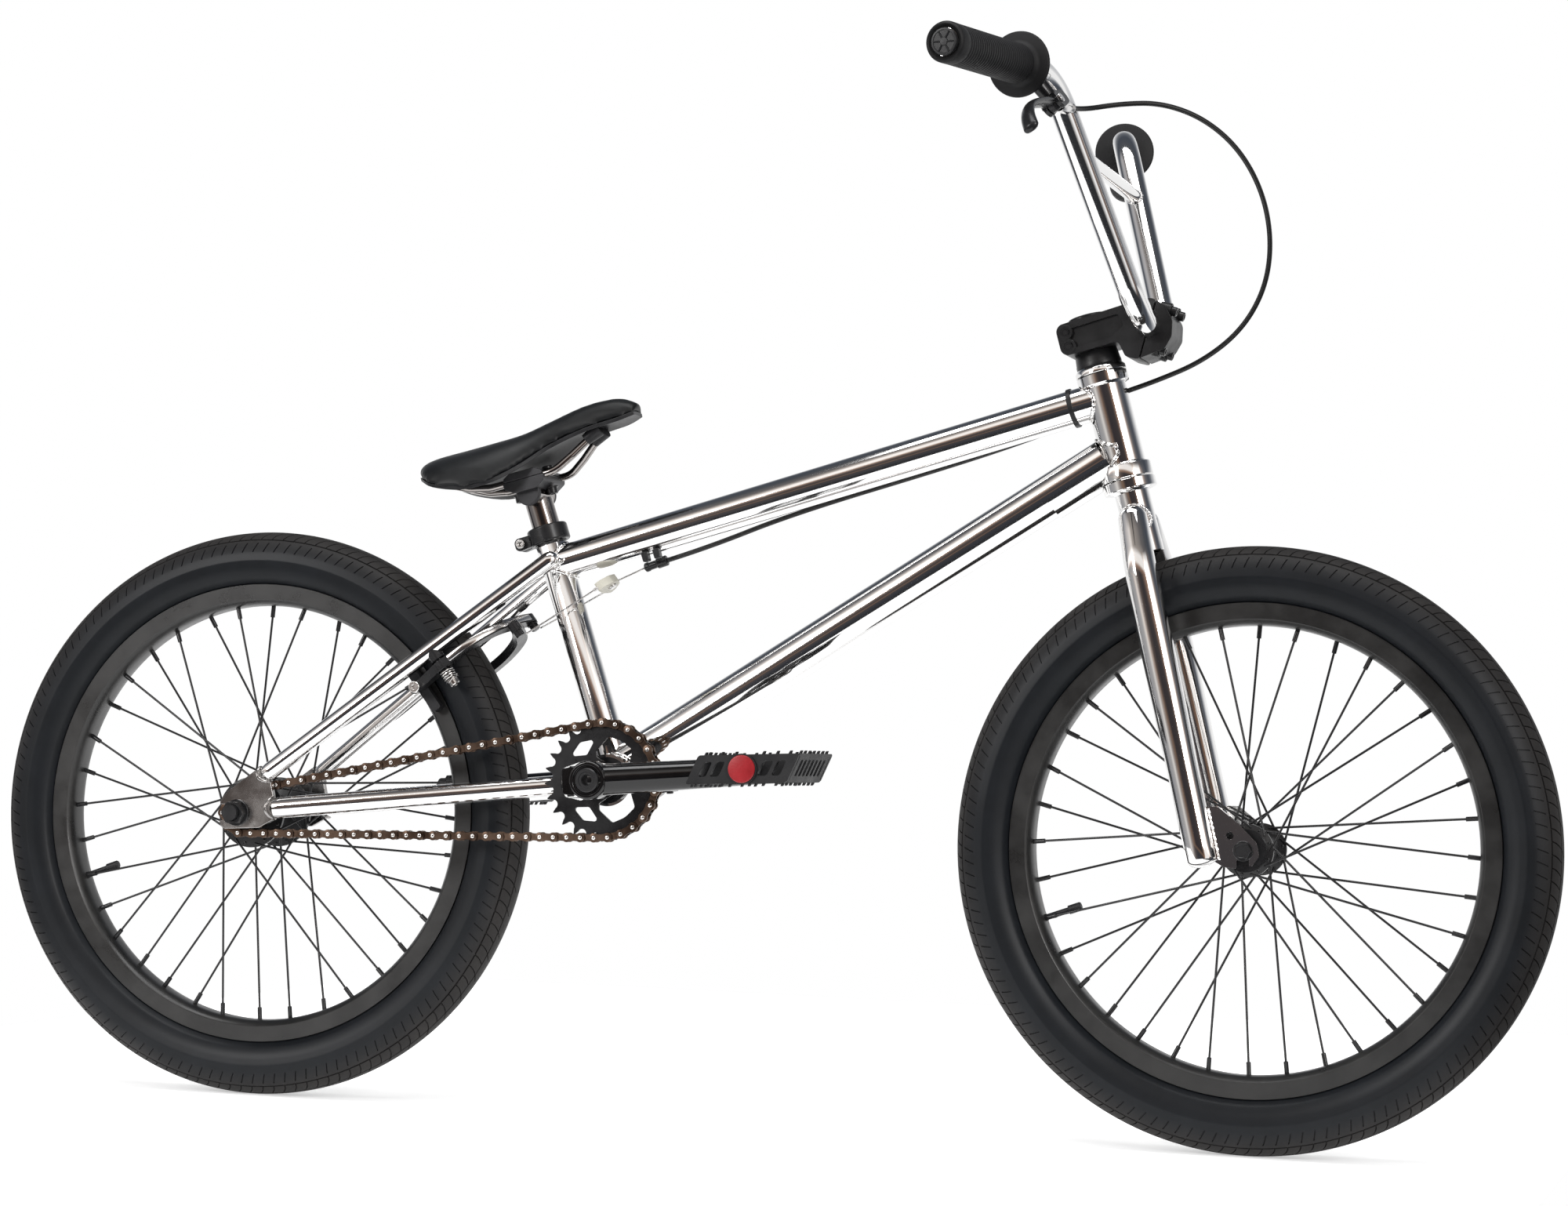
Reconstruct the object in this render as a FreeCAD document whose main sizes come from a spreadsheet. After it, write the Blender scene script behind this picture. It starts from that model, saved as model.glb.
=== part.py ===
import FreeCAD, Part
import math
import os

import Sketcher
from FreeCAD import Placement, Rotation, Vector

# Twenty-inch BMX bike. Millimetres. +X is forward, +Y is the rider's left, +Z is up.
# The origin is on the ground, halfway between the two axles.

SIZES = {
    # wheels
    "half_wheelbase": 457.8,
    "axle_height": 258,
    "tyre_ring_rad": 230.5,
    "tyre_section_rad": 27.5,
    "tyre_wall": 4.2,
    "tyre_lip_rad": 210,
    "bead_rad": 203.5,
    "bead_top_rad": 211,
    "bead_inner_half": 9.5,
    "bead_outer_half": 13.2,
    "rim_edge_rad": 209.5,
    "rim_seat_rad": 203,
    "rim_well_rad": 199.5,
    "rim_corner_rad": 195,
    "rim_inner_rad": 190,
    "rim_half_wid": 16,
    "rim_seat_half": 13.5,
    "rim_crown_half": 10,
    "spoke_rad": 1.0,
    "nipple_rad": 2.0,
    "nipple_len": 12,
    "spoke_stagger": 2.3,
    "rim_stagger": 1.4,
    "rear_flange_rad": 32,
    "rear_spoke_circle": 28.5,
    "rear_flange_half": 29,
    "rear_shell_half": 38,
    "rear_axle_rad": 7,
    "rear_axle_half": 77,
    "axle_stub_len": 4.8,
    "front_flange_rad": 22.5,
    "front_spoke_circle": 19.5,
    "front_flange_half": 35,
    "front_shell_half": 46,
    "front_axle_rad": 5,
    "front_axle_half": 62,
    "flange_thick": 3.2,
    "hub_barrel_rad": 16,
    "hub_bearing_rad": 13,
    "hub_bearing_wid": 8,
    "running_gap": 0.05,
    # drivetrain
    "bracket_height": 298.5,
    "chain_pitch": 12.7,
    "chain_roller_rad": 3.9,
    "chain_plate_rad": 4.2,
    "chain_plate_thick": 1.2,
    "chain_inner_half": 2.4,
    "chainline": 48,
    "sprocket_teeth": 25,
    "driver_teeth": 9,
    "chain_links": 72,
    "cog_thick": 3,
    "crank_len": 175,
    "crank_lift_deg": 4.9,
    "crank_boss_in": 54,
    "crank_boss_out": 90,
    "crank_centre": 75,
    "crank_big_rad": 14,
    "crank_small_rad": 11.5,
    "spindle_rad": 11,
    "spindle_boss_rad": 17,
    "pedal_boss_rad": 13,
    "pedal_in": 94,
    "pedal_out": 194,
    "pedal_half_len": 53,
    "pedal_half_thick": 12,
    "pedal_axle_rad": 5,
    "pedal_sleeve_rad": 9,
    "pedal_cap_rad": 12.5,
    "pedal_window_half": 42,
    # frame
    "head_low_x": 341,
    "head_low_z": 571.5,
    "head_angle_deg": 74,
    "head_len": 94,
    "head_rad": 18.5,
    "head_ring_rad": 22.3,
    "head_seat_rad": 20.5,
    "head_bore_rad": 15.5,
    "head_seat_deep": 9,
    "top_tube_rad": 15.9,
    "down_tube_rad": 19.05,
    "seat_tube_rad": 14.3,
    "tube_wall": 1.3,
    "seat_tube_len": 238,
    "seat_angle_deg": 70.7,
    "top_tube_head_z": 642,
    "top_tube_seat_z": 490.5,
    "down_tube_head_z": 596,
    "down_tube_low_z": 309,
    "gusset_rad": 21.4,
    "gusset_len": 62,
    "bracket_rad": 23,
    "bracket_bore_rad": 20.6,
    "bracket_half": 36.5,
    "chainstay_rad": 9.5,
    "seatstay_rad": 8,
    "dropout_half": 55,
    "dropout_thick": 6,
    # fork
    "crown_rad": 15,
    "steerer_rad": 14.3,
    "steerer_bore_rad": 11.5,
    "crown_drop": 66,
    "steerer_top": 143,
    "leg_top_rad": 12.5,
    "leg_mid_rad": 14.6,
    "leg_low_rad": 13.4,
    "leg_wall": 2,
    "fork_drop_half": 50,
    "fork_drop_thick": 5,
    # bar and stem
    "bar_rad": 11.1,
    "bar_wall": 1.6,
    "crossbar_rad": 6.4,
    "clamp_q": 54,
    "clamp_a": 120,
    "stem_half_wid": 25,
    "bar_tilt_deg": 18,
    "bar_sweep_deg": 11,
    "bar_rise": 204,
    "bar_half_span": 355,
    "bar_base_half": 58,
    "bar_knee_half": 152,
    "bar_bend_rad": 52,
    "crossbar_rise": 139,
    "grip_rad": 16.5,
    "grip_len": 142,
    "grip_flange_rad": 27,
    "grip_flange_thick": 4,
    # seat
    "post_rad": 12.7,
    "post_wall": 2,
    "post_insert": 120,
    "post_show": 26,
    "saddle_tilt_deg": 15,
    "rail_rad": 3.5,
    "rail_half_gap": 22,
    # brake
    "brake_pivot_u": 232,
    "brake_pivot_half": 39.5,
    "brake_stud_rad": 4,
    "arm_half_wid": 6.2,
    "arm_thick": 8,
    "housing_rad": 2.5,
    "wire_rad": 0.8,
}

doc = FreeCAD.newDocument("bmx_bike")
sheet = doc.addObject("Spreadsheet::Sheet", "Sizes")
for row, (alias, value) in enumerate(SIZES.items(), start=1):
    sheet.set("A%d" % row, alias)
    sheet.set("B%d" % row, str(value))
    sheet.setAlias("B%d" % row, alias)
doc.recompute()

mm = {alias: float(sheet.get(alias)) for alias in SIZES}
NODES = []


# ---------------------------------------------------------------- sizes and objects

def words_of(text):
    """Split a sum of aliases and numbers, such as 'rim_half_wid - 3', into words."""
    return text.replace("-", " - ").replace("+", " + ").split()


def worth(text):
    """Number of millimetres that such a sum stands for."""
    total = 0.0
    sign = 1
    for word in words_of(text):
        if word in "+-":
            sign = 1 if word == "+" else -1
        else:
            total += sign * (mm[word] if word in mm else float(word))
            sign = 1
    return total


def formula(text):
    """The same sum as an expression that reads the sheet."""
    return " ".join("Sizes." + word if word in mm else word for word in words_of(text))


def bind(thing, prop, text):
    """Set a property to a sum of sheet cells and keep it bound to them."""
    setattr(thing, prop, worth(text))
    thing.setExpression(prop, formula(text))


def node(thing, label):
    """Mark a document object as a sub-part and give it its name."""
    thing.Label = label
    NODES.append(thing)
    return thing


def facing(start, direction):
    """Placement that puts the local Z axis along a direction."""
    return Placement(start, Rotation(Vector(0, 0, 1), direction))


# ---------------------------------------------------------------- simple solids

def rod(name, start, end, radius):
    """Round bar between two points."""
    bar = doc.addObject("Part::Cylinder", name)
    bind(bar, "Radius", radius)
    bar.Height = (end - start).Length
    bar.Placement = facing(start, end - start)
    return bar


def slab(name, corner, length, width, height, place=None):
    """Box from its low corner, in its own placement."""
    box = doc.addObject("Part::Box", name)
    box.Length = length
    box.Width = width
    box.Height = height
    box.Placement = (place or Placement()) * Placement(corner, Rotation())
    return box


def cut(name, base, *tools):
    """Base solid less each tool in turn."""
    result = base
    for step, tool in enumerate(tools, start=1):
        last = step == len(tools)
        piece = doc.addObject("Part::Cut", name if last else "%s_step%d" % (name, step))
        piece.Base = result
        piece.Tool = tool
        result = piece
    return result


def fuse(name, *parts):
    """Several solids joined into one."""
    joined = doc.addObject("Part::MultiFuse", name)
    joined.Shapes = list(parts)
    joined.Refine = True
    return joined


def group(name, *parts):
    """Several separate solids kept together as one sub-part."""
    bundle = doc.addObject("Part::Compound", name)
    bundle.Links = list(parts)
    return bundle


def mirrored(name, source):
    """Copy of a solid on the other side of the bike's middle plane."""
    twin = doc.addObject("Part::Mirroring", name)
    twin.Source = source
    twin.Base = Vector(0, 0, 0)
    twin.Normal = Vector(0, 1, 0)
    return twin


def pair(name, source):
    """A solid and its mirror image, as one sub-part."""
    return group(name, source, mirrored(name + "_left", source))


def pipe(name, start, end, radius, bore):
    """Tube between two points, open at both ends."""
    along = (end - start).normalize()
    outside = rod(name + "_outside", start, end, radius)
    inside = rod(name + "_inside", start - along, end + along, bore)
    return cut(name, outside, inside)


def plain(name, shape):
    """Document object that holds a shape made from sheet values."""
    feature = doc.addObject("Part::Feature", name)
    feature.Shape = shape
    feature.Placement = Placement()
    return feature


# ---------------------------------------------------------------- sketched solids

def pin_point(sketch, curve, end, axis, text):
    """Fix one coordinate of a sketch point to a sum of sheet cells."""
    value = worth(text)
    if abs(value) < 1e-9:
        sketch.addConstraint(Sketcher.Constraint("PointOnObject", curve, end, -2 if axis == "X" else -1))
        return
    ends = (-1, 1, curve, end) if value > 0 else (curve, end, -1, 1)
    index = sketch.addConstraint(Sketcher.Constraint("Distance" + axis, *ends, abs(value)))
    rule = formula(text) if value > 0 else "-(" + formula(text) + ")"
    sketch.setExpression("Constraints[%d]" % index, rule)


def sketch_on(body, name, role):
    """Empty sketch on one of the body's own origin planes."""
    sketch = body.newObject("Sketcher::SketchObject", name)
    plane = [feature for feature in body.Origin.OriginFeatures if feature.Role == role][0]
    sketch.AttachmentSupport = [(plane, "")]
    sketch.MapMode = "FlatFace"
    return sketch


def outline(body, name, role, corners):
    """Closed sketch with straight sides through the given corners."""
    sketch = sketch_on(body, name, role)
    spots = [Vector(worth(across), worth(up), 0) for across, up in corners]
    count = len(spots)
    for i in range(count):
        sketch.addGeometry(Part.LineSegment(spots[i], spots[(i + 1) % count]), False)
    for i in range(count):
        sketch.addConstraint(Sketcher.Constraint("Coincident", i, 2, (i + 1) % count, 1))
    for i, (across, up) in enumerate(corners):
        pin_point(sketch, i, 1, "X", across)
        pin_point(sketch, i, 1, "Y", up)
    return sketch


def circles(body, name, role, centres, radius):
    """Sketch of equal circles at the given centres."""
    sketch = sketch_on(body, name, role)
    for i, (across, up) in enumerate(centres):
        middle = Vector(worth(across), worth(up), 0)
        sketch.addGeometry(Part.Circle(middle, Vector(0, 0, 1), worth(radius)), False)
        pin_point(sketch, i, 3, "X", across)
        pin_point(sketch, i, 3, "Y", up)
        index = sketch.addConstraint(Sketcher.Constraint("Radius", i, worth(radius)))
        sketch.setExpression("Constraints[%d]" % index, formula(radius))
    return sketch


def new_body(name, place):
    """Empty part design body at a placement."""
    body = doc.addObject("PartDesign::Body", name)
    body.Placement = place
    return body


def turned(name, place, corners):
    """Body turned about its own Z axis from corners given as (radius, height)."""
    body = new_body(name, place)
    turn = body.newObject("PartDesign::Revolution", name + "_turn")
    turn.Profile = outline(body, name + "_section", "XZ_Plane", corners)
    turn.ReferenceAxis = (turn.Profile[0], ["V_Axis"])
    turn.Angle = 360
    body.Tip = turn
    return body


def pad(body, sketch, length):
    """Pad a sketch by a thickness, half to each side."""
    block = body.newObject("PartDesign::Pad", sketch.Name + "_pad")
    block.Profile = sketch
    bind(block, "Length", length)
    block.Midplane = True
    return block


def pocket_through(body, sketch):
    """Cut a sketch through everything, both ways."""
    hole = body.newObject("PartDesign::Pocket", sketch.Name + "_cut")
    hole.Profile = sketch
    hole.Type = "ThroughAll"
    hole.Midplane = True
    return hole


def spin_copies(body, features, count):
    """Repeat features round the body's Z axis."""
    axis = [feature for feature in body.Origin.OriginFeatures if feature.Role == "Z_Axis"][0]
    pattern = body.newObject("PartDesign::PolarPattern", features[0].Name + "_round")
    pattern.Originals = features
    pattern.Axis = (axis, [""])
    pattern.Angle = 360
    pattern.Occurrences = count
    body.Tip = pattern
    return pattern


# ---------------------------------------------------------------- curved paths

def rounded_path(points, radius=None):
    """Wire of straight runs joined by tangent arcs.

    With no radius given, each arc is as large as its two runs allow.
    """
    edges = []
    tightest = None
    start = points[0]
    for before, corner, after in zip(points, points[1:], points[2:]):
        into = (corner - before).normalize()
        out = (after - corner).normalize()
        turn = into.getAngle(out)
        reach = 0.45 * min((corner - before).Length, (after - corner).Length)
        if radius is not None:
            reach = radius * math.tan(turn / 2)
        size = reach / math.tan(turn / 2)
        tightest = size if tightest is None else min(tightest, size)
        first = corner - into * reach
        last = corner + out * reach
        inward = (out - into).normalize()
        middle = corner + inward * (size / math.cos(turn / 2) - size)
        edges.append(Part.LineSegment(start, first).toShape())
        edges.append(Part.Arc(first, middle, last).toShape())
        start = last
    edges.append(Part.LineSegment(start, points[-1]).toShape())
    return Part.Wire(edges), tightest


def swept(path, start, direction, radius, wall=None):
    """Round bar, or tube when a wall is given, along a path."""
    face = Part.Face(Part.Wire(Part.makeCircle(radius, start, direction)))
    if wall is not None:
        bore = Part.Face(Part.Wire(Part.makeCircle(radius - wall, start, direction)))
        face = face.cut(bore).Faces[0]
    return path.makePipe(face)


def capsule_strap(points, half_width, low, thick):
    """Flat bar with round corners along points in the XY plane, from z low."""
    parts = []
    for point in points:
        parts.append(Part.makeCylinder(half_width, thick, Vector(point.x, point.y, low)))
    for a, b in zip(points, points[1:]):
        run = b - a
        side = Vector(-run.y, run.x, 0).normalize() * half_width
        lift = Vector(0, 0, low)
        loop = [a + side + lift, b + side + lift, b - side + lift, a - side + lift, a + side + lift]
        parts.append(Part.Face(Part.makePolygon(loop)).extrude(Vector(0, 0, thick)))
    return parts[0].multiFuse(parts[1:]).removeSplitter()


# ---------------------------------------------------------------- key points

SIDE = Vector(0, 1, 0)
REAR_AXLE = Vector(-mm["half_wheelbase"], 0, mm["axle_height"])
FRONT_AXLE = Vector(mm["half_wheelbase"], 0, mm["axle_height"])
HEAD_LOW = Vector(mm["head_low_x"], 0, mm["head_low_z"])
head_angle = math.radians(mm["head_angle_deg"])
HEAD_UP = Vector(-math.cos(head_angle), 0, math.sin(head_angle))
HEAD_FORE = Vector(math.sin(head_angle), 0, math.cos(head_angle))


def pitch_radius(teeth):
    """Radius of the circle that the chain's pins follow on a toothed wheel."""
    return mm["chain_pitch"] / (2 * math.sin(math.pi / teeth))


def chain_centres():
    """Distance between bracket and rear axle that the number of links asks for."""
    big = pitch_radius(mm["sprocket_teeth"])
    small = pitch_radius(mm["driver_teeth"])
    wrapped = (mm["sprocket_teeth"] + mm["driver_teeth"]) / 2 * mm["chain_pitch"]
    straight = mm["chain_links"] * mm["chain_pitch"] - wrapped
    centres = straight / 2
    for _ in range(20):
        lean = math.asin((big - small) / centres)
        taken = lean / math.pi * (mm["sprocket_teeth"] - mm["driver_teeth"]) * mm["chain_pitch"]
        centres = (straight - taken) / (2 * math.cos(lean))
    return centres


chain_run = chain_centres()
bracket_rise = mm["bracket_height"] - mm["axle_height"]
BRACKET = REAR_AXLE + Vector(math.sqrt(chain_run ** 2 - bracket_rise ** 2), 0, bracket_rise)
seat_angle = math.radians(mm["seat_angle_deg"])
SEAT_UP = Vector(-math.cos(seat_angle), 0, math.sin(seat_angle))
SEAT_TOP = BRACKET + SEAT_UP * mm["seat_tube_len"]


def on_head(height_z):
    """Point on the steering axis at a height above the ground."""
    return HEAD_LOW + HEAD_UP * ((height_z - HEAD_LOW.z) / HEAD_UP.z)


def on_seat(height_z):
    """Point on the seat tube's axis at a height above the ground."""
    return BRACKET + SEAT_UP * ((height_z - BRACKET.z) / SEAT_UP.z)


def steer_point(fore, up, side=0.0):
    """Point given forward of the steering axis and up along it from the head tube's low end."""
    return HEAD_LOW + HEAD_FORE * fore + HEAD_UP * up + SIDE * side


TOP_TUBE_HEAD = on_head(mm["top_tube_head_z"])
TOP_TUBE_SEAT = on_seat(mm["top_tube_seat_z"])
DOWN_TUBE_HEAD = on_head(mm["down_tube_head_z"])
DOWN_TUBE_LOW = Vector(BRACKET.x, 0, mm["down_tube_low_z"])
TOP_TUBE_BACK = (TOP_TUBE_SEAT - TOP_TUBE_HEAD).normalize()
DOWN_TUBE_BACK = (DOWN_TUBE_LOW - DOWN_TUBE_HEAD).normalize()

# Places across the bike, with x in forward order.
STEER_PLACE = Placement(HEAD_LOW, Rotation(HEAD_FORE, SIDE, HEAD_UP, "ZXY"))


# ---------------------------------------------------------------- frame

def head_envelope(name):
    """Space that the head tube takes, for shaping the tubes that meet it."""
    barrel = rod(name + "_barrel", HEAD_LOW - HEAD_UP * 20, HEAD_LOW + HEAD_UP * 130, "head_rad")
    low_ring = rod(name + "_low", HEAD_LOW - HEAD_UP * 20, HEAD_LOW + HEAD_UP * 14, "head_ring_rad")
    high_ring = rod(name + "_high", HEAD_LOW + HEAD_UP * 83, HEAD_LOW + HEAD_UP * 130, "head_ring_rad")
    race_room = rod(name + "_race", HEAD_LOW - HEAD_UP * 20, HEAD_LOW - HEAD_UP * 0.4, "head_ring_rad + 1.6")
    return fuse(name, barrel, low_ring, high_ring, race_room)


def seat_envelope(name):
    """Space that the seat tube takes."""
    return rod(name, BRACKET - SEAT_UP * 5, SEAT_TOP + SEAT_UP * 20, "seat_tube_rad")


def bracket_envelope(name):
    """Space that the bottom bracket shell takes."""
    reach = SIDE * (mm["bracket_half"] + 20)
    return rod(name, BRACKET - reach, BRACKET + reach, "bracket_rad")


def build_head_tube():
    seat = "head_seat_deep"
    body = turned("HeadTube", facing(HEAD_LOW, HEAD_UP), [
        ("head_seat_rad", "0"), ("head_ring_rad", "0"), ("head_ring_rad", "12"),
        ("head_rad", "14"), ("head_rad", "head_len - 11"), ("head_ring_rad", "head_len - 9.5"),
        ("head_ring_rad", "head_len"), ("head_seat_rad", "head_len"),
        ("head_seat_rad", "head_len - " + seat), ("head_bore_rad", "head_len - " + seat),
        ("head_bore_rad", seat), ("head_seat_rad", seat)])
    node(body, "head_tube")


def build_headset():
    rings = []
    for name, low in (("lower", 0.4), ("upper", mm["head_len"] - 8.4)):
        start = HEAD_LOW + HEAD_UP * low
        ring = rod("Bearing_" + name, start, start + HEAD_UP * 8, "head_seat_rad - 0.05")
        hole = rod("BearingHole_" + name, start - HEAD_UP, start + HEAD_UP * 9, "steerer_rad + running_gap")
        rings.append(cut("HeadBearing_" + name, ring, hole))
    node(group("HeadBearings", *rings), "headset_bearings")
    cover = turned("HeadsetCover", facing(HEAD_LOW, HEAD_UP), [
        ("steerer_rad", "head_len + 0.6"), ("head_ring_rad", "head_len + 0.6"),
        ("head_ring_rad", "head_len + 5"), ("head_ring_rad - 2", "head_len + 7"),
        ("steerer_rad", "head_len + 7")])
    spacer = turned("HeadsetSpacer", facing(HEAD_LOW, HEAD_UP), [
        ("steerer_rad", "head_len + 7"), ("head_ring_rad - 2.5", "head_len + 7"),
        ("head_ring_rad - 2.5", "head_len + 11"), ("steerer_rad + 4", "head_len + 20.4"),
        ("steerer_rad", "head_len + 20.4")])
    node(group("HeadsetTop", cover, spacer), "headset_cover")


def build_main_tubes():
    top = pipe("TopTube", TOP_TUBE_HEAD + TOP_TUBE_BACK * 4, TOP_TUBE_SEAT, "top_tube_rad",
               "top_tube_rad - tube_wall")
    node(cut("TopTubeCoped", top, head_envelope("TopAtHead"), seat_envelope("TopAtSeat")), "top_tube")
    down = pipe("DownTube", DOWN_TUBE_HEAD + DOWN_TUBE_BACK * 8, DOWN_TUBE_LOW, "down_tube_rad",
                "down_tube_rad - tube_wall")
    coped = cut("DownTubeCoped", down, head_envelope("DownAtHead"), bracket_envelope("DownAtBracket"),
                seat_envelope("DownAtSeat"))
    node(coped, "down_tube")
    seat = pipe("SeatTube", BRACKET, SEAT_TOP, "seat_tube_rad", "post_rad + 0.02")
    node(cut("SeatTubeCoped", seat, bracket_envelope("SeatAtBracket")), "seat_tube")
    shell = pipe("Shell", BRACKET - SIDE * mm["bracket_half"], BRACKET + SIDE * mm["bracket_half"],
                 "bracket_rad", "bracket_bore_rad")
    node(shell, "bottom_bracket_shell")


def build_gusset():
    """Half sleeve under the down tube where it meets the head tube."""
    start = DOWN_TUBE_HEAD + DOWN_TUBE_BACK * 12
    end = start + DOWN_TUBE_BACK * mm["gusset_len"]
    sleeve = rod("GussetSleeve", start, end, "gusset_rad")
    bore = rod("GussetBore", start - DOWN_TUBE_BACK * 2, end + DOWN_TUBE_BACK * 2, "down_tube_rad")
    upright = SIDE.cross(DOWN_TUBE_BACK)
    upright = upright if upright.z > 0 else upright * -1
    place = Placement(start, Rotation(DOWN_TUBE_BACK, SIDE, upright, "XZY"))
    upper = slab("GussetUpper", Vector(-40, -40, -2), 160, 80, 60, place)
    shaped = cut("Gusset", sleeve, bore, upper, head_envelope("GussetAtHead"))
    node(shaped, "down_tube_gusset")


STAY_TOP_HALF = 24.5
STAY_LOW_HALF = 60
SEATSTAY_TOP = Vector(-176, -STAY_TOP_HALF, 494.5)
SEATSTAY_LOW = Vector(-433, -STAY_LOW_HALF, 292)
CHAINSTAY_FRONT = Vector(BRACKET.x, -30, 297)
CHAINSTAY_REAR = Vector(-424, -60, 263)


def dropout_body():
    """Flat plate that joins the stays and holds the rear axle in a slot open to the back."""
    plane = Placement(REAR_AXLE - SIDE * (mm["dropout_half"] + mm["dropout_thick"] / 2),
                      Rotation(Vector(1, 0, 0), 90))
    body = new_body("Dropout", plane)
    shape = outline(body, "DropoutSide", "XY_Plane", [
        ("-17", "-11"), ("-12", "-15"), ("22", "-13"), ("36", "-5"), ("36", "12"),
        ("31", "34"), ("21", "42"), ("-10", "19"), ("-17", "10")])
    plate = pad(body, shape, "dropout_thick")
    doc.recompute()
    upright = ["Edge%d" % (i + 1) for i, edge in enumerate(plate.Shape.Edges)
               if abs(edge.tangentAt(edge.FirstParameter).z) > 0.99]
    rounded = body.newObject("PartDesign::Fillet", "DropoutCorners")
    rounded.Base = (plate, upright)
    rounded.Radius = 3
    slot = outline(body, "AxleSlot", "XY_Plane", [
        ("-25", "-rear_axle_rad - 0.1"), ("0", "-rear_axle_rad - 0.1"),
        ("0", "rear_axle_rad + 0.1"), ("-25", "rear_axle_rad + 0.1")])
    pocket_through(body, slot)
    hole = circles(body, "AxleHole", "XY_Plane", [("0", "0")], "rear_axle_rad + 0.1")
    body.Tip = pocket_through(body, hole)
    return body


def build_rear_triangle():
    plate = dropout_body()
    chain_outer = rod("ChainstayRod", CHAINSTAY_FRONT, CHAINSTAY_REAR, "chainstay_rad")
    seat_outer = rod("SeatstayRod", SEATSTAY_TOP, SEATSTAY_LOW, "seatstay_rad")
    chain_bore = rod("ChainstayBore", CHAINSTAY_FRONT, CHAINSTAY_REAR, "chainstay_rad - tube_wall")
    seat_bore = rod("SeatstayBore", SEATSTAY_TOP, SEATSTAY_LOW, "seatstay_rad - tube_wall")
    stay = cut("Chainstay", chain_outer, chain_bore, bracket_envelope("StayAtBracket"), plate)
    node(pair("Chainstays", stay), "chainstays")
    upper = cut("Seatstay", seat_outer, seat_bore, plate, chain_outer)
    cap_gap = rod("SeatstayAtTube", SEAT_TOP - SEAT_UP * 100, SEAT_TOP, "seat_tube_rad")
    node(pair("Seatstays", cut("SeatstayFitted", upper, cap_gap)), "seatstays")
    node(pair("Dropouts", plate), "rear_dropouts")


def build_seat_clamp():
    """Collar with two ears behind the seat tube and a bolt through the ears."""
    low = SEAT_TOP - SEAT_UP * 14
    place = Placement(low, Rotation(SEAT_UP.cross(SIDE) * -1, SIDE, SEAT_UP, "ZXY"))
    ring = rod("ClampRing", low, SEAT_TOP + SEAT_UP * 1, "seat_tube_rad + 4.2")
    ears = slab("ClampEars", Vector(-30, -8.5, 0), 18, 17, 13, place)
    body = fuse("ClampBody", ring, ears)
    bore = rod("ClampBore", low - SEAT_UP, SEAT_TOP, "seat_tube_rad")
    mouth = rod("ClampMouth", SEAT_TOP - SEAT_UP * 2, SEAT_TOP + SEAT_UP * 3, "post_rad + 0.4")
    split = slab("ClampSplit", Vector(-40, -1.5, -2), 28, 3, 20, place)
    bolt_start = place.multVec(Vector(-24.5, -8.7, 6.5))
    bolt_end = place.multVec(Vector(-24.5, 8.7, 6.5))
    hole = rod("ClampBoltHole", bolt_start - SIDE * 2, bolt_end + SIDE * 2, "2.6")
    collar = cut("SeatCollar", body, bore, mouth, split, hole)
    shank = rod("SeatBoltShank", bolt_start, bolt_end, "2.5")
    head = rod("SeatBoltHead", bolt_start - SIDE * 5, bolt_start, "4.3")
    nut = rod("SeatBoltNut", bolt_end, bolt_end + SIDE * 4, "4.8")
    node(group("SeatClamp", collar, fuse("SeatClampBolt", shank, head, nut)), "seat_clamp")


# ---------------------------------------------------------------- wheels

def build_tyre(label, centre):
    """Hollow casing with two bead feet that sit in the rim."""
    place = facing(centre, SIDE)
    sections = []
    for name, radius in (("Outer", "tyre_section_rad"), ("Inner", "tyre_section_rad - tyre_wall")):
        ring = doc.addObject("Part::Torus", label + name)
        bind(ring, "Radius1", "tyre_ring_rad")
        bind(ring, "Radius2", radius)
        ring.Placement = place
        sections.append(ring)
    reach = SIDE * 40
    mouth = rod(label + "_mouth", centre - reach, centre + reach, "tyre_lip_rad")
    casing = cut(label + "_casing", sections[0], sections[1], mouth)
    feet = []
    for side in (-1, 1):
        inner = centre + SIDE * (side * mm["bead_inner_half"])
        outer = centre + SIDE * (side * mm["bead_outer_half"])
        foot = rod("%s_foot%d" % (label, side + 1), inner, outer, "bead_top_rad")
        hole = rod("%s_foothole%d" % (label, side + 1), inner - SIDE * side, outer + SIDE * side, "bead_rad")
        feet.append(cut("%s_bead%d" % (label, side + 1), foot, hole))
    node(fuse(label + "_whole", casing, *feet), label)


def build_rim(label, centre):
    body = turned(label + "_body", facing(centre, SIDE), [
        ("rim_edge_rad", "-rim_half_wid"), ("rim_edge_rad", "-rim_seat_half"),
        ("rim_seat_rad", "-rim_seat_half"), ("rim_seat_rad", "-8.5"), ("rim_well_rad", "-6"),
        ("rim_well_rad", "6"), ("rim_seat_rad", "8.5"), ("rim_seat_rad", "rim_seat_half"),
        ("rim_edge_rad", "rim_seat_half"), ("rim_edge_rad", "rim_half_wid"),
        ("rim_corner_rad", "rim_half_wid"), ("rim_inner_rad", "rim_crown_half"),
        ("rim_inner_rad", "-rim_crown_half"), ("rim_corner_rad", "-rim_half_wid")])
    node(body, label)


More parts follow.
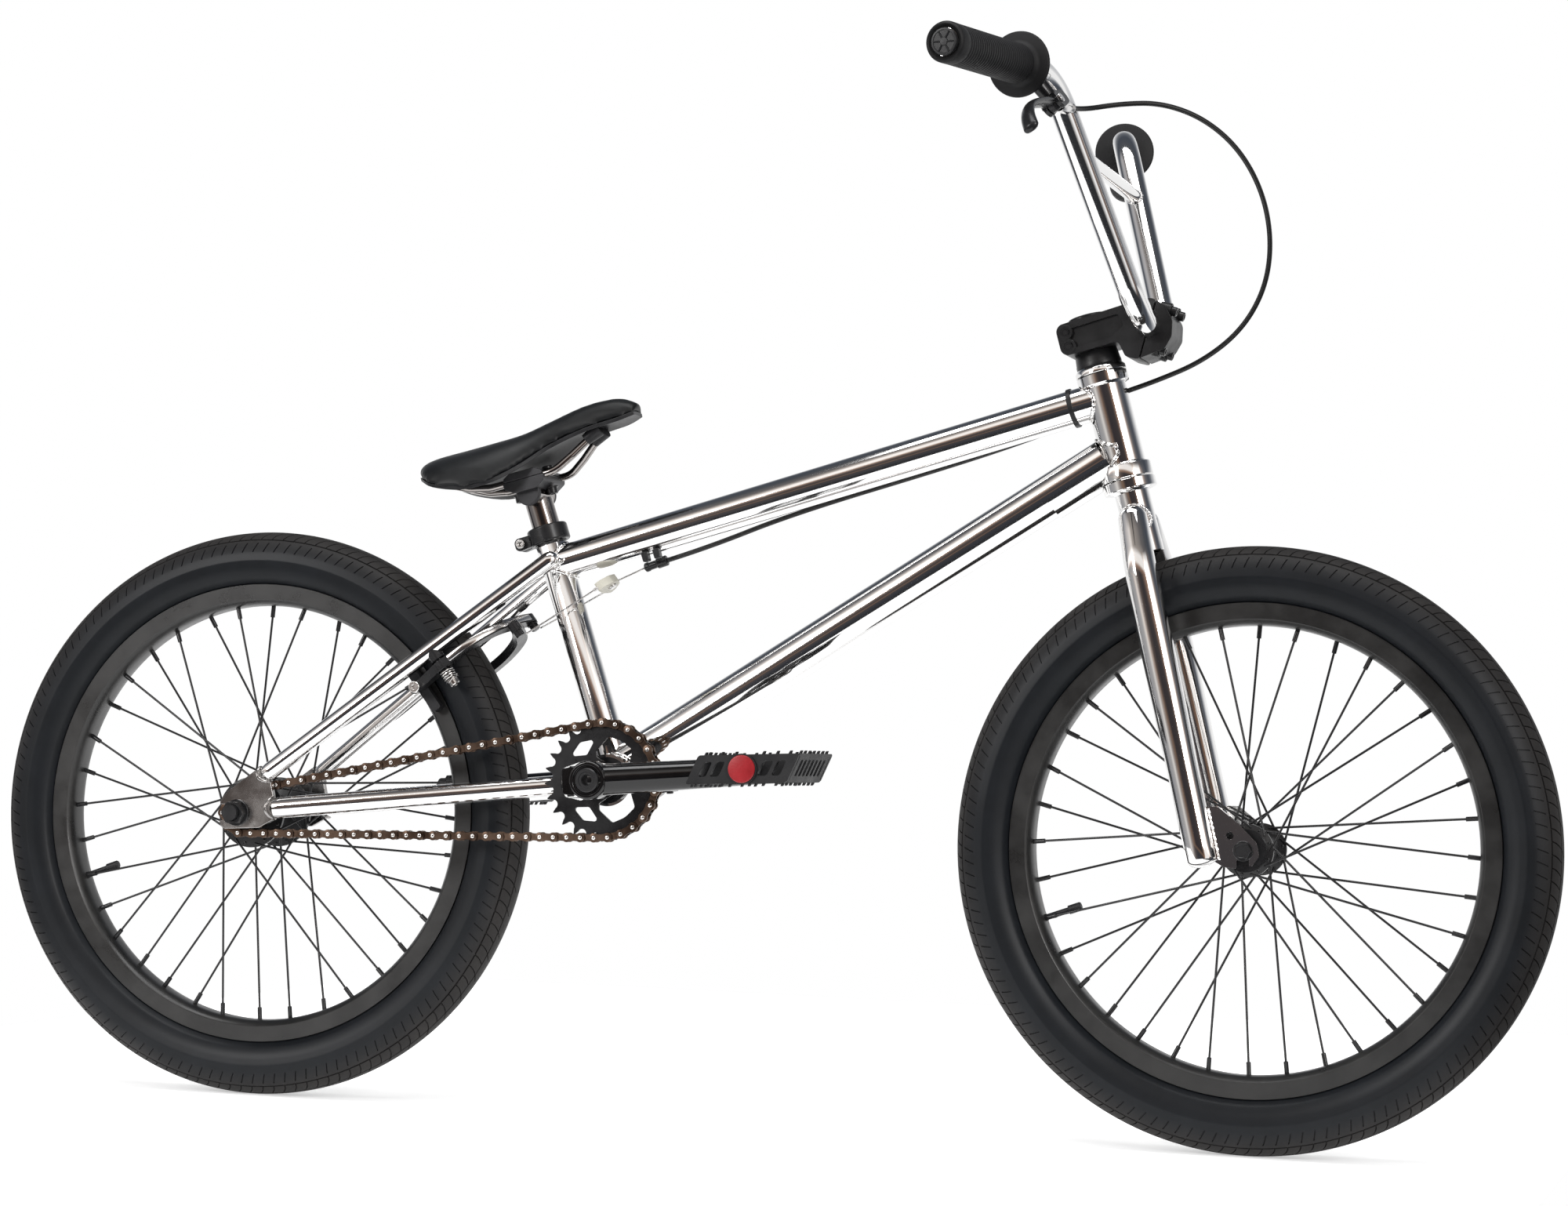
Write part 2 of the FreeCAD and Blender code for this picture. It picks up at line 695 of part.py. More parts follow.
def spoke_solid(start, end):
    """Wire spoke with its nipple at the rim end, as one stepped round bar."""
    along = (end - start).normalize()
    length = (end - start).Length
    thin = mm["spoke_rad"]
    fat = mm["nipple_rad"]
    seat = length - mm["nipple_len"]
    corners = [(0, 0), (thin, 0), (thin, seat), (fat, seat), (fat, length), (0, length), (0, 0)]
    section = Part.Face(Part.makePolygon([Vector(radius, 0, height) for radius, height in corners]))
    bar = section.revolve(Vector(0, 0, 0), Vector(0, 0, 1), 360)
    bar.Placement = facing(start, along)
    return bar


def build_spokes(label, centre, circle, flange):
    """Thirty-six spokes laced three-cross, eighteen to each flange."""
    per_side = 18
    step = 360.0 / per_side
    bars = []
    for side in (-1, 1):
        for hole in range(per_side):
            trailing = hole % 2 == 0
            hub_turn = step * (hole + (0.5 if side > 0 else 0))
            rim_turn = hub_turn + (3 * step if trailing else -3 * step)
            lean = 1 if trailing else -1
            hub_side = side * (mm[flange] + lean * mm["spoke_stagger"])
            rim_side = side * (3.2 + lean * mm["rim_stagger"])
            hub_radius = mm[circle]
            rim_radius = mm["rim_inner_rad"] + 1.5
            ends = []
            for turn, radius, across in ((hub_turn, hub_radius, hub_side), (rim_turn, rim_radius, rim_side)):
                angle = math.radians(turn)
                ends.append(centre + Vector(radius * math.cos(angle), across, radius * math.sin(angle)))
            bars.append(spoke_solid(*ends))
    node(plain(label + "_bars", Part.makeCompound(bars)), label)


def build_hub(prefix, centre):
    """Hub shell with two drilled-size flanges and a cartridge bearing at each end."""
    flange_rad = prefix + "_flange_rad"
    flange = prefix + "_flange_half"
    end = prefix + "_shell_half"
    lower = [
        ("hub_bearing_rad", "-" + end), ("hub_barrel_rad + 2", "-" + end),
        ("hub_barrel_rad + 2", "-" + flange + " - flange_thick"), (flange_rad, "-" + flange + " - 1.6"),
        (flange_rad, "-" + flange + " + 1.6"), ("hub_barrel_rad", "-" + flange + " + flange_thick")]
    upper = [
        ("hub_barrel_rad", flange + " - flange_thick"), (flange_rad, flange + " - 1.6"),
        (flange_rad, flange + " + 1.6"), ("hub_barrel_rad + 2", flange + " + flange_thick"),
        ("hub_barrel_rad + 2", end), ("hub_bearing_rad", end)]
    shoulder = end + " - hub_bearing_wid - 0.5"
    lower_shoulder = "-" + end + " + hub_bearing_wid + 0.5"
    inside = [
        ("hub_bearing_rad", shoulder), ("hub_barrel_rad - 6.5", shoulder),
        ("hub_barrel_rad - 6.5", lower_shoulder), ("hub_bearing_rad", lower_shoulder)]
    corners = lower + upper + inside
    body = turned(prefix + "_hub_shell", facing(centre, SIDE), corners)
    node(body, prefix + "_hub")
    rings = []
    for side in (-1, 1):
        outer_face = centre + SIDE * (side * (mm[end] - 0.1))
        inner_face = outer_face - SIDE * (side * mm["hub_bearing_wid"])
        ring = rod("%s_race%d" % (prefix, side + 1), inner_face, outer_face, "hub_bearing_rad - 0.03")
        hole = rod("%s_racehole%d" % (prefix, side + 1), inner_face - SIDE * side, outer_face + SIDE * side,
                   prefix + "_axle_rad + running_gap")
        rings.append(cut("%s_bearing%d" % (prefix, side + 1), ring, hole))
    node(group(prefix + "_bearings", *rings), prefix + "_hub_bearings")


def build_axle(prefix, centre, plate_face, washer_rad, nut_width):
    """Threaded axle with a locknut inside and a washer and nut outside each dropout."""
    half = SIDE * mm[prefix + "_axle_half"]
    stub = half - SIDE * mm["axle_stub_len"]
    shoulder = stub - SIDE * 1.2
    middle = rod(prefix + "_axle_middle", centre - shoulder, centre + shoulder, prefix + "_axle_rad")
    neck = rod(prefix + "_axle_neck", centre - stub, centre + stub, prefix + "_axle_rad - 1")
    ends = [rod(prefix + "_axle_right", centre - half, centre - stub, prefix + "_axle_rad"),
            rod(prefix + "_axle_left", centre + stub, centre + half, prefix + "_axle_rad")]
    bar = fuse(prefix + "_axle_bar", middle, neck, *ends)
    node(bar, prefix + "_axle")
    pieces = []
    for side in (-1, 1):
        start = centre + SIDE * (side * plate_face)
        washer_end = start + SIDE * (side * 2)
        nut_end = washer_end + SIDE * (side * (9 if prefix == "rear" else 6.5))
        washer = rod("%s_washer%d" % (prefix, side + 1), start, washer_end, washer_rad)
        nut = doc.addObject("Part::Prism", "%s_nut%d" % (prefix, side + 1))
        nut.Polygon = 6
        nut.Circumradius = nut_width
        nut.Height = (nut_end - washer_end).Length
        nut.Placement = facing(washer_end, SIDE * side)
        inner_start = centre + SIDE * (side * (mm[prefix + "_shell_half"] + 0.6))
        inner_end = centre + SIDE * (side * (mm["dropout_half" if prefix == "rear" else "fork_drop_half"]))
        spacer = rod("%s_cone%d" % (prefix, side + 1), inner_start, inner_end, prefix + "_axle_rad + 3.5")
        for name, part in (("washer", washer), ("nut", nut), ("cone", spacer)):
            pieces.append(cut("%s_%s_cut%d" % (prefix, name, side + 1), part, bar))
    node(group(prefix + "_axle_hardware", *pieces), prefix + "_axle_nuts")


# ---------------------------------------------------------------- drivetrain

def toothed_wheel(name, place, teeth, thick, first_gap_deg):
    """Disc with a seat for a chain roller between each pair of teeth."""
    body = new_body(name, place * Placement(Vector(), Rotation(Vector(0, 0, 1), first_gap_deg)))
    ring = pitch_radius(teeth)
    disc = circles(body, name + "Disc", "XY_Plane", [("0", "0")], "%.4f" % (ring + 2.6))
    pad(body, disc, thick)
    seat = circles(body, name + "Seat", "XY_Plane", [("%.4f" % ring, "0")], "chain_roller_rad + 0.15")
    seat_cut = pocket_through(body, seat)
    mouth = outline(body, name + "Mouth", "XY_Plane", [
        ("%.4f" % ring, "-3.9"), ("%.4f" % (ring + 4), "-6.6"),
        ("%.4f" % (ring + 4), "6.6"), ("%.4f" % ring, "3.9")])
    mouth_cut = pocket_through(body, mouth)
    spin_copies(body, [seat_cut, mouth_cut], int(teeth))
    return body


def window_ring(body, name, turn, corners):
    """Opening repeated three times round a body, the first one turned from its X axis."""
    sketch = outline(body, name, "XY_Plane", corners)
    sketch.AttachmentOffset = Placement(Vector(), Rotation(Vector(0, 0, 1), turn))
    opening = pocket_through(body, sketch)
    spin_copies(body, [opening], 3)


def sprocket_windows(body, arm_turn):
    """Three large shields and three small diamonds, one diamond behind the right crank arm."""
    window_ring(body, "Shield", arm_turn + 60, [
        ("16", "-14.5"), ("20.5", "-17"), ("36.5", "-12"), ("39", "0"),
        ("36.5", "12"), ("20.5", "17"), ("16", "14.5")])
    window_ring(body, "Diamond", arm_turn, [("26.5", "0"), ("34", "-14"), ("39.5", "0"), ("34", "14")])
    bore = circles(body, "SprocketBore", "XY_Plane", [("0", "0")], "spindle_rad")
    body.Tip = pocket_through(body, bore)


def right_plane(offset):
    """Placement whose XY plane is the chain's plane, x forward and y up."""
    return Placement(Vector(0, -offset, 0), Rotation(Vector(1, 0, 0), 90))


def chain_pins():
    """Centres of the chain's pins, one pitch apart, round both toothed wheels."""
    big = pitch_radius(mm["sprocket_teeth"])
    small = pitch_radius(mm["driver_teeth"])
    axis = math.atan2(bracket_rise, BRACKET.x - REAR_AXLE.x)
    lean = math.asin((big - small) / chain_run)
    run = chain_run * math.cos(lean)
    big_turn = math.pi + 2 * lean
    small_turn = math.pi - 2 * lean
    stretches = [run / mm["chain_pitch"], big_turn * mm["sprocket_teeth"] / (2 * math.pi),
                 run / mm["chain_pitch"], small_turn * mm["driver_teeth"] / (2 * math.pi)]
    upper = axis + math.pi / 2 + lean
    lower = axis - math.pi / 2 - lean
    pins = []
    total = sum(stretches)
    for link in range(int(mm["chain_links"])):
        place = link * total / mm["chain_links"]
        part = 0
        while place > stretches[part]:
            place -= stretches[part]
            part += 1
        share = place / stretches[part]
        if part == 0:
            a = REAR_AXLE + Vector(math.cos(upper), 0, math.sin(upper)) * small
            b = BRACKET + Vector(math.cos(upper), 0, math.sin(upper)) * big
            pins.append(a + (b - a) * share)
        elif part == 1:
            angle = upper - big_turn * share
            pins.append(BRACKET + Vector(math.cos(angle), 0, math.sin(angle)) * big)
        elif part == 2:
            a = BRACKET + Vector(math.cos(lower), 0, math.sin(lower)) * big
            b = REAR_AXLE + Vector(math.cos(lower), 0, math.sin(lower)) * small
            pins.append(a + (b - a) * share)
        else:
            angle = lower - small_turn * share
            pins.append(REAR_AXLE + Vector(math.cos(angle), 0, math.sin(angle)) * small)
    return pins


PINS = chain_pins()


def gap_angle(centre, teeth):
    """Angle of the pin that sits nearest a wheel, measured in the chain's plane."""
    ring = pitch_radius(teeth)
    seated = [pin - centre for pin in PINS if abs((pin - centre).Length - ring) < 0.02]
    middle = seated[len(seated) // 2]
    return math.degrees(math.atan2(middle.z, middle.x))


def build_chain():
    """Two rows of side plates joined by rollers."""
    line = mm["chainline"]
    plates = []
    rollers = []
    for index, pin in enumerate(PINS):
        after = PINS[(index + 1) % len(PINS)]
        outside = index % 2 == 0
        inner = mm["chain_inner_half"] + (mm["chain_plate_thick"] + 0.1 if outside else 0)
        for side in (-1, 1):
            low = -line + side * inner
            thick = side * mm["chain_plate_thick"]
            plates.append(link_plate(pin, after, low, thick))
        reach = mm["chain_inner_half"]
        start = Vector(pin.x, -line - reach, pin.z)
        rollers.append(Part.makeCylinder(mm["chain_roller_rad"] - 0.35, 2 * reach, start, SIDE))
        edge = reach + 2 * mm["chain_plate_thick"] + 0.5
        low_pin = Vector(pin.x, -line - edge, pin.z)
        rollers.append(Part.makeCylinder(1.8, edge - reach, low_pin, SIDE))
        high_pin = Vector(pin.x, -line + reach, pin.z)
        rollers.append(Part.makeCylinder(1.8, edge - reach, high_pin, SIDE))
    whole = plates[0].multiFuse(plates[1:] + rollers)
    node(plain("ChainLoop", whole), "chain")


def link_plate(pin, after, low, thick):
    """Side plate from one pin to the next: two round ends and a straight middle."""
    run = after - pin
    side = Vector(-run.z, 0, run.x).normalize() * mm["chain_plate_rad"]
    lift = Vector(0, low, 0)
    start = Vector(pin.x, 0, pin.z) + lift
    end = Vector(after.x, 0, after.z) + lift
    along = Vector(run).normalize() * mm["chain_plate_rad"]
    edges = [Part.LineSegment(start + side, end + side).toShape(),
             Part.Arc(end + side, end + along, end - side).toShape(),
             Part.LineSegment(end - side, start - side).toShape(),
             Part.Arc(start - side, start - along, start + side).toShape()]
    return Part.Face(Part.Wire(edges)).extrude(Vector(0, thick, 0))


def build_sprocket():
    place = Placement(BRACKET, Rotation()) * right_plane(mm["chainline"])
    first_gap = gap_angle(BRACKET, mm["sprocket_teeth"])
    body = toothed_wheel("Sprocket", place, mm["sprocket_teeth"], "cog_thick", first_gap)
    sprocket_windows(body, mm["crank_lift_deg"] - first_gap)
    node(body, "sprocket")


def build_driver():
    """Nine-tooth cog on a sleeve that turns about the rear axle."""
    place = Placement(REAR_AXLE, Rotation()) * right_plane(mm["chainline"])
    cog = toothed_wheel("Driver", place, mm["driver_teeth"], "cog_thick",
                        gap_angle(REAR_AXLE, mm["driver_teeth"]))
    start = REAR_AXLE - SIDE * (mm["rear_shell_half"] + 0.5)
    end = REAR_AXLE - SIDE * (mm["chainline"] + 3)
    sleeve = rod("DriverSleeve", start, end, "12.5")
    bore = rod("DriverBore", start + SIDE, end - SIDE, "rear_axle_rad + 3.8")
    node(cut("DriverBored", fuse("DriverWhole", cog, sleeve), bore), "driver_cog")


lift = math.radians(mm["crank_lift_deg"])
CRANK_FORE = Vector(math.cos(lift), 0, math.sin(lift))
PEDAL_RIGHT = BRACKET + CRANK_FORE * mm["crank_len"]
PEDAL_LEFT = BRACKET - CRANK_FORE * mm["crank_len"]


def crank_arm(name, side, direction):
    """Tubular arm with a wide boss for the spindle and a threaded boss for the pedal."""
    root = BRACKET + SIDE * (side * mm["crank_centre"])
    tip = root + direction * mm["crank_len"]
    taper = doc.addObject("Part::Cone", name + "_taper")
    bind(taper, "Radius1", "crank_big_rad")
    bind(taper, "Radius2", "crank_small_rad")
    bind(taper, "Height", "crank_len")
    taper.Placement = facing(root, direction)
    boss = rod(name + "_boss", BRACKET + SIDE * (side * mm["crank_boss_in"]),
               BRACKET + SIDE * (side * mm["crank_boss_out"]), "spindle_boss_rad")
    eye = rod(name + "_eye", tip - SIDE * 12.5, tip + SIDE * 12.5, "pedal_boss_rad")
    across = direction.cross(SIDE)
    lug_place = Placement(root, Rotation(direction, SIDE, across, "XYZ"))
    lug = slab(name + "_lug", Vector(-24.5, -10.5, -12), 14, 21, 24, lug_place)
    hole = rod(name + "_hole", root - SIDE * 40, root + SIDE * 40, "spindle_rad")
    thread = rod(name + "_thread", tip - SIDE * 20, tip + SIDE * 20, "7")
    return cut(name, fuse(name + "_solid", taper, boss, eye, lug), hole, thread)


def build_cranks():
    reach = SIDE * (mm["crank_boss_out"] - 4)
    spindle = pipe("Spindle", BRACKET - reach, BRACKET + reach, "spindle_rad", "spindle_rad - 3")
    node(spindle, "crank_spindle")
    arms = [crank_arm("CrankRight", -1, CRANK_FORE), crank_arm("CrankLeft", 1, CRANK_FORE * -1)]
    node(group("CrankArms", *arms), "crank_arms")
    bolts = []
    for side in (-1, 1):
        face = BRACKET + SIDE * (side * (mm["crank_boss_out"] - 3.9))
        shank_end = face - SIDE * (side * 20)
        head_end = face + SIDE * (side * 6)
        shank = rod("SpindleBolt%d" % (side + 1), shank_end, face, "spindle_rad - 3.1")
        head = rod("SpindleHead%d" % (side + 1), face, head_end, "spindle_rad - 0.1")
        bolts.append(fuse("SpindleBoltWhole%d" % (side + 1), shank, head))
    node(group("SpindleBolts", *bolts), "spindle_bolts")
    rings = []
    for side in (-1, 1):
        inner = BRACKET + SIDE * (side * (mm["bracket_half"] - 9))
        outer = BRACKET + SIDE * (side * (mm["bracket_half"] + 0.5))
        ring = rod("BracketRing%d" % (side + 1), inner, outer, "bracket_bore_rad - 0.05")
        hole = rod("BracketHole%d" % (side + 1), inner - SIDE * side, outer + SIDE * side,
                   "spindle_rad + running_gap")
        rings.append(cut("BracketBearing%d" % (side + 1), ring, hole))
    node(group("BracketBearings", *rings), "bottom_bracket_bearings")


def build_pedals():
    axles = []
    for name, side, centre in (("right", -1, PEDAL_RIGHT), ("left", 1, PEDAL_LEFT)):
        start = centre + SIDE * (side * (mm["crank_centre"] - 12))
        collar = centre + SIDE * (side * (mm["crank_centre"] + 12.6))
        body_in = centre + SIDE * (side * mm["pedal_in"])
        body_out = centre + SIDE * (side * mm["pedal_out"])
        axle_end = body_out - SIDE * (side * 8)
        thread = rod("PedalThread_" + name, start, collar, "6.95")
        flats = rod("PedalFlats_" + name, collar, body_in - SIDE * (side * 1), "8")
        bar = rod("PedalBar_" + name, body_in - SIDE * (side * 1), axle_end, "pedal_axle_rad")
        axles.append(fuse("PedalAxle_" + name, thread, flats, bar))
        node(pedal_body(name, side, centre), "pedal_" + name)
    node(group("PedalAxles", *axles), "pedal_axles")


def pedal_body(name, side, centre):
    """Platform of two end walls, two side walls and a middle sleeve, with a round end cap."""
    middle = (mm["pedal_in"] + mm["pedal_out"]) / 2
    level = Rotation(SIDE, 2 - mm["crank_lift_deg"])
    body = new_body("PedalFrame_" + name, Placement(centre + SIDE * (side * middle), level))
    side_view = outline(body, "PedalSide_" + name, "XZ_Plane", [
        ("-pedal_half_len", "-pedal_half_thick + 4"), ("-pedal_half_len + 2", "-pedal_half_thick"),
        ("pedal_half_len - 15", "-pedal_half_thick"), ("pedal_half_len - 12", "-pedal_half_thick + 2"),
        ("pedal_half_len", "pedal_half_thick - 4"), ("pedal_half_len - 2", "pedal_half_thick"),
        ("-pedal_half_len + 15", "pedal_half_thick"), ("-pedal_half_len + 12", "pedal_half_thick - 2")])
    pad(body, side_view, "pedal_out - pedal_in")
    window_spans = [("pedal_sleeve_rad + 2", "pedal_half_len - 19"),
                    ("-pedal_half_len + 19", "-pedal_sleeve_rad - 2")]
    for number, (low, high) in enumerate(window_spans):
        window = outline(body, "PedalWindow%d_%s" % (number, name), "XY_Plane", [
            (low, "-pedal_window_half"), (high, "-pedal_window_half"),
            (high, "pedal_window_half"), (low, "pedal_window_half")])
        body.Tip = pocket_through(body, window)
    cap = rod("PedalCap_" + name, centre + SIDE * (side * (mm["pedal_out"] - 3)),
              centre + SIDE * (side * (mm["pedal_out"] + 3)), "pedal_cap_rad")
    bore = rod("PedalBore_" + name, centre + SIDE * (side * (mm["pedal_in"] - 2)),
               centre + SIDE * (side * (mm["pedal_out"] - 7)), "pedal_axle_rad + running_gap")
    return cut("Pedal_" + name, fuse("PedalWhole_" + name, body, cap), bore)


# ---------------------------------------------------------------- fork

def leg_axis(side, height_z):
    """Middle of a fork leg at a height, from its outward bend down to the dropout."""
    bend = Vector(361.4, side * 43.5, 497)
    low = Vector(423.5, side * 57, 250)
    share = (bend.z - height_z) / (bend.z - low.z)
    return bend + (low - bend) * share


def ring_wire(name, centre, direction, radius):
    """Circle used as one section of a loft."""
    ring = doc.addObject("Part::Circle", name)
    bind(ring, "Radius", radius)
    ring.Placement = facing(centre, direction)
    return ring


def fork_leg(name, side):
    """Tapered leg that leaves the crown, bends past the tyre and runs straight to the dropout."""
    down = (leg_axis(side, 250) - leg_axis(side, 497)).normalize()
    top = steer_point(0, -37, side * 27.5)
    away = (leg_axis(side, 505) - top).normalize()
    sections = [
        ring_wire(name + "_a", top, (away - HEAD_UP).normalize(), "leg_top_rad"),
        ring_wire(name + "_b", leg_axis(side, 494), (away + down).normalize(), "leg_mid_rad - 0.8"),
        ring_wire(name + "_c", leg_axis(side, 430), down, "leg_mid_rad"),
        ring_wire(name + "_d", leg_axis(side, 340), down, "leg_mid_rad - 0.4"),
        ring_wire(name + "_e", leg_axis(side, 250), down, "leg_low_rad")]
    leg = doc.addObject("Part::Loft", name)
    leg.Sections = sections
    leg.Solid = True
    dome = doc.addObject("Part::Sphere", name + "_dome")
    bind(dome, "Radius", "leg_top_rad - 0.25")
    dome.Placement = Placement(top, Rotation())
    return fuse(name + "_domed", leg, dome)


def build_fork():
    steerer = turned("Steerer", facing(HEAD_LOW, HEAD_UP), [
        ("steerer_bore_rad", "-crown_drop"), ("crown_rad", "-crown_drop"), ("crown_rad", "-10.5"),
        ("head_ring_rad + 0.7", "-9.5"), ("head_ring_rad + 0.7", "-1.2"), ("steerer_rad", "-1.2"),
        ("steerer_rad", "steerer_top"), ("steerer_bore_rad", "steerer_top")])
    node(steerer, "fork_steerer")
    crown = rod("LegAtCrown", steer_point(0, -mm["crown_drop"] - 2), steer_point(0, 0), "crown_rad")
    leg = cut("ForkLeg", fork_leg("LegRight", -1), crown, fork_dropout("DropAtLeg"))
    node(pair("ForkLegs", leg), "fork_legs")
    node(pair("ForkDropouts", fork_dropout("ForkDrop")), "fork_dropouts")


def fork_dropout(name):
    """Flat plate with an axle slot open downwards and a small round hole."""
    plane = Placement(FRONT_AXLE - SIDE * (mm["fork_drop_half"] + mm["fork_drop_thick"] / 2),
                      Rotation(Vector(1, 0, 0), 90))
    body = new_body(name, plane)
    shape = outline(body, name + "Side", "XY_Plane", [
        ("-38", "-2"), ("-16", "-14"), ("-6", "-15"), ("8", "-12"), ("13.5", "-4"), ("11", "7"),
        ("-4", "22"), ("-22", "36"), ("-32", "36")])
    pad(body, shape, "fork_drop_thick")
    hole = circles(body, name + "Hole", "XY_Plane", [("-11.5", "12.4")], "3.2")
    pocket_through(body, hole)
    axle = circles(body, name + "Axle", "XY_Plane", [("0", "0")], "front_axle_rad + 0.05")
    pocket_through(body, axle)
    slot = outline(body, name + "Slot", "XY_Plane", [
        ("-front_axle_rad - 0.05", "0"), ("-front_axle_rad - 0.05", "-25"),
        ("front_axle_rad + 0.05", "-25"), ("front_axle_rad + 0.05", "0")])
    body.Tip = pocket_through(body, slot)
    return body


# ---------------------------------------------------------------- stem and bar

CLAMP = steer_point(mm["clamp_q"], mm["clamp_a"])
bar_tilt = math.radians(mm["bar_tilt_deg"])
BAR_UP = Vector(-math.sin(bar_tilt), 0, math.cos(bar_tilt))
BAR_FORE = Vector(math.cos(bar_tilt), 0, math.sin(bar_tilt))
SPLIT_UP = (HEAD_FORE * 0.51 + HEAD_UP * 0.86).normalize()
SPLIT_FORE = (HEAD_FORE * 0.86 - HEAD_UP * 0.51).normalize()


def split_point(fore, up, side):
    """Point given from the bar clamp's centre, square to the faceplate's split."""
    return CLAMP + SPLIT_FORE * fore + SPLIT_UP * up + SIDE * side


def stem_block():
    """Whole stem before the faceplate is parted from it."""
    body = new_body("StemBlock", STEER_PLACE)
    side_view = outline(body, "StemSide", "XZ_Plane", [
        ("-25", "114.6"), ("25", "114.6"), ("28", "100"), ("37", "95"), ("62", "97"), ("71", "106"),
        ("75", "119"), ("72", "133"), ("63", "142"), ("54", "144"), ("27", "143.4"), ("-25", "142")])
    block = body.newObject("PartDesign::Pad", "StemPad")
    block.Profile = side_view
    bind(block, "Length", "stem_half_wid + stem_half_wid")
    block.Midplane = True
    doc.recompute()
    across = []
    for i, edge in enumerate(block.Shape.Edges):
        middle = edge.CenterOfMass
        if abs(edge.tangentAt(edge.FirstParameter).y) > 0.99 and middle.x < -20:
            across.append("Edge%d" % (i + 1))
    rounded = body.newObject("PartDesign::Fillet", "StemCorners")
    rounded.Base = (block, across)
    rounded.Radius = 7
    body.Tip = rounded
    return body


def build_stem():
    split = Placement(CLAMP, Rotation(SPLIT_FORE, SIDE, SPLIT_UP, "ZXY"))
    front_space = slab("FaceplateSpace", Vector(-0.6, -40, -50), 80, 80, 100, split)
    rear_space = slab("StemSpace", Vector(-120, -40, -90), 120.6, 80, 180, split)
    bar_bore = rod("StemBarBore", CLAMP - SIDE * 40, CLAMP + SIDE * 40, "bar_rad")
    steer_bore = rod("StemSteerBore", steer_point(0, 90), steer_point(0, 144), "steerer_rad")
    slot = slab("StemSlot", Vector(-40, -1, 100), 30, 2, 60, STEER_PLACE)
    bolt_cuts = []
    rear_bolts = []
    for place, height in enumerate((121.5, 135)):
        start = steer_point(-19, height, -mm["stem_half_wid"] + 5)
        end = steer_point(-19, height, mm["stem_half_wid"] - 5)
        out = SIDE * 10
        bolt_cuts.append(rod("PinchHole%d" % place, start - out, end + out, "3.9"))
        rear_bolts.append(rod("PinchBolt%d" % place, start, end, "3.8"))
    for across in (-17, 17):
        for up in (-17.5, 17.5):
            name = "%d_%d" % (across + 17, up + 17.5)
            start = split_point(-12, up, across)
            end = split_point(14, up, across)
            rear_bolts.append(rod("FaceBolt" + name, start, end, "2.5"))
            rear_bolts.append(rod("FaceHead" + name, end, split_point(18, up, across), "4"))
            bolt_cuts.append(rod("FaceHole" + name, start, split_point(40, up, across), "2.5"))
            bolt_cuts.append(rod("FaceSink" + name, end, split_point(40, up, across), "4.1"))
    drill = group("StemDrill", *bolt_cuts)
    block = stem_block()
    rear = cut("StemRear", block, front_space, bar_bore, steer_bore, slot, drill)
    node(rear, "stem_body")
    front = cut("Faceplate", block, rear_space, bar_bore, drill)
    node(front, "stem_faceplate")
    cap = rod("TopCap", steer_point(0, 143.2), steer_point(0, 146.5), "steerer_rad + 2")
    cap_bolt = rod("TopCapBolt", steer_point(0, 146.5), steer_point(0, 148.5), "4")
    node(group("StemBolts", *rear_bolts, cap, cap_bolt), "stem_bolts")


def bar_point(up, side):
    """Point in the handlebar's leaning plane."""
    return CLAMP + BAR_UP * up + SIDE * side


sweep = math.radians(mm["bar_sweep_deg"])


def grip_way(side):
    """Direction of the bar's swept-back end on one side."""
    return SIDE * (side * math.cos(sweep)) - BAR_FORE * math.sin(sweep)


def grip_point(side, half_span):
    """Point on a bar end's axis at a distance from the middle plane."""
    knee = bar_point(mm["bar_rise"], side * mm["bar_knee_half"])
    return knee + grip_way(side) * ((half_span - mm["bar_knee_half"]) / math.cos(sweep))


def bar_path():
    points = [grip_point(-1, mm["bar_half_span"])]
    points.append(bar_point(mm["bar_rise"], -mm["bar_knee_half"]))
    points.append(bar_point(0, -mm["bar_base_half"]))
    points.append(bar_point(0, mm["bar_base_half"]))
    points.append(bar_point(mm["bar_rise"], mm["bar_knee_half"]))
    points.append(grip_point(1, mm["bar_half_span"]))
    path, _ = rounded_path(points, mm["bar_bend_rad"])
    return path, points


def build_bar():
    path, points = bar_path()
    start = points[0]
    way = (points[1] - points[0]).normalize()
    tube = plain("BarTube", swept(path, start, way, mm["bar_rad"], mm["bar_wall"]))
    solid = plain("BarSolid", swept(path, start, way, mm["bar_rad"]))
    leg_way = (bar_point(mm["bar_rise"], mm["bar_knee_half"]) - bar_point(0, mm["bar_base_half"]))
    reach = mm["bar_base_half"] + leg_way.y * mm["crossbar_rise"] / mm["bar_rise"]
    brace = rod("Crossbar", bar_point(mm["crossbar_rise"], -reach), bar_point(mm["crossbar_rise"], reach),
                "crossbar_rad")
    node(group("Handlebar", tube, cut("CrossbarCoped", brace, solid)), "handlebar")


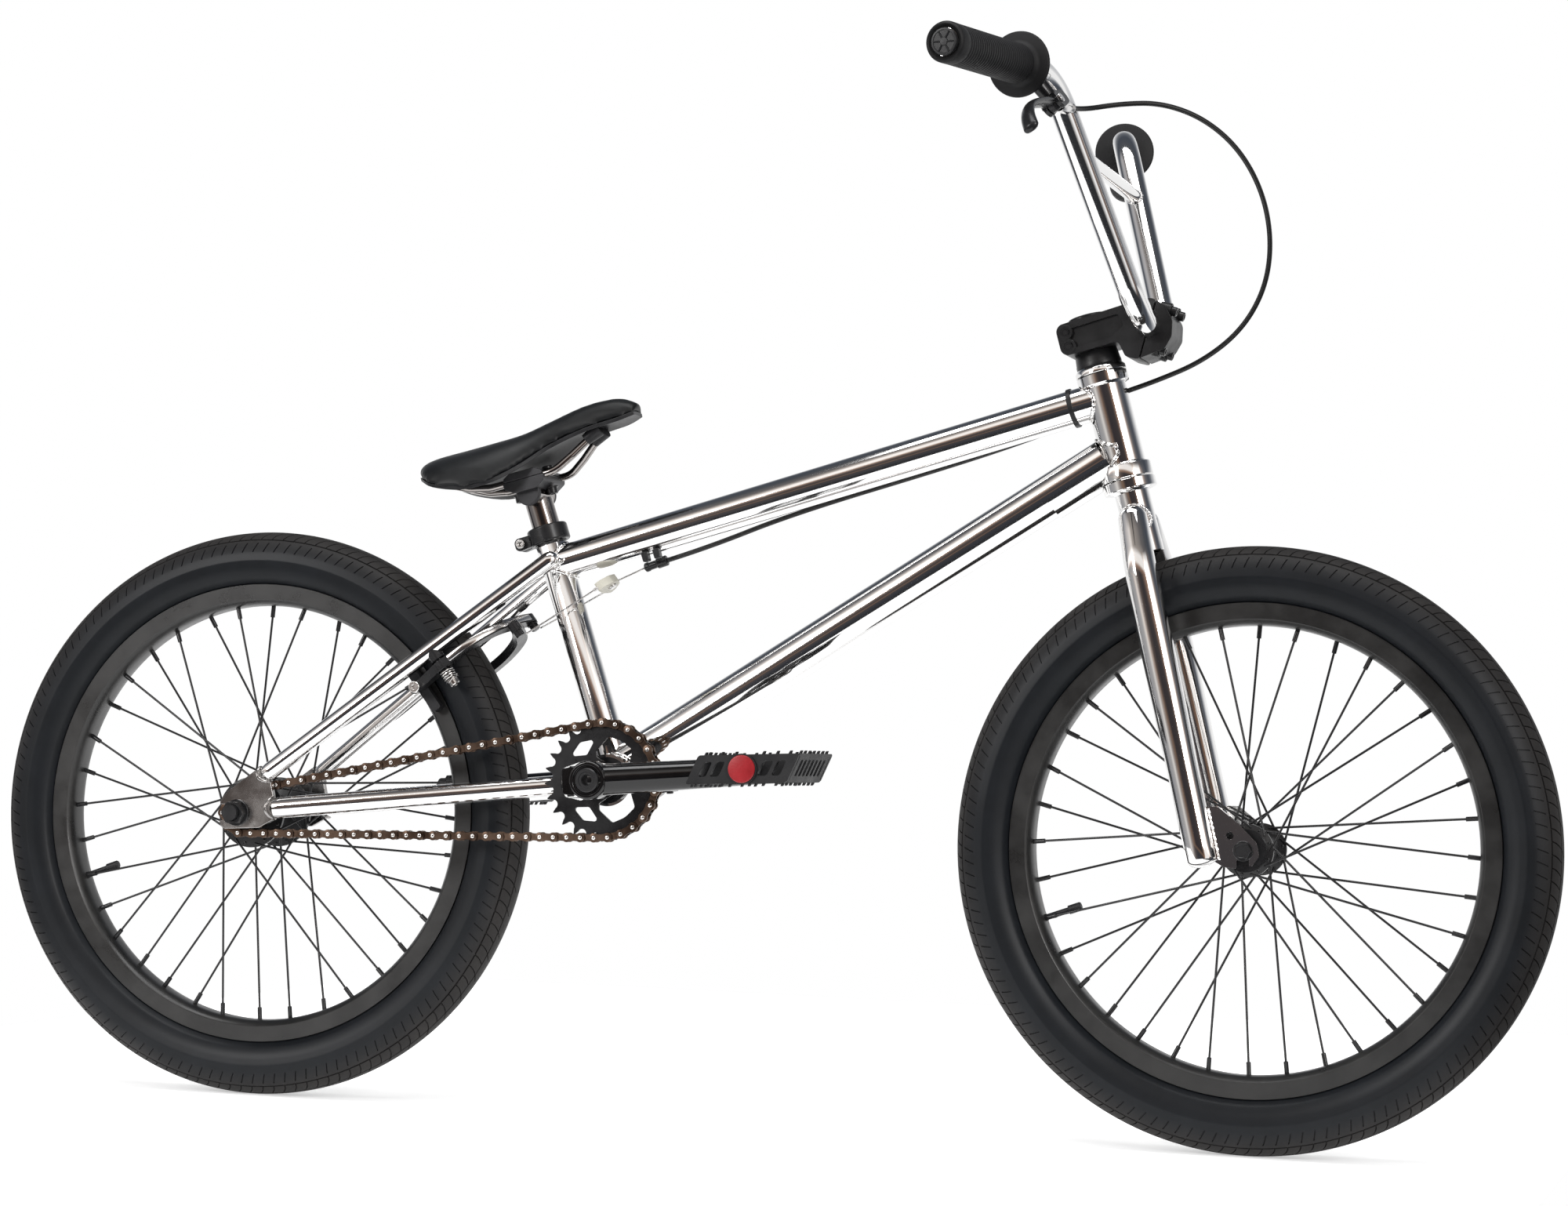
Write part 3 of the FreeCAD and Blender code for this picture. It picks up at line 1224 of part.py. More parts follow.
def build_grips():
    grips = []
    plugs = []
    for side in (-1, 1):
        end = mm["bar_half_span"]
        inner = end - mm["grip_len"]
        mark = str(side + 1)
        start = grip_point(side, inner)
        finish = grip_point(side, end + 2)
        flange_end = start + grip_way(side) * mm["grip_flange_thick"]
        sleeve = rod("GripSleeve" + mark, start, finish, "grip_rad")
        flange = rod("GripFlange" + mark, start, flange_end, "grip_flange_rad")
        bore = rod("GripBore" + mark, start - grip_way(side) * 5, finish + grip_way(side) * 5, "bar_rad")
        grips.append(cut("Grip" + mark, fuse("GripWhole" + mark, sleeve, flange), bore))
        plug_in = grip_point(side, end - 18)
        bar_end = grip_point(side, end)
        shank = rod("PlugShank" + mark, plug_in, bar_end, "bar_rad - bar_wall")
        head = rod("PlugHead" + mark, bar_end, bar_end + grip_way(side) * 3.5, "bar_rad")
        plugs.append(fuse("Plug" + mark, shank, head))
    node(group("Grips", *grips), "grips")
    node(group("BarPlugs", *plugs), "bar_plugs")


# ---------------------------------------------------------------- brake lever

LEVER_ROOT = grip_point(-1, 200)
LEVER_OUT = grip_way(-1)
LEVER_DOWN = Vector(0.57, 0, -0.82)
LEVER_DOWN = (LEVER_DOWN - LEVER_OUT * LEVER_DOWN.dot(LEVER_OUT)).normalize()
LEVER_AXIS = LEVER_OUT.cross(LEVER_DOWN)
LEVER_PLACE = Placement(LEVER_ROOT, Rotation(LEVER_OUT, LEVER_DOWN, LEVER_AXIS, "ZXY"))


def lever_point(out, down, across=0.0):
    """Point out along the bar, down from it and across the lever."""
    return LEVER_ROOT + LEVER_OUT * out + LEVER_DOWN * down + LEVER_AXIS * across


def build_lever_perch():
    """Bar clamp, the arm that carries the lever's pivot, and the cable's barrel adjuster."""
    ring = rod("PerchRing", lever_point(-7, 0), lever_point(7, 0), "16")
    neck = slab("PerchNeck", Vector(-9, 10, -6), 16, 14, 12, LEVER_PLACE)
    low = slab("PerchLow", Vector(-30, 22, -8), 34, 15, 16, LEVER_PLACE)
    nose = rod("PerchNose", lever_point(-37, 36), lever_point(-22, 36), "6")
    ear = rod("PerchEar", lever_point(-6, 37, -8), lever_point(-6, 37, 8), "8")
    barrel = rod("PerchBarrel", lever_point(-46, 36), lever_point(-37, 36), "4.5")
    whole = fuse("PerchWhole", ring, neck, low, nose, ear, barrel)
    bore = doc.getObject("BarSolid")
    gap = slab("PerchGap", Vector(-24, 27, -4.5), 50, 24, 9, LEVER_PLACE)
    pin_hole = rod("PerchPinHole", lever_point(-6, 37, -12), lever_point(-6, 37, 12), "2.5")
    cable_hole = rod("PerchCableHole", lever_point(-60, 36), lever_point(-22, 36), "housing_rad + 0.1")
    perch = cut("Perch", whole, bore, gap, pin_hole, cable_hole)
    pin = rod("PerchPin", lever_point(-6, 37, -9.5), lever_point(-6, 37, 9.5), "2.45")
    node(group("LeverPerch", perch, pin), "lever_perch")


def build_lever():
    """Curved blade for two fingers that swings on the perch's pin."""
    spine = [Vector(-6, 37, 0), Vector(14, 39, 0), Vector(40, 44, 0), Vector(60, 51, 0),
             Vector(76, 62, 0), Vector(86, 76, 0)]
    blade = plain("LeverBlade", capsule_strap(spine, 4.4, -4.2, 8.4))
    blade.Placement = LEVER_PLACE
    eye = rod("LeverEye", lever_point(-6, 37, -4.2), lever_point(-6, 37, 4.2), "7")
    hole = rod("LeverHole", lever_point(-6, 37, -6), lever_point(-6, 37, 6), "2.5")
    node(cut("BrakeLever", fuse("LeverWhole", blade, eye), hole), "brake_lever")


# ---------------------------------------------------------------- rear brake

STAY_WAY = Vector(0.783, 0, 0.622).normalize()
BRAKE_FORE = Vector(STAY_WAY.z, 0, -STAY_WAY.x)
BRAKE_PLACE = Placement(REAR_AXLE, Rotation(STAY_WAY, SIDE, BRAKE_FORE * -1, "ZXY"))


def brake_point(along, fore, side):
    """Point along the stays from the rear axle, forward of them, and sideways."""
    return REAR_AXLE + STAY_WAY * along + BRAKE_FORE * fore + SIDE * side


def brake_arm(side, low, pad_fore):
    """Arm that pivots on its stay, reaches over the tyre and carries a pad at its lower end."""
    name = "ArmLeft" if side > 0 else "ArmRight"
    pivot = mm["brake_pivot_half"]
    spine = [Vector(203, side * 33, 0), Vector(mm["brake_pivot_u"], side * pivot, 0),
             Vector(262, side * 38.5, 0), Vector(286, side * 22, 0), Vector(298, side * -4, 0),
             Vector(304, side * -27, 0)]
    strap = plain(name + "Strap", capsule_strap(spine, mm["arm_half_wid"], -low - mm["arm_thick"],
                                                mm["arm_thick"]))
    strap.Placement = BRAKE_PLACE
    boss_start = brake_point(mm["brake_pivot_u"], low, side * pivot)
    boss_end = brake_point(mm["brake_pivot_u"], low + mm["arm_thick"], side * pivot)
    boss = rod(name + "Boss", boss_start, boss_end, "8.5")
    hole = rod(name + "Hole", boss_start - BRAKE_FORE * 5, boss_end + BRAKE_FORE * 5,
               "brake_stud_rad + running_gap")
    mid = low + mm["arm_thick"] / 2
    holder = rod(name + "Holder", brake_point(200, mid, side * 25), brake_point(200, mid, side * 43), "3.6")
    plane = Placement(brake_point(200, pad_fore, 0), BRAKE_PLACE.Rotation)
    low_y = 18.3 if side > 0 else -26.3
    shoe = slab(name + "Shoe", Vector(-4.5, low_y, -25), 9, 8, 50, plane)
    anchor_fore = low + mm["arm_thick"]
    anchor = rod(name + "Anchor", brake_point(304, anchor_fore, side * -27),
                 brake_point(304, anchor_fore + 7, side * -27), "4")
    return cut(name, fuse(name + "Whole", strap, boss, holder, shoe, anchor), hole)


def build_brake():
    node(brake_arm(-1, 4, 8), "brake_arm_right")
    node(brake_arm(1, 14, 8), "brake_arm_left")
    studs = []
    hardware = []
    for side in (-1, 1):
        mark = str(side + 1)
        pivot = side * mm["brake_pivot_half"]
        root = brake_point(mm["brake_pivot_u"], -9.6, pivot)
        shoulder = brake_point(mm["brake_pivot_u"], 1.5, pivot)
        tip = brake_point(mm["brake_pivot_u"], 23, pivot)
        stay = rod("StayAtStud" + mark, Vector(SEATSTAY_TOP.x, side * STAY_TOP_HALF, SEATSTAY_TOP.z),
                   Vector(SEATSTAY_LOW.x, side * STAY_LOW_HALF, SEATSTAY_LOW.z), "seatstay_rad")
        base = rod("StudBase" + mark, root, shoulder, "7.5")
        post = rod("StudPost" + mark, shoulder, tip, "brake_stud_rad")
        studs.append(cut("Stud" + mark, fuse("StudWhole" + mark, base, post), stay))
        start = tip + BRAKE_FORE * 0.2
        washer = rod("StudWasher" + mark, start, start + BRAKE_FORE * 1.6, "7")
        head = rod("StudHead" + mark, start + BRAKE_FORE * 1.6, start + BRAKE_FORE * 6.5, "5")
        hardware.append(fuse("StudBolt" + mark, washer, head))
        spring_low = 12.4 if side < 0 else 4.2
        spring_high = 22.6 if side < 0 else 13.6
        spring = rod("Spring" + mark, brake_point(mm["brake_pivot_u"], spring_low, pivot),
                     brake_point(mm["brake_pivot_u"], spring_high, pivot), "6.8")
        spring_bore = rod("SpringBore" + mark, brake_point(mm["brake_pivot_u"], 0, pivot),
                          brake_point(mm["brake_pivot_u"], 24, pivot), "5.4")
        hardware.append(cut("SpringRing" + mark, spring, spring_bore))
    node(group("BrakeStuds", *studs), "brake_studs")
    node(group("BrakeHardware", *hardware), "brake_pivot_hardware")


# ---------------------------------------------------------------- cables

TOP_TUBE_DOWN = Vector(-TOP_TUBE_BACK.z, 0, TOP_TUBE_BACK.x)
STOP_BACK = Vector(-100, 10, 489)
STOP_FRONT = Vector(-79, 10, 496.5)
YOKE = Vector(-128, 0, 474)


def under_tube(back, side, down):
    """Point beside the top tube, measured back from the head tube."""
    return TOP_TUBE_HEAD + TOP_TUBE_BACK * back + SIDE * side + TOP_TUBE_DOWN * down


def build_cables():
    lever_end = lever_point(-40, 36)
    loop = [lever_end, lever_point(-62, 36), Vector(349, -112, 877), Vector(379, -89, 881),
            Vector(411, -68, 871), Vector(438, -46, 848), Vector(455, -22, 814), Vector(460, -3, 775),
            Vector(453, 11, 737), Vector(432, 21, 703), Vector(398, 27, 677), Vector(358, 28, 660)]
    along_tube = [Vector(318, 27, 646), under_tube(31, 17.2, 8), under_tube(80, 13.5, 13),
                  under_tube(150, 10, 15.7), under_tube(300, 10, 15.9), Vector(-43, 10, 507.5),
                  STOP_FRONT + (STOP_BACK - STOP_FRONT).normalize() * 4]
    path, tightest = rounded_path(loop + along_tube)
    housing = swept(path, lever_end, (loop[1] - loop[0]).normalize(), mm["housing_rad"])
    area = math.pi * mm["housing_rad"] ** 2
    print("housing length %.1f, volume over section %.1f, tightest radius %.1f"
          % (path.Length, housing.Volume / area, tightest))
    node(plain("Housing", housing), "cable_housing")
    way = (STOP_BACK - STOP_FRONT).normalize()
    stop = rod("StopBarrel", STOP_FRONT, STOP_BACK, "4.6")
    tube_turn = Rotation(TOP_TUBE_BACK * -1, SIDE, TOP_TUBE_DOWN * -1, "XZY")
    block = slab("StopBlock", Vector(-8, 5, -mm["top_tube_rad"] - 10), 16, 6, 12,
                 Placement(under_tube(430, 0, 0), tube_turn))
    bore = rod("StopBore", STOP_FRONT - way * 3, STOP_FRONT + way * 6, "housing_rad + 0.1")
    wire_bore = rod("StopWireBore", STOP_FRONT, STOP_BACK + way * 3, "wire_rad + 1.2")
    tube = rod("StopAtTube", TOP_TUBE_HEAD, TOP_TUBE_SEAT, "top_tube_rad")
    housing_room = doc.getObject("Housing")
    whole = fuse("StopWhole", stop, block)
    node(cut("CableStop", whole, bore, wire_bore, tube, housing_room), "cable_stop")
    wires = []
    ends = [brake_point(304, 16, 27), brake_point(304, 26, -27)]
    corners = [YOKE + Vector(-6, 15, -4), YOKE + Vector(-6, -15, -4)]
    for number, (end, corner) in enumerate(zip(ends, corners)):
        start = end + (corner - end).normalize() * 4.8
        wires.append(rod("StraddleWire%d" % number, start, corner, "wire_rad"))
    wires.append(rod("BrakeWire", YOKE + (STOP_BACK - YOKE).normalize() * 5, STOP_BACK + way * 0.5,
                     "wire_rad"))
    plate = slab("YokePlate", Vector(-9, -16, -6), 12, 32, 8,
                 Placement(YOKE, Rotation(STAY_WAY, SIDE, BRAKE_FORE * -1, "ZXY")))
    wires.append(plate)
    node(group("StraddleCable", *wires), "straddle_cable")
    band = under_tube(31, 0, 0)
    start = band - TOP_TUBE_BACK * 2
    end = band + TOP_TUBE_BACK * 2
    belt = rod("TieBelt", start, end, "top_tube_rad + 1.5")
    hug_centre = SIDE * 17.2 + TOP_TUBE_DOWN * 8
    hug = rod("TieHug", start + hug_centre, end + hug_centre, "housing_rad + 2")
    inside = rod("TieInside", start - TOP_TUBE_BACK, end + TOP_TUBE_BACK, "top_tube_rad")
    node(cut("ZipTie", fuse("TieWhole", belt, hug), inside, doc.getObject("Housing")), "zip_ties")


# ---------------------------------------------------------------- seat

SADDLE_ROOT = Vector(-204, 0, 561)
saddle_tilt = math.radians(mm["saddle_tilt_deg"])
SADDLE_FORE = Vector(math.cos(saddle_tilt), 0, math.sin(saddle_tilt))
SADDLE_UP = Vector(-math.sin(saddle_tilt), 0, math.cos(saddle_tilt))
SADDLE_PLACE = Placement(SADDLE_ROOT, Rotation(SADDLE_FORE, SIDE, SADDLE_UP, "ZXY"))

# Stations from tail to nose: distance forward, half width, and the heights of the side edges,
# of the underside's middle and of the crown.
SADDLE_STATIONS = [
    (-97, 24, 34, 32, 40), (-91, 44, 26, 27, 45), (-76, 61, 14, 25, 47), (-48, 67, 3, 24, 47),
    (-20, 61, 3, 25, 47.5), (5, 42, 13, 28, 49), (30, 29, 25, 33, 54), (65, 23, 33, 37, 60),
    (94, 20, 35, 37, 59), (110, 14, 38, 39, 52), (116, 7, 41, 41, 46)]


def saddle_section(fore, half_width, edge, middle, crown):
    """Arched section with a domed top and a hollow underside."""
    right = Vector(fore, -half_width, edge)
    left = Vector(fore, half_width, edge)
    shoulder = edge + (crown - edge) * 0.6
    dome = Part.BSplineCurve()
    dome.interpolate([left, Vector(fore, half_width * 0.97, shoulder),
                      Vector(fore, half_width * 0.6, crown - (crown - edge) * 0.08),
                      Vector(fore, 0, crown),
                      Vector(fore, -half_width * 0.6, crown - (crown - edge) * 0.08),
                      Vector(fore, -half_width * 0.97, shoulder), right])
    under = Part.BSplineCurve()
    haunch = (edge + 2 * middle) / 3
    under.interpolate([right, Vector(fore, -half_width * 0.6, haunch), Vector(fore, 0, middle),
                       Vector(fore, half_width * 0.6, haunch), left])
    return Part.Wire([dome.toShape(), under.toShape()])


def plate_section(fore, half_width, edge, middle, crown):
    """Thin flat section of the plastic shell under the padding."""
    spread = half_width * 0.45
    top = (edge + 3 * middle) / 4 - 0.6
    points = [Vector(fore, -spread, top - 3), Vector(fore, spread, top - 3), Vector(fore, spread, top),
              Vector(fore, -spread, top), Vector(fore, -spread, top - 3)]
    return Part.makePolygon(points)


def saddle_rail(side):
    gap = side * mm["rail_half_gap"]
    points = [Vector(69, side * 8, 30.5), Vector(46, side * 17, 15), Vector(29, gap, 5), Vector(-33, gap, 5),
              Vector(-52, gap * 1.15, 9), Vector(-70, gap * 1.2, 17)]
    path, _ = rounded_path(points)
    rail = swept(path, points[0], (points[1] - points[0]).normalize(), mm["rail_rad"])
    return rail


def build_seat():
    insert = SEAT_TOP - SEAT_UP * mm["post_insert"]
    head = SEAT_TOP + SEAT_UP * mm["post_show"]
    tube = pipe("PostTube", insert, head, "post_rad", "post_rad - post_wall")
    knuckle = rod("PostKnuckle", SADDLE_ROOT - SADDLE_UP * 8 - SIDE * 19,
                  SADDLE_ROOT - SADDLE_UP * 8 + SIDE * 19, "11")
    node(fuse("Seatpost", tube, knuckle), "seatpost")
    lower = slab("ClampLower", Vector(-19, -28, -6), 38, 56, 11, SADDLE_PLACE)
    upper = slab("ClampUpper", Vector(-19, -28, 5.4), 38, 56, 7, SADDLE_PLACE)
    seat_room = rod("KnuckleRoom", SADDLE_ROOT - SADDLE_UP * 8 - SIDE * 40,
                    SADDLE_ROOT - SADDLE_UP * 8 + SIDE * 40, "11.3")
    grooves = []
    for side in (-1, 1):
        gap = side * mm["rail_half_gap"]
        start = SADDLE_PLACE.multVec(Vector(-40, gap, 5))
        end = SADDLE_PLACE.multVec(Vector(40, gap, 5))
        grooves.append(rod("RailGroove%d" % (side + 1), start, end, "rail_rad + 0.05"))
    bolts = []
    for fore in (-15.5, 15.5):
        low = SADDLE_PLACE.multVec(Vector(fore, 0, -5.8))
        high = SADDLE_PLACE.multVec(Vector(fore, 0, 14.8))
        grooves.append(rod("ClampBoltHole%d" % (fore + 15.5), low, high, "3"))
        shank = rod("ClampBoltShank%d" % (fore + 15.5), low, high, "2.9")
        cap = SADDLE_PLACE.multVec(Vector(fore, 0, 12.6))
        top = rod("ClampBoltHead%d" % (fore + 15.5), cap, high, "5")
        bolts.append(fuse("ClampBolt%d" % (fore + 15.5), shank, top))
    body = group("ClampBlocks", lower, upper)
    bored = cut("ClampBored", body, seat_room, *grooves)
    node(group("SaddleClamp", bored, *bolts), "saddle_clamp")
    rails = plain("Rails", Part.makeCompound([saddle_rail(-1), saddle_rail(1)]))
    rails.Placement = SADDLE_PLACE
    base_wires = [plate_section(*station) for station in SADDLE_STATIONS[2:-2]]
    base = plain("SaddleBaseSolid", Part.makeLoft(base_wires, True, False))
    base.Placement = SADDLE_PLACE
    node(cut("SaddleBase", base, rails), "saddle_base")
    node(rails, "saddle_rails")
    wires = [saddle_section(*station) for station in SADDLE_STATIONS]
    cushion = plain("Cushion", Part.makeLoft(wires, True, False))
    cushion.Placement = SADDLE_PLACE
    node(cushion, "saddle_cushion")


# ---------------------------------------------------------------- assembly

build_head_tube()
build_headset()
build_main_tubes()
build_gusset()
build_rear_triangle()
build_seat_clamp()
for wheel, middle in (("rear", REAR_AXLE), ("front", FRONT_AXLE)):
    build_tyre(wheel + "_tyre", middle)
    build_rim(wheel + "_rim", middle)
    build_spokes(wheel + "_spokes", middle, wheel + "_spoke_circle", wheel + "_flange_half")
    build_hub(wheel, middle)
build_axle("rear", REAR_AXLE, mm["dropout_half"] + mm["dropout_thick"], "12", 11)
build_axle("front", FRONT_AXLE, mm["fork_drop_half"] + mm["fork_drop_thick"], "8.5", 7.6)
build_sprocket()
build_driver()
build_chain()
build_cranks()
build_pedals()
build_fork()
build_stem()
build_bar()
build_grips()
build_lever_perch()
build_lever()
build_brake()
build_cables()
build_seat()

doc.recompute()

for thing in doc.Objects:
    if "Invalid" in thing.State or "Error" in thing.State:
        raise RuntimeError("%s did not build: %s" % (thing.Name, thing.State))

os.makedirs("parts", exist_ok=True)
for part in NODES:
    if part.Shape.isNull() or not part.Shape.isValid():
        raise RuntimeError("%s has no valid shape" % part.Label)
    part.Shape.exportStep("parts/%s.step" % part.Label)
print("%d sub-parts written" % len(NODES))
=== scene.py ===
import math

import bmesh
import bpy
from mathutils import Matrix, Quaternion, Vector


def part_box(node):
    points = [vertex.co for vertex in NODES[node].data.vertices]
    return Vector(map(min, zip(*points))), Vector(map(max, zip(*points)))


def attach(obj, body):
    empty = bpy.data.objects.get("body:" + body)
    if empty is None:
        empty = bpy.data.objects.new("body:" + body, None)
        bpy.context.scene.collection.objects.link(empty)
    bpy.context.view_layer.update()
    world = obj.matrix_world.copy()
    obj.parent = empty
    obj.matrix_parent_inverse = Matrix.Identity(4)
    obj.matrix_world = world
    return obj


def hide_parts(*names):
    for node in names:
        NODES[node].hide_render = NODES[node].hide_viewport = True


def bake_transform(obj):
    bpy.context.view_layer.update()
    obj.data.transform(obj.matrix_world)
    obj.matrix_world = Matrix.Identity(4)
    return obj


# Looks of a twenty-inch BMX bike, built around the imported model. Metres, +X forward, +Y the rider's
# left, +Z up, with the origin on the ground halfway between the axles.

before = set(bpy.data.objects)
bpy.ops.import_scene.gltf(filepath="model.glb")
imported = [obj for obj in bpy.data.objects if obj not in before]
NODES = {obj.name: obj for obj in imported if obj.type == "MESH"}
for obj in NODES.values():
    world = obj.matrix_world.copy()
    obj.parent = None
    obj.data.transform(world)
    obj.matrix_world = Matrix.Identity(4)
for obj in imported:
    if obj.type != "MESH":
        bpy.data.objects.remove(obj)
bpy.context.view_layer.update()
scene = bpy.context.scene

MM = 0.001


# ---------------------------------------------------------------- material graph helper

class Graph:
    """Shader nodes of a material or a world."""

    tree = None

    def node(self, kind, **values):
        made = self.tree.nodes.new(kind)
        for key, value in values.items():
            setattr(made, key, value)
        return made

    def link(self, source, target):
        self.tree.links.new(source, target)

    def ramp(self, source, *stops):
        """Colours from a grey value; each stop is (position, colour)."""
        made = self.node("ShaderNodeValToRGB")
        bar = made.color_ramp
        while len(bar.elements) < len(stops):
            bar.elements.new(0.5)
        for element, (position, colour) in zip(bar.elements, stops):
            element.position = position
            element.color = (*colour, 1)
        self.link(source, made.inputs["Fac"])
        return made.outputs["Color"]


class Finish(Graph):
    """A Principled material and the nodes that feed it."""

    def __init__(self, name, **sockets):
        self.material = bpy.data.materials.new(name)
        self.material.use_nodes = True
        self.tree = self.material.node_tree
        self.shader = self.tree.nodes["Principled BSDF"]
        self.place = self.node("ShaderNodeTexCoord").outputs["Object"]
        for socket, value in sockets.items():
            self.shader.inputs[socket.replace("_", " ")].default_value = value

    def noise(self, scale, detail=4.0, rough=0.5):
        """Grey noise over the object."""
        made = self.node("ShaderNodeTexNoise")
        made.inputs["Scale"].default_value = scale
        made.inputs["Detail"].default_value = detail
        made.inputs["Roughness"].default_value = rough
        self.link(self.place, made.inputs["Vector"])
        return made.outputs["Fac"]

    def spread(self, source, low, high, start=0.35, end=0.65):
        """Map a grey value from start..end on to low..high."""
        made = self.node("ShaderNodeMapRange")
        for name, value in (("From Min", start), ("From Max", end), ("To Min", low), ("To Max", high)):
            made.inputs[name].default_value = value
        self.link(source, made.inputs["Value"])
        return made.outputs["Result"]

    def colour(self, output):
        self.link(output, self.shader.inputs["Base Color"])

    def rough(self, output):
        self.link(output, self.shader.inputs["Roughness"])

    def bump(self, height, distance, strength):
        made = self.node("ShaderNodeBump")
        made.inputs["Distance"].default_value = distance
        made.inputs["Strength"].default_value = strength
        self.link(height, made.inputs["Height"])
        self.link(made.outputs["Normal"], self.shader.inputs["Normal"])


def chrome(name, tint, low, high):
    """Plated metal with faint smudges and pits."""
    made = Finish(name, Metallic=1.0)
    smudge = made.noise(9.0, 6.0, 0.65)
    pits = made.noise(420.0, 2.0)
    made.colour(made.ramp(smudge, (0.3, [0.93 * c for c in tint]), (0.7, tint)))
    made.rough(made.spread(smudge, low, high, 0.4, 0.75))
    made.bump(pits, 0.00001, 0.15)
    return made.material


def painted(name, dark, light, low, high, grain=700.0, depth=0.00006, metal=0.0, shine=0.25):
    """Painted or anodised metal, or moulded plastic, with a fine grain."""
    made = Finish(name, Metallic=metal, Specular_IOR_Level=shine)
    cloud = made.noise(26.0, 5.0, 0.6)
    made.colour(made.ramp(cloud, (0.32, dark), (0.68, light)))
    made.rough(made.spread(cloud, low, high))
    made.bump(made.noise(grain, 3.0), depth, 0.6)
    return made.material


def tyre_rubber():
    """Blue-black sidewalls that turn brown-black and drier towards the tread."""
    made = Finish("tyre_rubber", Specular_IOR_Level=0.22)
    crown = made.node("ShaderNodeAttribute", attribute_name="crown").outputs["Fac"]
    cloud = made.noise(30.0, 5.0, 0.6)
    wall = made.ramp(cloud, (0.3, (0.0042, 0.0052, 0.0068)), (0.7, (0.0070, 0.0084, 0.0108)))
    tread = made.ramp(cloud, (0.3, (0.014, 0.013, 0.013)), (0.7, (0.023, 0.021, 0.020)))
    blend = made.node("ShaderNodeMix", data_type="RGBA")
    made.link(crown, blend.inputs["Factor"])
    made.link(wall, blend.inputs[6])
    made.link(tread, blend.inputs[7])
    made.colour(blend.outputs[2])
    made.rough(made.spread(crown, 0.42, 0.62, 0.0, 1.0))
    made.bump(made.noise(900.0, 3.0), 0.00008, 0.5)
    return made.material


CHROME = chrome("chrome", (0.84, 0.835, 0.83), 0.05, 0.11)
DARK_CHROME = chrome("dark_chrome", (0.30, 0.28, 0.27), 0.06, 0.15)
CAST_STEEL = painted("cast_steel", (0.24, 0.23, 0.225), (0.42, 0.41, 0.40), 0.17, 0.30, 260.0, 0.00008, 1.0)
BLACK_METAL = painted("black_metal", (0.008, 0.008, 0.009), (0.016, 0.016, 0.017), 0.2, 0.34, shine=0.35)
GLOSS_BLACK = painted("gloss_black", (0.002, 0.002, 0.0023), (0.004, 0.004, 0.0045), 0.07, 0.14, 500.0,
                      0.00002, shine=0.5)
STEM_BLACK = painted("stem_black", (0.006, 0.006, 0.0065), (0.013, 0.013, 0.014), 0.32, 0.45, shine=0.3)
RIM_BLACK = painted("rim_black", (0.010, 0.0098, 0.0097), (0.018, 0.0175, 0.017), 0.27, 0.4, shine=0.5)
CHAIN_BRONZE = painted("chain_bronze", (0.055, 0.034, 0.024), (0.12, 0.080, 0.058), 0.28, 0.42, 500.0,
                       0.00005, 0.9)
PIN_STEEL = painted("pin_steel", (0.62, 0.60, 0.58), (0.80, 0.78, 0.76), 0.16, 0.28, 600.0, 0.00003, 1.0)
DARK_STEEL = painted("dark_steel", (0.05, 0.048, 0.046), (0.10, 0.096, 0.092), 0.3, 0.45, 500.0, 0.00005, 0.9)
GRIP_RUBBER = painted("grip_rubber", (0.006, 0.006, 0.0065), (0.011, 0.011, 0.012), 0.52, 0.66, 1100.0,
                      0.00008)
BLACK_PLASTIC = painted("black_plastic", (0.011, 0.011, 0.012), (0.021, 0.021, 0.023), 0.34, 0.5, 800.0,
                        0.00006)
PEDAL_PLASTIC = painted("pedal_plastic", (0.010, 0.010, 0.011), (0.021, 0.021, 0.022), 0.42, 0.58, 900.0,
                        0.00007)
CAP_RED = painted("cap_red", (0.20, 0.006, 0.009), (0.34, 0.010, 0.016), 0.3, 0.42, 420.0, 0.0002, shine=0.4)
HOUSING = painted("housing", (0.009, 0.009, 0.009), (0.016, 0.016, 0.016), 0.22, 0.34, shine=0.4)
STEEL = painted("steel", (0.50, 0.49, 0.48), (0.66, 0.65, 0.64), 0.2, 0.34, 600.0, 0.00004, 1.0)
SADDLE_SKIN = painted("saddle_skin", (0.004, 0.0045, 0.005), (0.008, 0.009, 0.010), 0.38, 0.5, 1500.0,
                      0.00008)
CLAMP_GREY = painted("clamp_grey", (0.030, 0.030, 0.032), (0.055, 0.055, 0.058), 0.34, 0.48, 500.0, 0.00008,
                     0.6)
POLISHED = painted("polished_alloy", (0.62, 0.61, 0.60), (0.78, 0.77, 0.76), 0.12, 0.22, 500.0, 0.00003, 1.0)
LEVER_BLACK = painted("lever_black", (0.018, 0.018, 0.019), (0.034, 0.034, 0.036), 0.2, 0.32, 600.0, 0.00004,
                      0.5)
HANGER = painted("hanger_nylon", (0.42, 0.40, 0.34), (0.55, 0.53, 0.46), 0.3, 0.42, 500.0, 0.00005)
TYRE = tyre_rubber()

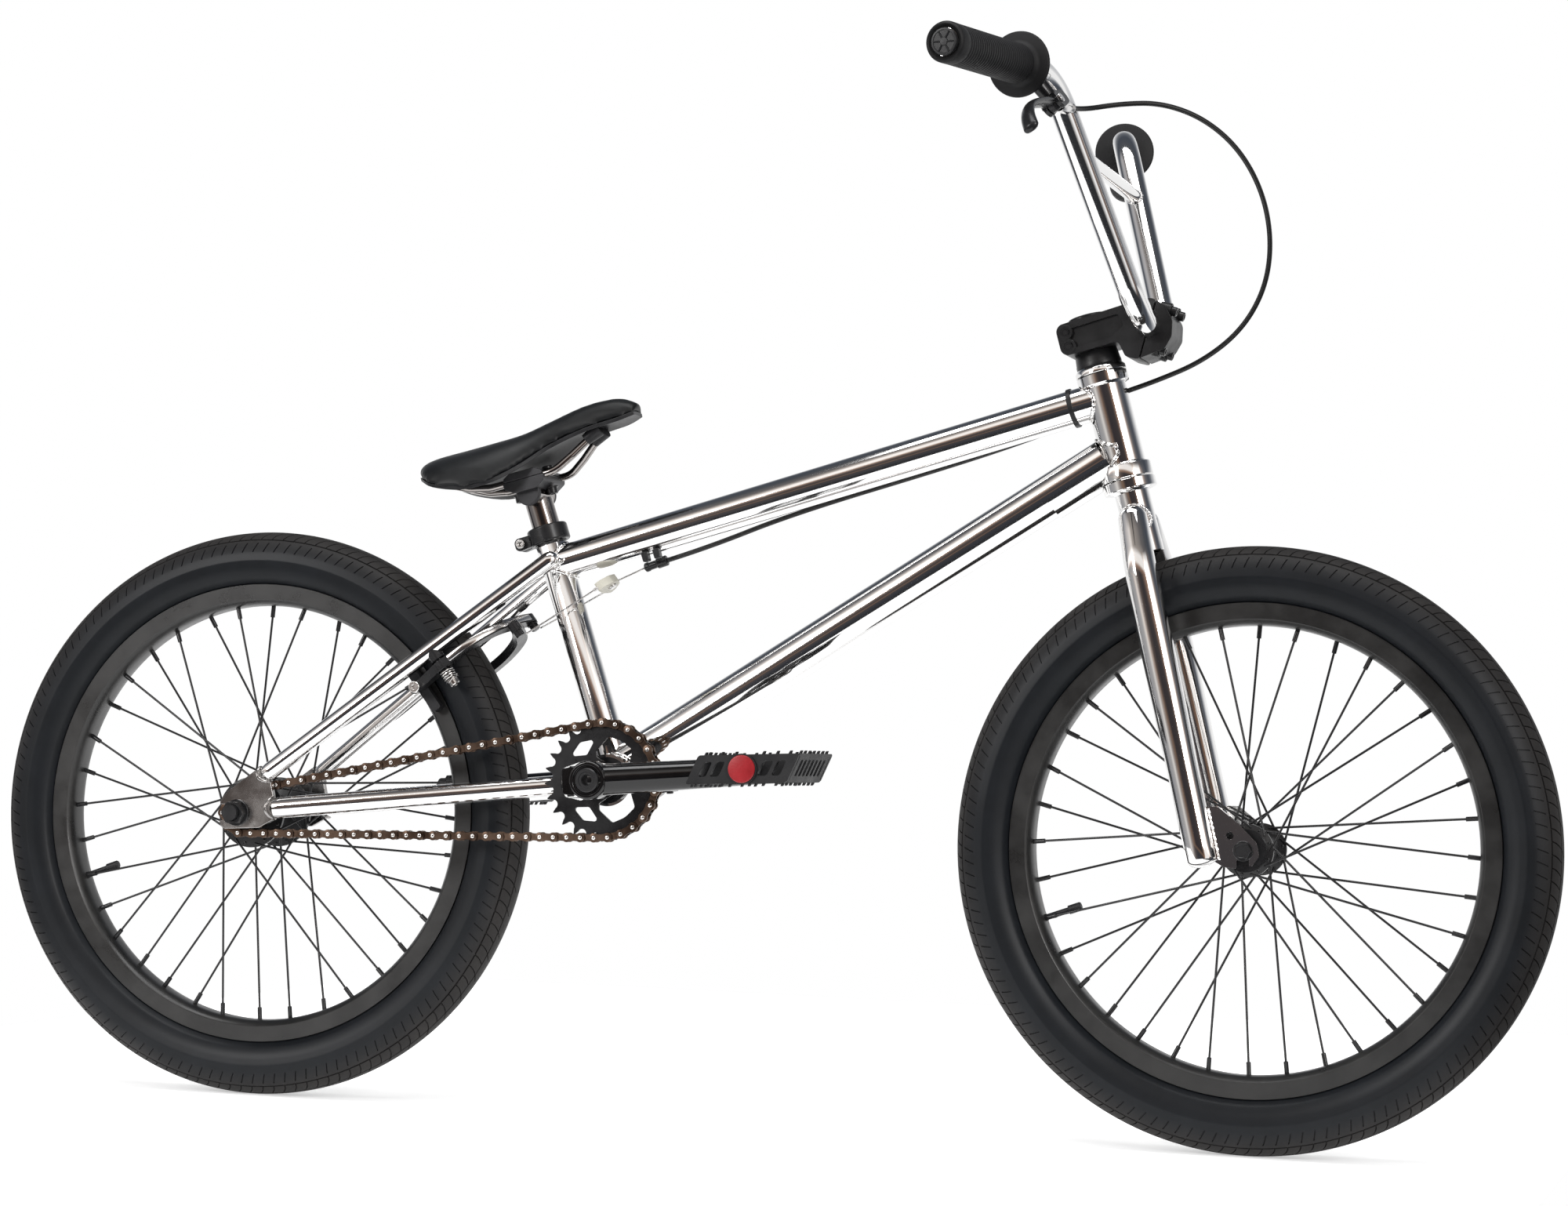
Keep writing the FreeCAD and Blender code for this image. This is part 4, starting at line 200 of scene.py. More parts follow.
LOOKS = [
    (CHROME, "head_tube top_tube down_tube down_tube_gusset seat_tube seatstays chainstays"
             " bottom_bracket_shell fork_legs fork_steerer fork_dropouts handlebar"),
    (DARK_CHROME, "seatpost saddle_rails"),
    (CAST_STEEL, "rear_dropouts"),
    (STEEL, "straddle_cable pedal_axles"),
    (STEM_BLACK, "stem_body stem_faceplate headset_cover"),
    (BLACK_METAL, "seat_clamp saddle_clamp brake_arm_left brake_arm_right brake_lever brake_pivot_hardware"
                  " brake_studs cable_stop crank_arms crank_spindle driver_cog front_axle front_axle_nuts"
                  " front_hub front_hub_bearings rear_axle rear_axle_nuts rear_hub rear_hub_bearings"
                  " headset_bearings bottom_bracket_bearings lever_perch spindle_bolts sprocket stem_bolts"
                  " front_spokes rear_spokes"),
    (RIM_BLACK, "front_rim rear_rim"),
    (CHAIN_BRONZE, "chain"),
    (TYRE, "front_tyre rear_tyre"),
    (GRIP_RUBBER, "grips"),
    (BLACK_PLASTIC, "bar_plugs pedal_left pedal_right saddle_base zip_ties"),
    (HOUSING, "cable_housing"),
    (SADDLE_SKIN, "saddle_cushion"),
]

for material, names in LOOKS:
    for name in names.split():
        mesh = NODES[name].data
        mesh.materials.clear()
        mesh.materials.append(material)


# ---------------------------------------------------------------- mesh building, in millimetres

class Build:
    """Collects rings, sweeps and plates in millimetres and turns them into one piece."""

    def __init__(self):
        self.verts = []
        self.faces = []
        self.marks = []
        self.mark = 0

    def add(self, verts, faces):
        first = len(self.verts)
        self.verts.extend(Vector(v) for v in verts)
        for face in faces:
            self.faces.append([first + i for i in face])
            self.marks.append(self.mark)

    def loft(self, rings, caps=True, closed=False):
        """Skin over rings that have the same number of points."""
        count = len(rings[0])
        faces = []
        spans = len(rings) if closed else len(rings) - 1
        for r in range(spans):
            near = r * count
            far = ((r + 1) % len(rings)) * count
            for i in range(count):
                j = (i + 1) % count
                faces.append((near + i, near + j, far + j, far + i))
        if caps and not closed:
            faces.append(tuple(reversed(range(count))))
            faces.append(tuple(range((len(rings) - 1) * count, len(rings) * count)))
        self.add([p for ring in rings for p in ring], faces)
        return self

    def lathe(self, start, axis, profile, steps=48, closed=False):
        """Profile of (along, radius) turned about an axis."""
        axis = Vector(axis).normalized()
        side, up = across(axis)
        rings = []
        for along, radius in profile:
            middle = Vector(start) + axis * along
            rings.append([middle + (side * math.cos(a) + up * math.sin(a)) * radius
                          for a in turns(steps)])
        return self.loft(rings, caps=not closed, closed=closed)

    def sweep(self, path, radius, steps=16, first_up=None, section=None):
        """Round (or given) section carried along a path; radius is a number or one per point."""
        points = [Vector(p) for p in path]
        sizes = radius if isinstance(radius, (list, tuple)) else [radius] * len(points)
        ring = section or [(math.cos(a), math.sin(a)) for a in turns(steps)]
        way = (points[1] - points[0]).normalized()
        if first_up is None:
            side, up = across(way)
        else:
            side = way.cross(Vector(first_up)).normalized()
            up = side.cross(way)
        rings = []
        for i, point in enumerate(points):
            before = points[max(i - 1, 0)]
            after = points[min(i + 1, len(points) - 1)]
            now = (after - before).normalized()
            turn = way.rotation_difference(now)
            side = turn @ side
            up = turn @ up
            way = now
            rings.append([point + side * (x * sizes[i]) + up * (y * sizes[i]) for x, y in ring])
        return self.loft(rings)

    def plate(self, outline, origin, x_way, y_way, low, high, holes=()):
        """Flat outline pushed along the normal of its two directions, with round holes."""
        origin, x_way, y_way = Vector(origin), Vector(x_way).normalized(), Vector(y_way).normalized()
        out = x_way.cross(y_way)
        ring = [origin + x_way * x + y_way * y for x, y in outline]
        if not holes:
            return self.loft([[p + out * low for p in ring], [p + out * high for p in ring]])
        work = bmesh.new()
        loops = [outline] + [list(h) for h in holes]
        edges = []
        for loop in loops:
            made = [work.verts.new((x, y, 0)) for x, y in loop]
            edges += [work.edges.new((made[i], made[(i + 1) % len(made)])) for i in range(len(made))]
        bmesh.ops.triangle_fill(work, use_beauty=True, use_dissolve=False, edges=edges)
        work.normal_update()
        work.verts.ensure_lookup_table()
        work.verts.index_update()
        flat = [v.co.copy() for v in work.verts]
        tris = [[v.index for v in f.verts] for f in work.faces]
        turned = [f if face.normal.z > 0 else f[::-1] for f, face in zip(tris, work.faces)]
        work.free()
        count = len(flat)
        places = [origin + x_way * p.x + y_way * p.y for p in flat]
        verts = [p + out * low for p in places] + [p + out * high for p in places]
        faces = [f[::-1] for f in turned] + [[i + count for i in f] for f in turned]
        start = 0
        for loop in loops:
            size = len(loop)
            area = sum(loop[i][0] * loop[(i + 1) % size][1] - loop[(i + 1) % size][0] * loop[i][1]
                       for i in range(size))
            forward = (area > 0) == (loop is loops[0])
            for i in range(size):
                a, b = start + i, start + (i + 1) % size
                faces.append([a, b, b + count, a + count] if forward else [b, a, a + count, b + count])
            start += size
        self.add(verts, faces)
        return self

    def ball(self, centre, radius, steps=16, squash=(1, 1, 1)):
        centre = Vector(centre)
        rings = steps // 2
        verts = [centre + Vector((0, 0, -radius * squash[2]))]
        for r in range(1, rings):
            level = -math.pi / 2 + math.pi * r / rings
            for a in turns(steps):
                verts.append(centre + Vector((math.cos(a) * math.cos(level) * radius * squash[0],
                                              math.sin(a) * math.cos(level) * radius * squash[1],
                                              math.sin(level) * radius * squash[2])))
        verts.append(centre + Vector((0, 0, radius * squash[2])))
        last = len(verts) - 1
        faces = []
        for i in range(steps):
            j = (i + 1) % steps
            faces.append((0, 1 + j, 1 + i))
            faces.append((last, last - steps + i, last - steps + j))
            for r in range(rings - 2):
                a, b = 1 + r * steps, 1 + (r + 1) * steps
                faces.append((a + i, a + j, b + j, b + i))
        self.add(verts, faces)
        return self

    def moved(self, change):
        """Every point put through a function."""
        self.verts = [change(v) for v in self.verts]
        return self

    def flipped(self):
        """Every face turned over, after a change that mirrors the points."""
        self.faces = [face[::-1] for face in self.faces]

    def made(self, name, body, *materials, stands_for=(), slot=None, sharp=35, bevel=0.0, smooth=0):
        """The Blender piece: riding a body, with materials, in metres."""
        mesh = bpy.data.meshes.new(name)
        mesh.from_pydata([v * MM for v in self.verts], [], self.faces)
        for polygon, mark in zip(mesh.polygons, self.marks):
            polygon.material_index = mark
        for material in materials:
            mesh.materials.append(material)
        mesh.validate()
        mesh.shade_smooth()
        mesh.set_sharp_from_angle(angle=math.radians(sharp))
        thing = bpy.data.objects.new(name, mesh)
        scene.collection.objects.link(thing)
        if bevel:
            soft = thing.modifiers.new("edges", "BEVEL")
            soft.width = bevel * MM
            soft.segments = 2
            soft.limit_method = "ANGLE"
            soft.angle_limit = math.radians(32)
            soft.harden_normals = False
        if smooth:
            fine = thing.modifiers.new("smooth", "SUBSURF")
            fine.levels = smooth
            fine.render_levels = smooth
        if body:
            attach(thing, body)
        if stands_for:
            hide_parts(*stands_for)
        return thing


def turns(steps):
    """Angles of a full turn in equal steps."""
    return [2 * math.pi * i / steps for i in range(steps)]


def across(way):
    """Two directions square to a way and to each other."""
    way = Vector(way).normalized()
    helper = Vector((0, 0, 1)) if abs(way.z) < 0.9 else Vector((1, 0, 0))
    side = way.cross(helper).normalized()
    return side, side.cross(way)


def middle_of(name):
    low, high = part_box(name)
    return (low + high) * (0.5 / MM)


def circle(radius, steps=24, centre=(0, 0)):
    return [(centre[0] + radius * math.cos(a), centre[1] + radius * math.sin(a)) for a in turns(steps)]


def rounded(corners, radius, steps=5):
    """Outline with its corners rounded; radius is a number or one per corner."""
    made = []
    count = len(corners)
    sizes = radius if isinstance(radius, (list, tuple)) else [radius] * count
    for i in range(count):
        here = Vector(corners[i])
        before = Vector(corners[i - 1]) - here
        after = Vector(corners[(i + 1) % count]) - here
        half = before.angle(after) / 2
        reach = min(sizes[i] / math.tan(half), before.length * 0.49, after.length * 0.49)
        if reach < 1e-6:
            made.append(tuple(here))
            continue
        size = reach * math.tan(half)
        centre = here + (before.normalized() + after.normalized()).normalized() * (size / math.sin(half))
        first = here + before.normalized() * reach - centre
        last = here + after.normalized() * reach - centre
        swing = first.angle_signed(last)
        for k in range(steps + 1):
            turn = -swing * k / steps
            made.append((centre.x + first.x * math.cos(turn) - first.y * math.sin(turn),
                         centre.y + first.x * math.sin(turn) + first.y * math.cos(turn)))
    return made


def smooth_path(points, per_span=8):
    """Catmull-Rom curve through given points."""
    pts = [Vector(p) for p in points]
    made = []
    for i in range(len(pts) - 1):
        p0 = pts[max(i - 1, 0)]
        p1, p2 = pts[i], pts[i + 1]
        p3 = pts[min(i + 2, len(pts) - 1)]
        for k in range(per_span):
            t = k / per_span
            made.append(0.5 * ((2 * p1) + (p2 - p0) * t + (2 * p0 - 5 * p1 + 4 * p2 - p3) * t * t
                               + (3 * p1 - p0 - 3 * p2 + p3) * t ** 3))
    made.append(pts[-1])
    return made


SIDE = Vector((0, 1, 0))
REAR_AXLE = middle_of("rear_rim")
FRONT_AXLE = middle_of("front_rim")


def filleted(points, radius, steps=8):
    """Straight runs in space joined by round bends; radius is a number or one per point."""
    pts = [Vector(p) for p in points]
    sizes = radius if isinstance(radius, (list, tuple)) else [radius] * len(pts)
    made = [pts[0]]
    for i in range(1, len(pts) - 1):
        here = pts[i]
        back, on = pts[i - 1] - here, pts[i + 1] - here
        half = back.angle(on) / 2
        reach = min(sizes[i] / math.tan(half), back.length * 0.48, on.length * 0.48)
        first = here + back.normalized() * reach
        last = here + on.normalized() * reach
        size = reach * math.tan(half)
        centre = here + (back.normalized() + on.normalized()).normalized() * (size / math.sin(half))
        arm = first - centre
        axle = arm.cross(last - centre)
        swing = arm.angle(last - centre)
        for k in range(steps + 1):
            made.append(centre + Quaternion(axle, swing * k / steps) @ arm)
    made.append(pts[-1])
    return made


def strap_outline(spine, widths, end_steps=7):
    """Flat outline of a strap with round ends round a 2-D spine; widths are half widths."""
    pts = [Vector(p) for p in spine]
    left, right = [], []
    for i, here in enumerate(pts):
        way = (pts[min(i + 1, len(pts) - 1)] - pts[max(i - 1, 0)]).normalized()
        aside = Vector((-way.y, way.x))
        left.append(here + aside * widths[i])
        right.append(here - aside * widths[i])

    def cap(here, start, size, turn):
        made = []
        for k in range(1, end_steps):
            angle = turn * math.pi * k / end_steps
            arm = (start - here).normalized() * size
            made.append(here + Vector((arm.x * math.cos(angle) - arm.y * math.sin(angle),
                                       arm.x * math.sin(angle) + arm.y * math.cos(angle))))
        return made

    tip = cap(pts[-1], left[-1], widths[-1], -1)
    tail = cap(pts[0], right[0], widths[0], -1)
    return [(p.x, p.y) for p in left + tip + right[::-1] + tail]


def clipped(outline, point, normal):
    """The part of a convex-ish outline on the normal's side of a line."""
    made = []
    for i, here in enumerate(outline):
        after = outline[(i + 1) % len(outline)]
        a = (here[0] - point[0]) * normal[0] + (here[1] - point[1]) * normal[1]
        b = (after[0] - point[0]) * normal[0] + (after[1] - point[1]) * normal[1]
        if a >= 0:
            made.append(here)
        if (a >= 0) != (b >= 0):
            share = a / (a - b)
            made.append((here[0] + (after[0] - here[0]) * share, here[1] + (after[1] - here[1]) * share))
    return made


def socket_bolt(build, start, way, radius, height, hole=0.5):
    """Round bolt head with a chamfered rim and a socket."""
    build.lathe(start, way, [(0, radius), (height - 0.5, radius), (height, radius - 0.5),
                             (height, radius * hole + 0.15), (height - 0.3, radius * hole),
                             (height * 0.35, radius * hole), (height * 0.35, 0.05)], 24)


def hex_nut(build, start, way, across_corners, height, bore):
    """Six-sided nut with chamfered faces and a threaded hole."""
    side, up = across(way)
    way = Vector(way).normalized()

    def ring(along, size):
        made = []
        for i in range(36):
            a = 2 * math.pi * i / 36
            flat = math.cos(math.pi / 6) / math.cos((a % (math.pi / 3)) - math.pi / 6)
            reach = min(size, across_corners * flat)
            made.append(Vector(start) + way * along + (side * math.cos(a) + up * math.sin(a)) * reach)
        return made

    wide = across_corners
    build.loft([ring(0, wide * 0.93), ring(0.8, wide), ring(height - 0.8, wide), ring(height, wide * 0.93),
                ring(height, bore + 0.6), ring(height - 0.6, bore)])


# ---------------------------------------------------------------- wheels

RING_RADIUS = 230.5
TYRE_RADIUS = 27.5
TYRE_OUTSIDE = RING_RADIUS + TYRE_RADIUS
PITCHES = 72
GROOVE_DEEP = 1.3
MAIN_GROOVE = 45.0
INNER_GROOVE = 18.0
SHOULDER = 74
EDGE_SWEEP = 5.6


def tread_sweep(angle):
    """How far, in millimetres, the tread's cross grooves have swept round by an angle from the crown."""
    if angle >= MAIN_GROOVE:
        return EDGE_SWEEP * (1 - (min(angle, SHOULDER) - MAIN_GROOVE) / (SHOULDER - MAIN_GROOVE))
    along = (MAIN_GROOVE - angle) / MAIN_GROOVE
    return EDGE_SWEEP + 1.5 * along + 15.0 * along ** 1.7


def tread_rows():
    """Rows from the crown to the bead: angle from the crown, sunk in a round groove or not."""
    rows = [(0.0, 0)]
    rows += [(a, 0) for a in (4, 6, 7.5, 12, INNER_GROOVE - 1.5)]
    rows += [(INNER_GROOVE - 0.7, 1), (INNER_GROOVE + 0.7, 1)]
    rows += [(a, 0) for a in (INNER_GROOVE + 1.5, 23, 28, 33, 38, 41.5, MAIN_GROOVE - 1.6)]
    rows += [(MAIN_GROOVE - 0.8, 1), (MAIN_GROOVE + 0.8, 1)]
    rows += [(a, 0) for a in (MAIN_GROOVE + 1.6, 50, 52.4, 53.4, 58, 63, 68, 72.6, 73.6, 79, 85)]
    rows += [(88.4, 2), (90.4, 2)]
    rows += [(a, 0) for a in (93, 101, 109, 117, 124, 130)]
    return rows


def cut_here(angle, second):
    """Whether a cross groove is open at an angle; the second of each pair is the shorter one."""
    if 53.4 <= angle <= 72.6:
        return True
    return (INNER_GROOVE + 0.7 if second else 6.0) <= angle <= MAIN_GROOVE


def build_tyre(prefix, centre):
    half = tread_rows()
    rows = [(-a, s) for a, s in half[::-1]] + half[1:]
    beads = [(209.9, 17.7), (209.75, 14.2), (204.5, 13.0), (204.5, 10.5), (211.5, 12.5), (219, 20.5),
             (230, 23.4), (243, 19.5), (250, 11.0)]
    unit = 2 * math.pi / PITCHES
    lip = 0.62 / TYRE_OUTSIDE
    floor = 0.34 / TYRE_OUTSIDE
    columns = []
    for second in (False, True):
        start = unit / 2 if second else 0.0
        columns += [(start - lip, 0, second), (start - floor, 1, second), (start + floor, 1, second),
                    (start + lip, 0, second)]
        columns += [(start + unit * share, 0, second) for share in (0.17, 0.33)]
    rings = []
    crowns = []
    for pitch in range(PITCHES):
        for offset, sunk_column, second in columns:
            ring = []
            crown = []
            for bead_r, bead_y in [(r, -y) for r, y in beads[::-1]][:-1]:
                ring.append(((bead_r, bead_y), 0.0))
                crown.append(0.0)
            for angle, kind in rows:
                size = TYRE_RADIUS
                wide = abs(angle)
                if kind == 1 or (sunk_column and cut_here(wide, second)):
                    size -= GROOVE_DEEP * (0.8 if wide > MAIN_GROOVE else 1.0)
                if kind == 2:
                    size += 0.25
                turn = math.radians(angle)
                radial = RING_RADIUS + size * math.cos(turn)
                ring.append(((radial, size * math.sin(turn)), tread_sweep(wide) / TYRE_OUTSIDE))
                crown.append(max(0.0, min(1.0, (78 - wide) / 40)))
            for bead_r, bead_y in beads:
                ring.append(((bead_r, bead_y), 0.0))
                crown.append(0.0)
            points = []
            for (radial, y), sweep in ring:
                theta = pitch * unit + offset - sweep
                points.append(centre + Vector((math.cos(theta) * radial, y, math.sin(theta) * radial)))
            rings.append(points)
            crowns.append(crown)
    tyre = Build().loft(rings, closed=True)
    made = tyre.made(prefix + "_tyre_tread", prefix + "_wheel", TYRE, stands_for=(prefix + "_tyre",),
                     slot="tyre", sharp=50)
    layer = made.data.attributes.new("crown", "FLOAT", "POINT")
    layer.data.foreach_set("value", [c for crown in crowns for c in crown])
    return made


def build_rim(prefix, centre, valve_turn):
    """Box rim: two flat brake walls, a shallow bed for the tyre and a crowned inside face."""
    section = [(209.5, 15.7), (209.2, 16.0), (195.6, 16.0), (194.6, 15.4), (191.4, 11.0), (190.4, 8.2),
               (190.0, 4.0), (190.0, 0.0)]
    ring = section + [(r, -y) for r, y in section[-2::-1]]
    inner = [(209.5, -14.0), (204.4, -13.5), (203.0, -12.0), (199.8, -7.0), (199.5, 0.0)]
    ring += inner + [(r, -y) for r, y in inner[-2::-1]]
    rim = Build()
    rim.loft([[centre + Vector((math.cos(a) * r, y, math.sin(a) * r)) for r, y in ring]
              for a in turns(160)], closed=True)
    way = Vector((math.cos(valve_turn), 0, math.sin(valve_turn)))
    rim.mark = 1
    rim.lathe(centre + way * 196, -way, [(0, 3.1), (7.5, 3.1), (8, 2.6), (27, 2.6), (27.6, 3.9),
                                         (38, 3.9), (39, 3.2), (39.2, 0.5)], 20)
    return rim.made(prefix + "_rim_ring", prefix + "_wheel", RIM_BLACK, BLACK_PLASTIC,
                    stands_for=(prefix + "_rim",), slot="rim_black", sharp=28)


RIM_HOLES = 36


def build_hub_details(prefix):
    """Spoke heads in the flanges of a hub shell."""
    centre = REAR_AXLE if prefix == "rear" else FRONT_AXLE
    circle_rad = 28.5 if prefix == "rear" else 19.5
    flange = 29 if prefix == "rear" else 35
    heads = Build()
    for i in range(RIM_HOLES):
        turn = 2 * math.pi * i / RIM_HOLES
        sign = 1 if i % 2 else -1
        outside = flange + (2.2 if (i // 2) % 2 else -2.2)
        spot = centre + Vector((math.cos(turn) * circle_rad, sign * outside, math.sin(turn) * circle_rad))
        heads.ball(spot, 1.7, 10, (1, 0.6, 1))
    heads.made(prefix + "_spoke_heads", prefix + "_wheel", BLACK_METAL, slot="black_metal")


for prefix, centre in (("rear", REAR_AXLE), ("front", FRONT_AXLE)):
    build_tyre(prefix, centre)
    build_rim(prefix, centre, math.radians(200))
    build_hub_details(prefix)


# ---------------------------------------------------------------- drivetrain

CHAIN_PITCH = 12.7
SPROCKET_TEETH = 25
DRIVER_TEETH = 9
CHAIN_LINKS = 72
CHAINLINE = -48.0
BRACKET = middle_of("bottom_bracket_shell")
CRANK_LIFT = math.radians(4.9)
CRANK_FORE = Vector((math.cos(CRANK_LIFT), 0, math.sin(CRANK_LIFT)))
CRANK_LENGTH = 175.0


def pitch_radius(teeth):
    return CHAIN_PITCH / (2 * math.sin(math.pi / teeth))


def on_circle(centre, radius, turn):
    return centre + Vector((math.cos(turn), 0, math.sin(turn))) * radius


def chain_pins():
    """Centres of the chain's pins, one pitch apart, round both toothed wheels."""
    big, small = pitch_radius(SPROCKET_TEETH), pitch_radius(DRIVER_TEETH)
    way = BRACKET - REAR_AXLE
    way.y = 0
    axis = math.atan2(way.z, way.x)
    lean = math.asin((big - small) / way.length)
    run = way.length * math.cos(lean)
    big_turn, small_turn = math.pi + 2 * lean, math.pi - 2 * lean
    upper, lower = axis + math.pi / 2 + lean, axis - math.pi / 2 - lean
    parts = [run / CHAIN_PITCH, big_turn * SPROCKET_TEETH / (2 * math.pi),
             run / CHAIN_PITCH, small_turn * DRIVER_TEETH / (2 * math.pi)]
    pins = []
    for link in range(CHAIN_LINKS):
        place = link * sum(parts) / CHAIN_LINKS
        part = 0
        while place > parts[part]:
            place -= parts[part]
            part += 1
        share = place / parts[part]
        if part == 0:
            pins.append(on_circle(REAR_AXLE, small, upper).lerp(on_circle(BRACKET, big, upper), share))
        elif part == 1:
            pins.append(on_circle(BRACKET, big, upper - big_turn * share))
        elif part == 2:
            pins.append(on_circle(BRACKET, big, lower).lerp(on_circle(REAR_AXLE, small, lower), share))
        else:
            pins.append(on_circle(REAR_AXLE, small, lower - small_turn * share))
    return pins


def link_outline():
    """Waisted side plate from one pin at the origin to the next along x."""
    round_end = 4.25
    waist = 3.0
    start = math.radians(52)
    swing = 2 * math.pi - 2 * start
    left = [(round_end * math.cos(a), round_end * math.sin(a))
            for a in [start + swing * i / 14 for i in range(15)]]
    right = [(CHAIN_PITCH - x, y) for x, y in left[::-1]]
    return left + [(CHAIN_PITCH / 2, -waist)] + right + [(CHAIN_PITCH / 2, waist)]


def build_chain():
    pins = chain_pins()
    outline = link_outline()
    chain = Build()
    outer_gap, inner_gap = 3.75, 2.4
    half_plate = 0.6
    for index, pin in enumerate(pins):
        after = pins[(index + 1) % len(pins)]
        along = (after - pin).normalized()
        up = Vector((-along.z, 0, along.x))
        gap = outer_gap if index % 2 == 0 else inner_gap
        for side in (-1, 1):
            level = CHAINLINE + side * (gap + half_plate)
            origin = Vector((pin.x, level, pin.z))
            chain.mark = 0
            # x along, y up gives a normal of -Y
            chain.loft([[origin + SIDE * off + (along * (x * k + CHAIN_PITCH / 2 * (1 - k)) + up * (y * k))
                         for x, y in outline]
                        for off, k in ((-half_plate, 0.955), (-0.35, 1.0), (0.35, 1.0), (half_plate, 0.955))])
        chain.lathe((pin.x, CHAINLINE - 2.3, pin.z), SIDE, [(0, 1.8), (0, 3.45), (4.6, 3.45), (4.6, 1.8)], 18)
        chain.mark = 1
        for side in (-1, 1):
            start = Vector((pin.x, CHAINLINE + side * 4.6, pin.z))
            chain.lathe(start, SIDE * side, [(0, 1.95), (0.7, 1.95), (1.0, 1.7), (1.2, 1.1), (1.27, 0.05)],
                        14)
    chain.made("chain_links", "frame", CHAIN_BRONZE, PIN_STEEL, stands_for=("chain",), slot="chain_bronze",
               sharp=40)


def tooth_outline(teeth, first_gap, tip_out):
    """Toothed wheel: round roller seats joined by hooked, narrow tips."""
    ring = pitch_radius(teeth)
    seat = 4.15
    points = []
    for i in range(teeth):
        gap = first_gap + 2 * math.pi * i / teeth
        centre = Vector((math.cos(gap), math.sin(gap))) * ring
        out = Vector((math.cos(gap), math.sin(gap)))
        across_gap = Vector((-out.y, out.x))
        for k in range(9):
            a = math.radians(-82 + 164 * k / 8)
            points.append(centre - out * (seat * math.cos(a)) + across_gap * (seat * math.sin(a)))
        tip = gap + math.pi / teeth
        for lean, reach in ((-0.55, tip_out - 0.5), (0.0, tip_out), (0.55, tip_out - 0.5)):
            spot = Vector((math.cos(tip), math.sin(tip))) * (ring + reach)
            points.append(spot + Vector((-math.sin(tip), math.cos(tip))) * lean)
    return [(p.x, p.y) for p in points]


def turned_outline(points, turn):
    return [(x * math.cos(turn) - y * math.sin(turn), x * math.sin(turn) + y * math.cos(turn))
            for x, y in points]


def gap_turn(pins, centre, teeth):
    """Turn of a pin that sits on a wheel, in the chain's plane."""
    ring = pitch_radius(teeth)
    arms = [pin - centre for pin in pins]
    seated = [arm for arm in arms if abs(Vector((arm.x, 0, arm.z)).length - ring) < 0.05]
    spot = seated[len(seated) // 2]
    return math.atan2(spot.z, spot.x)


def build_sprocket():
    pins = chain_pins()
    gap = gap_turn(pins, BRACKET, SPROCKET_TEETH)
    shield = rounded([(15.5, -14), (20.5, -17), (36.5, -12.5), (39, 0), (36.5, 12.5), (20.5, 17), (15.5, 14)],
                     [2.5, 3, 3, 20, 3, 3, 2.5])
    diamond = rounded([(26.5, 0), (34, -14), (39.3, -1), (39.3, 1), (34, 14)], [3, 2.2, 4, 4, 2.2])
    holes = []
    for third in range(3):
        turn = CRANK_LIFT + third * 2 * math.pi / 3
        holes.append(turned_outline(shield, turn + math.pi / 3))
        holes.append(turned_outline(diamond, turn))
    wheel = Build()
    outline = tooth_outline(SPROCKET_TEETH, gap, 3.6)
    wheel.plate(outline, (BRACKET.x, CHAINLINE, BRACKET.z), (1, 0, 0), (0, 0, 1), -1.5, 1.5, holes)
    wheel.lathe((BRACKET.x, CHAINLINE - 5.0, BRACKET.z), SIDE, [(0, 11.2), (0, 14.5), (0.8, 15.5),
                                                                (3.2, 16), (6.8, 16), (9.2, 15.5),
                                                                (10, 14.5), (10, 11.2)], 48, True)
    wheel.made("sprocket_wheel", "cranks", BLACK_METAL, stands_for=("sprocket",), slot="black_metal",
               bevel=0.35)
    small = Build()
    outline = tooth_outline(DRIVER_TEETH, gap_turn(pins, REAR_AXLE, DRIVER_TEETH), 2.9)
    small.plate(outline, (REAR_AXLE.x, CHAINLINE, REAR_AXLE.z), (1, 0, 0), (0, 0, 1), -1.4, 1.4,
                [circle(11)])
    small.lathe((REAR_AXLE.x, CHAINLINE - 3, REAR_AXLE.z), SIDE, [(0, 10.9), (0, 12), (9.4, 12.4),
                                                                  (9.4, 10.9)], 40, True)
    small.made("driver_teeth", "driver", DARK_STEEL, stands_for=("driver_cog",), slot="steel", bevel=0.3)


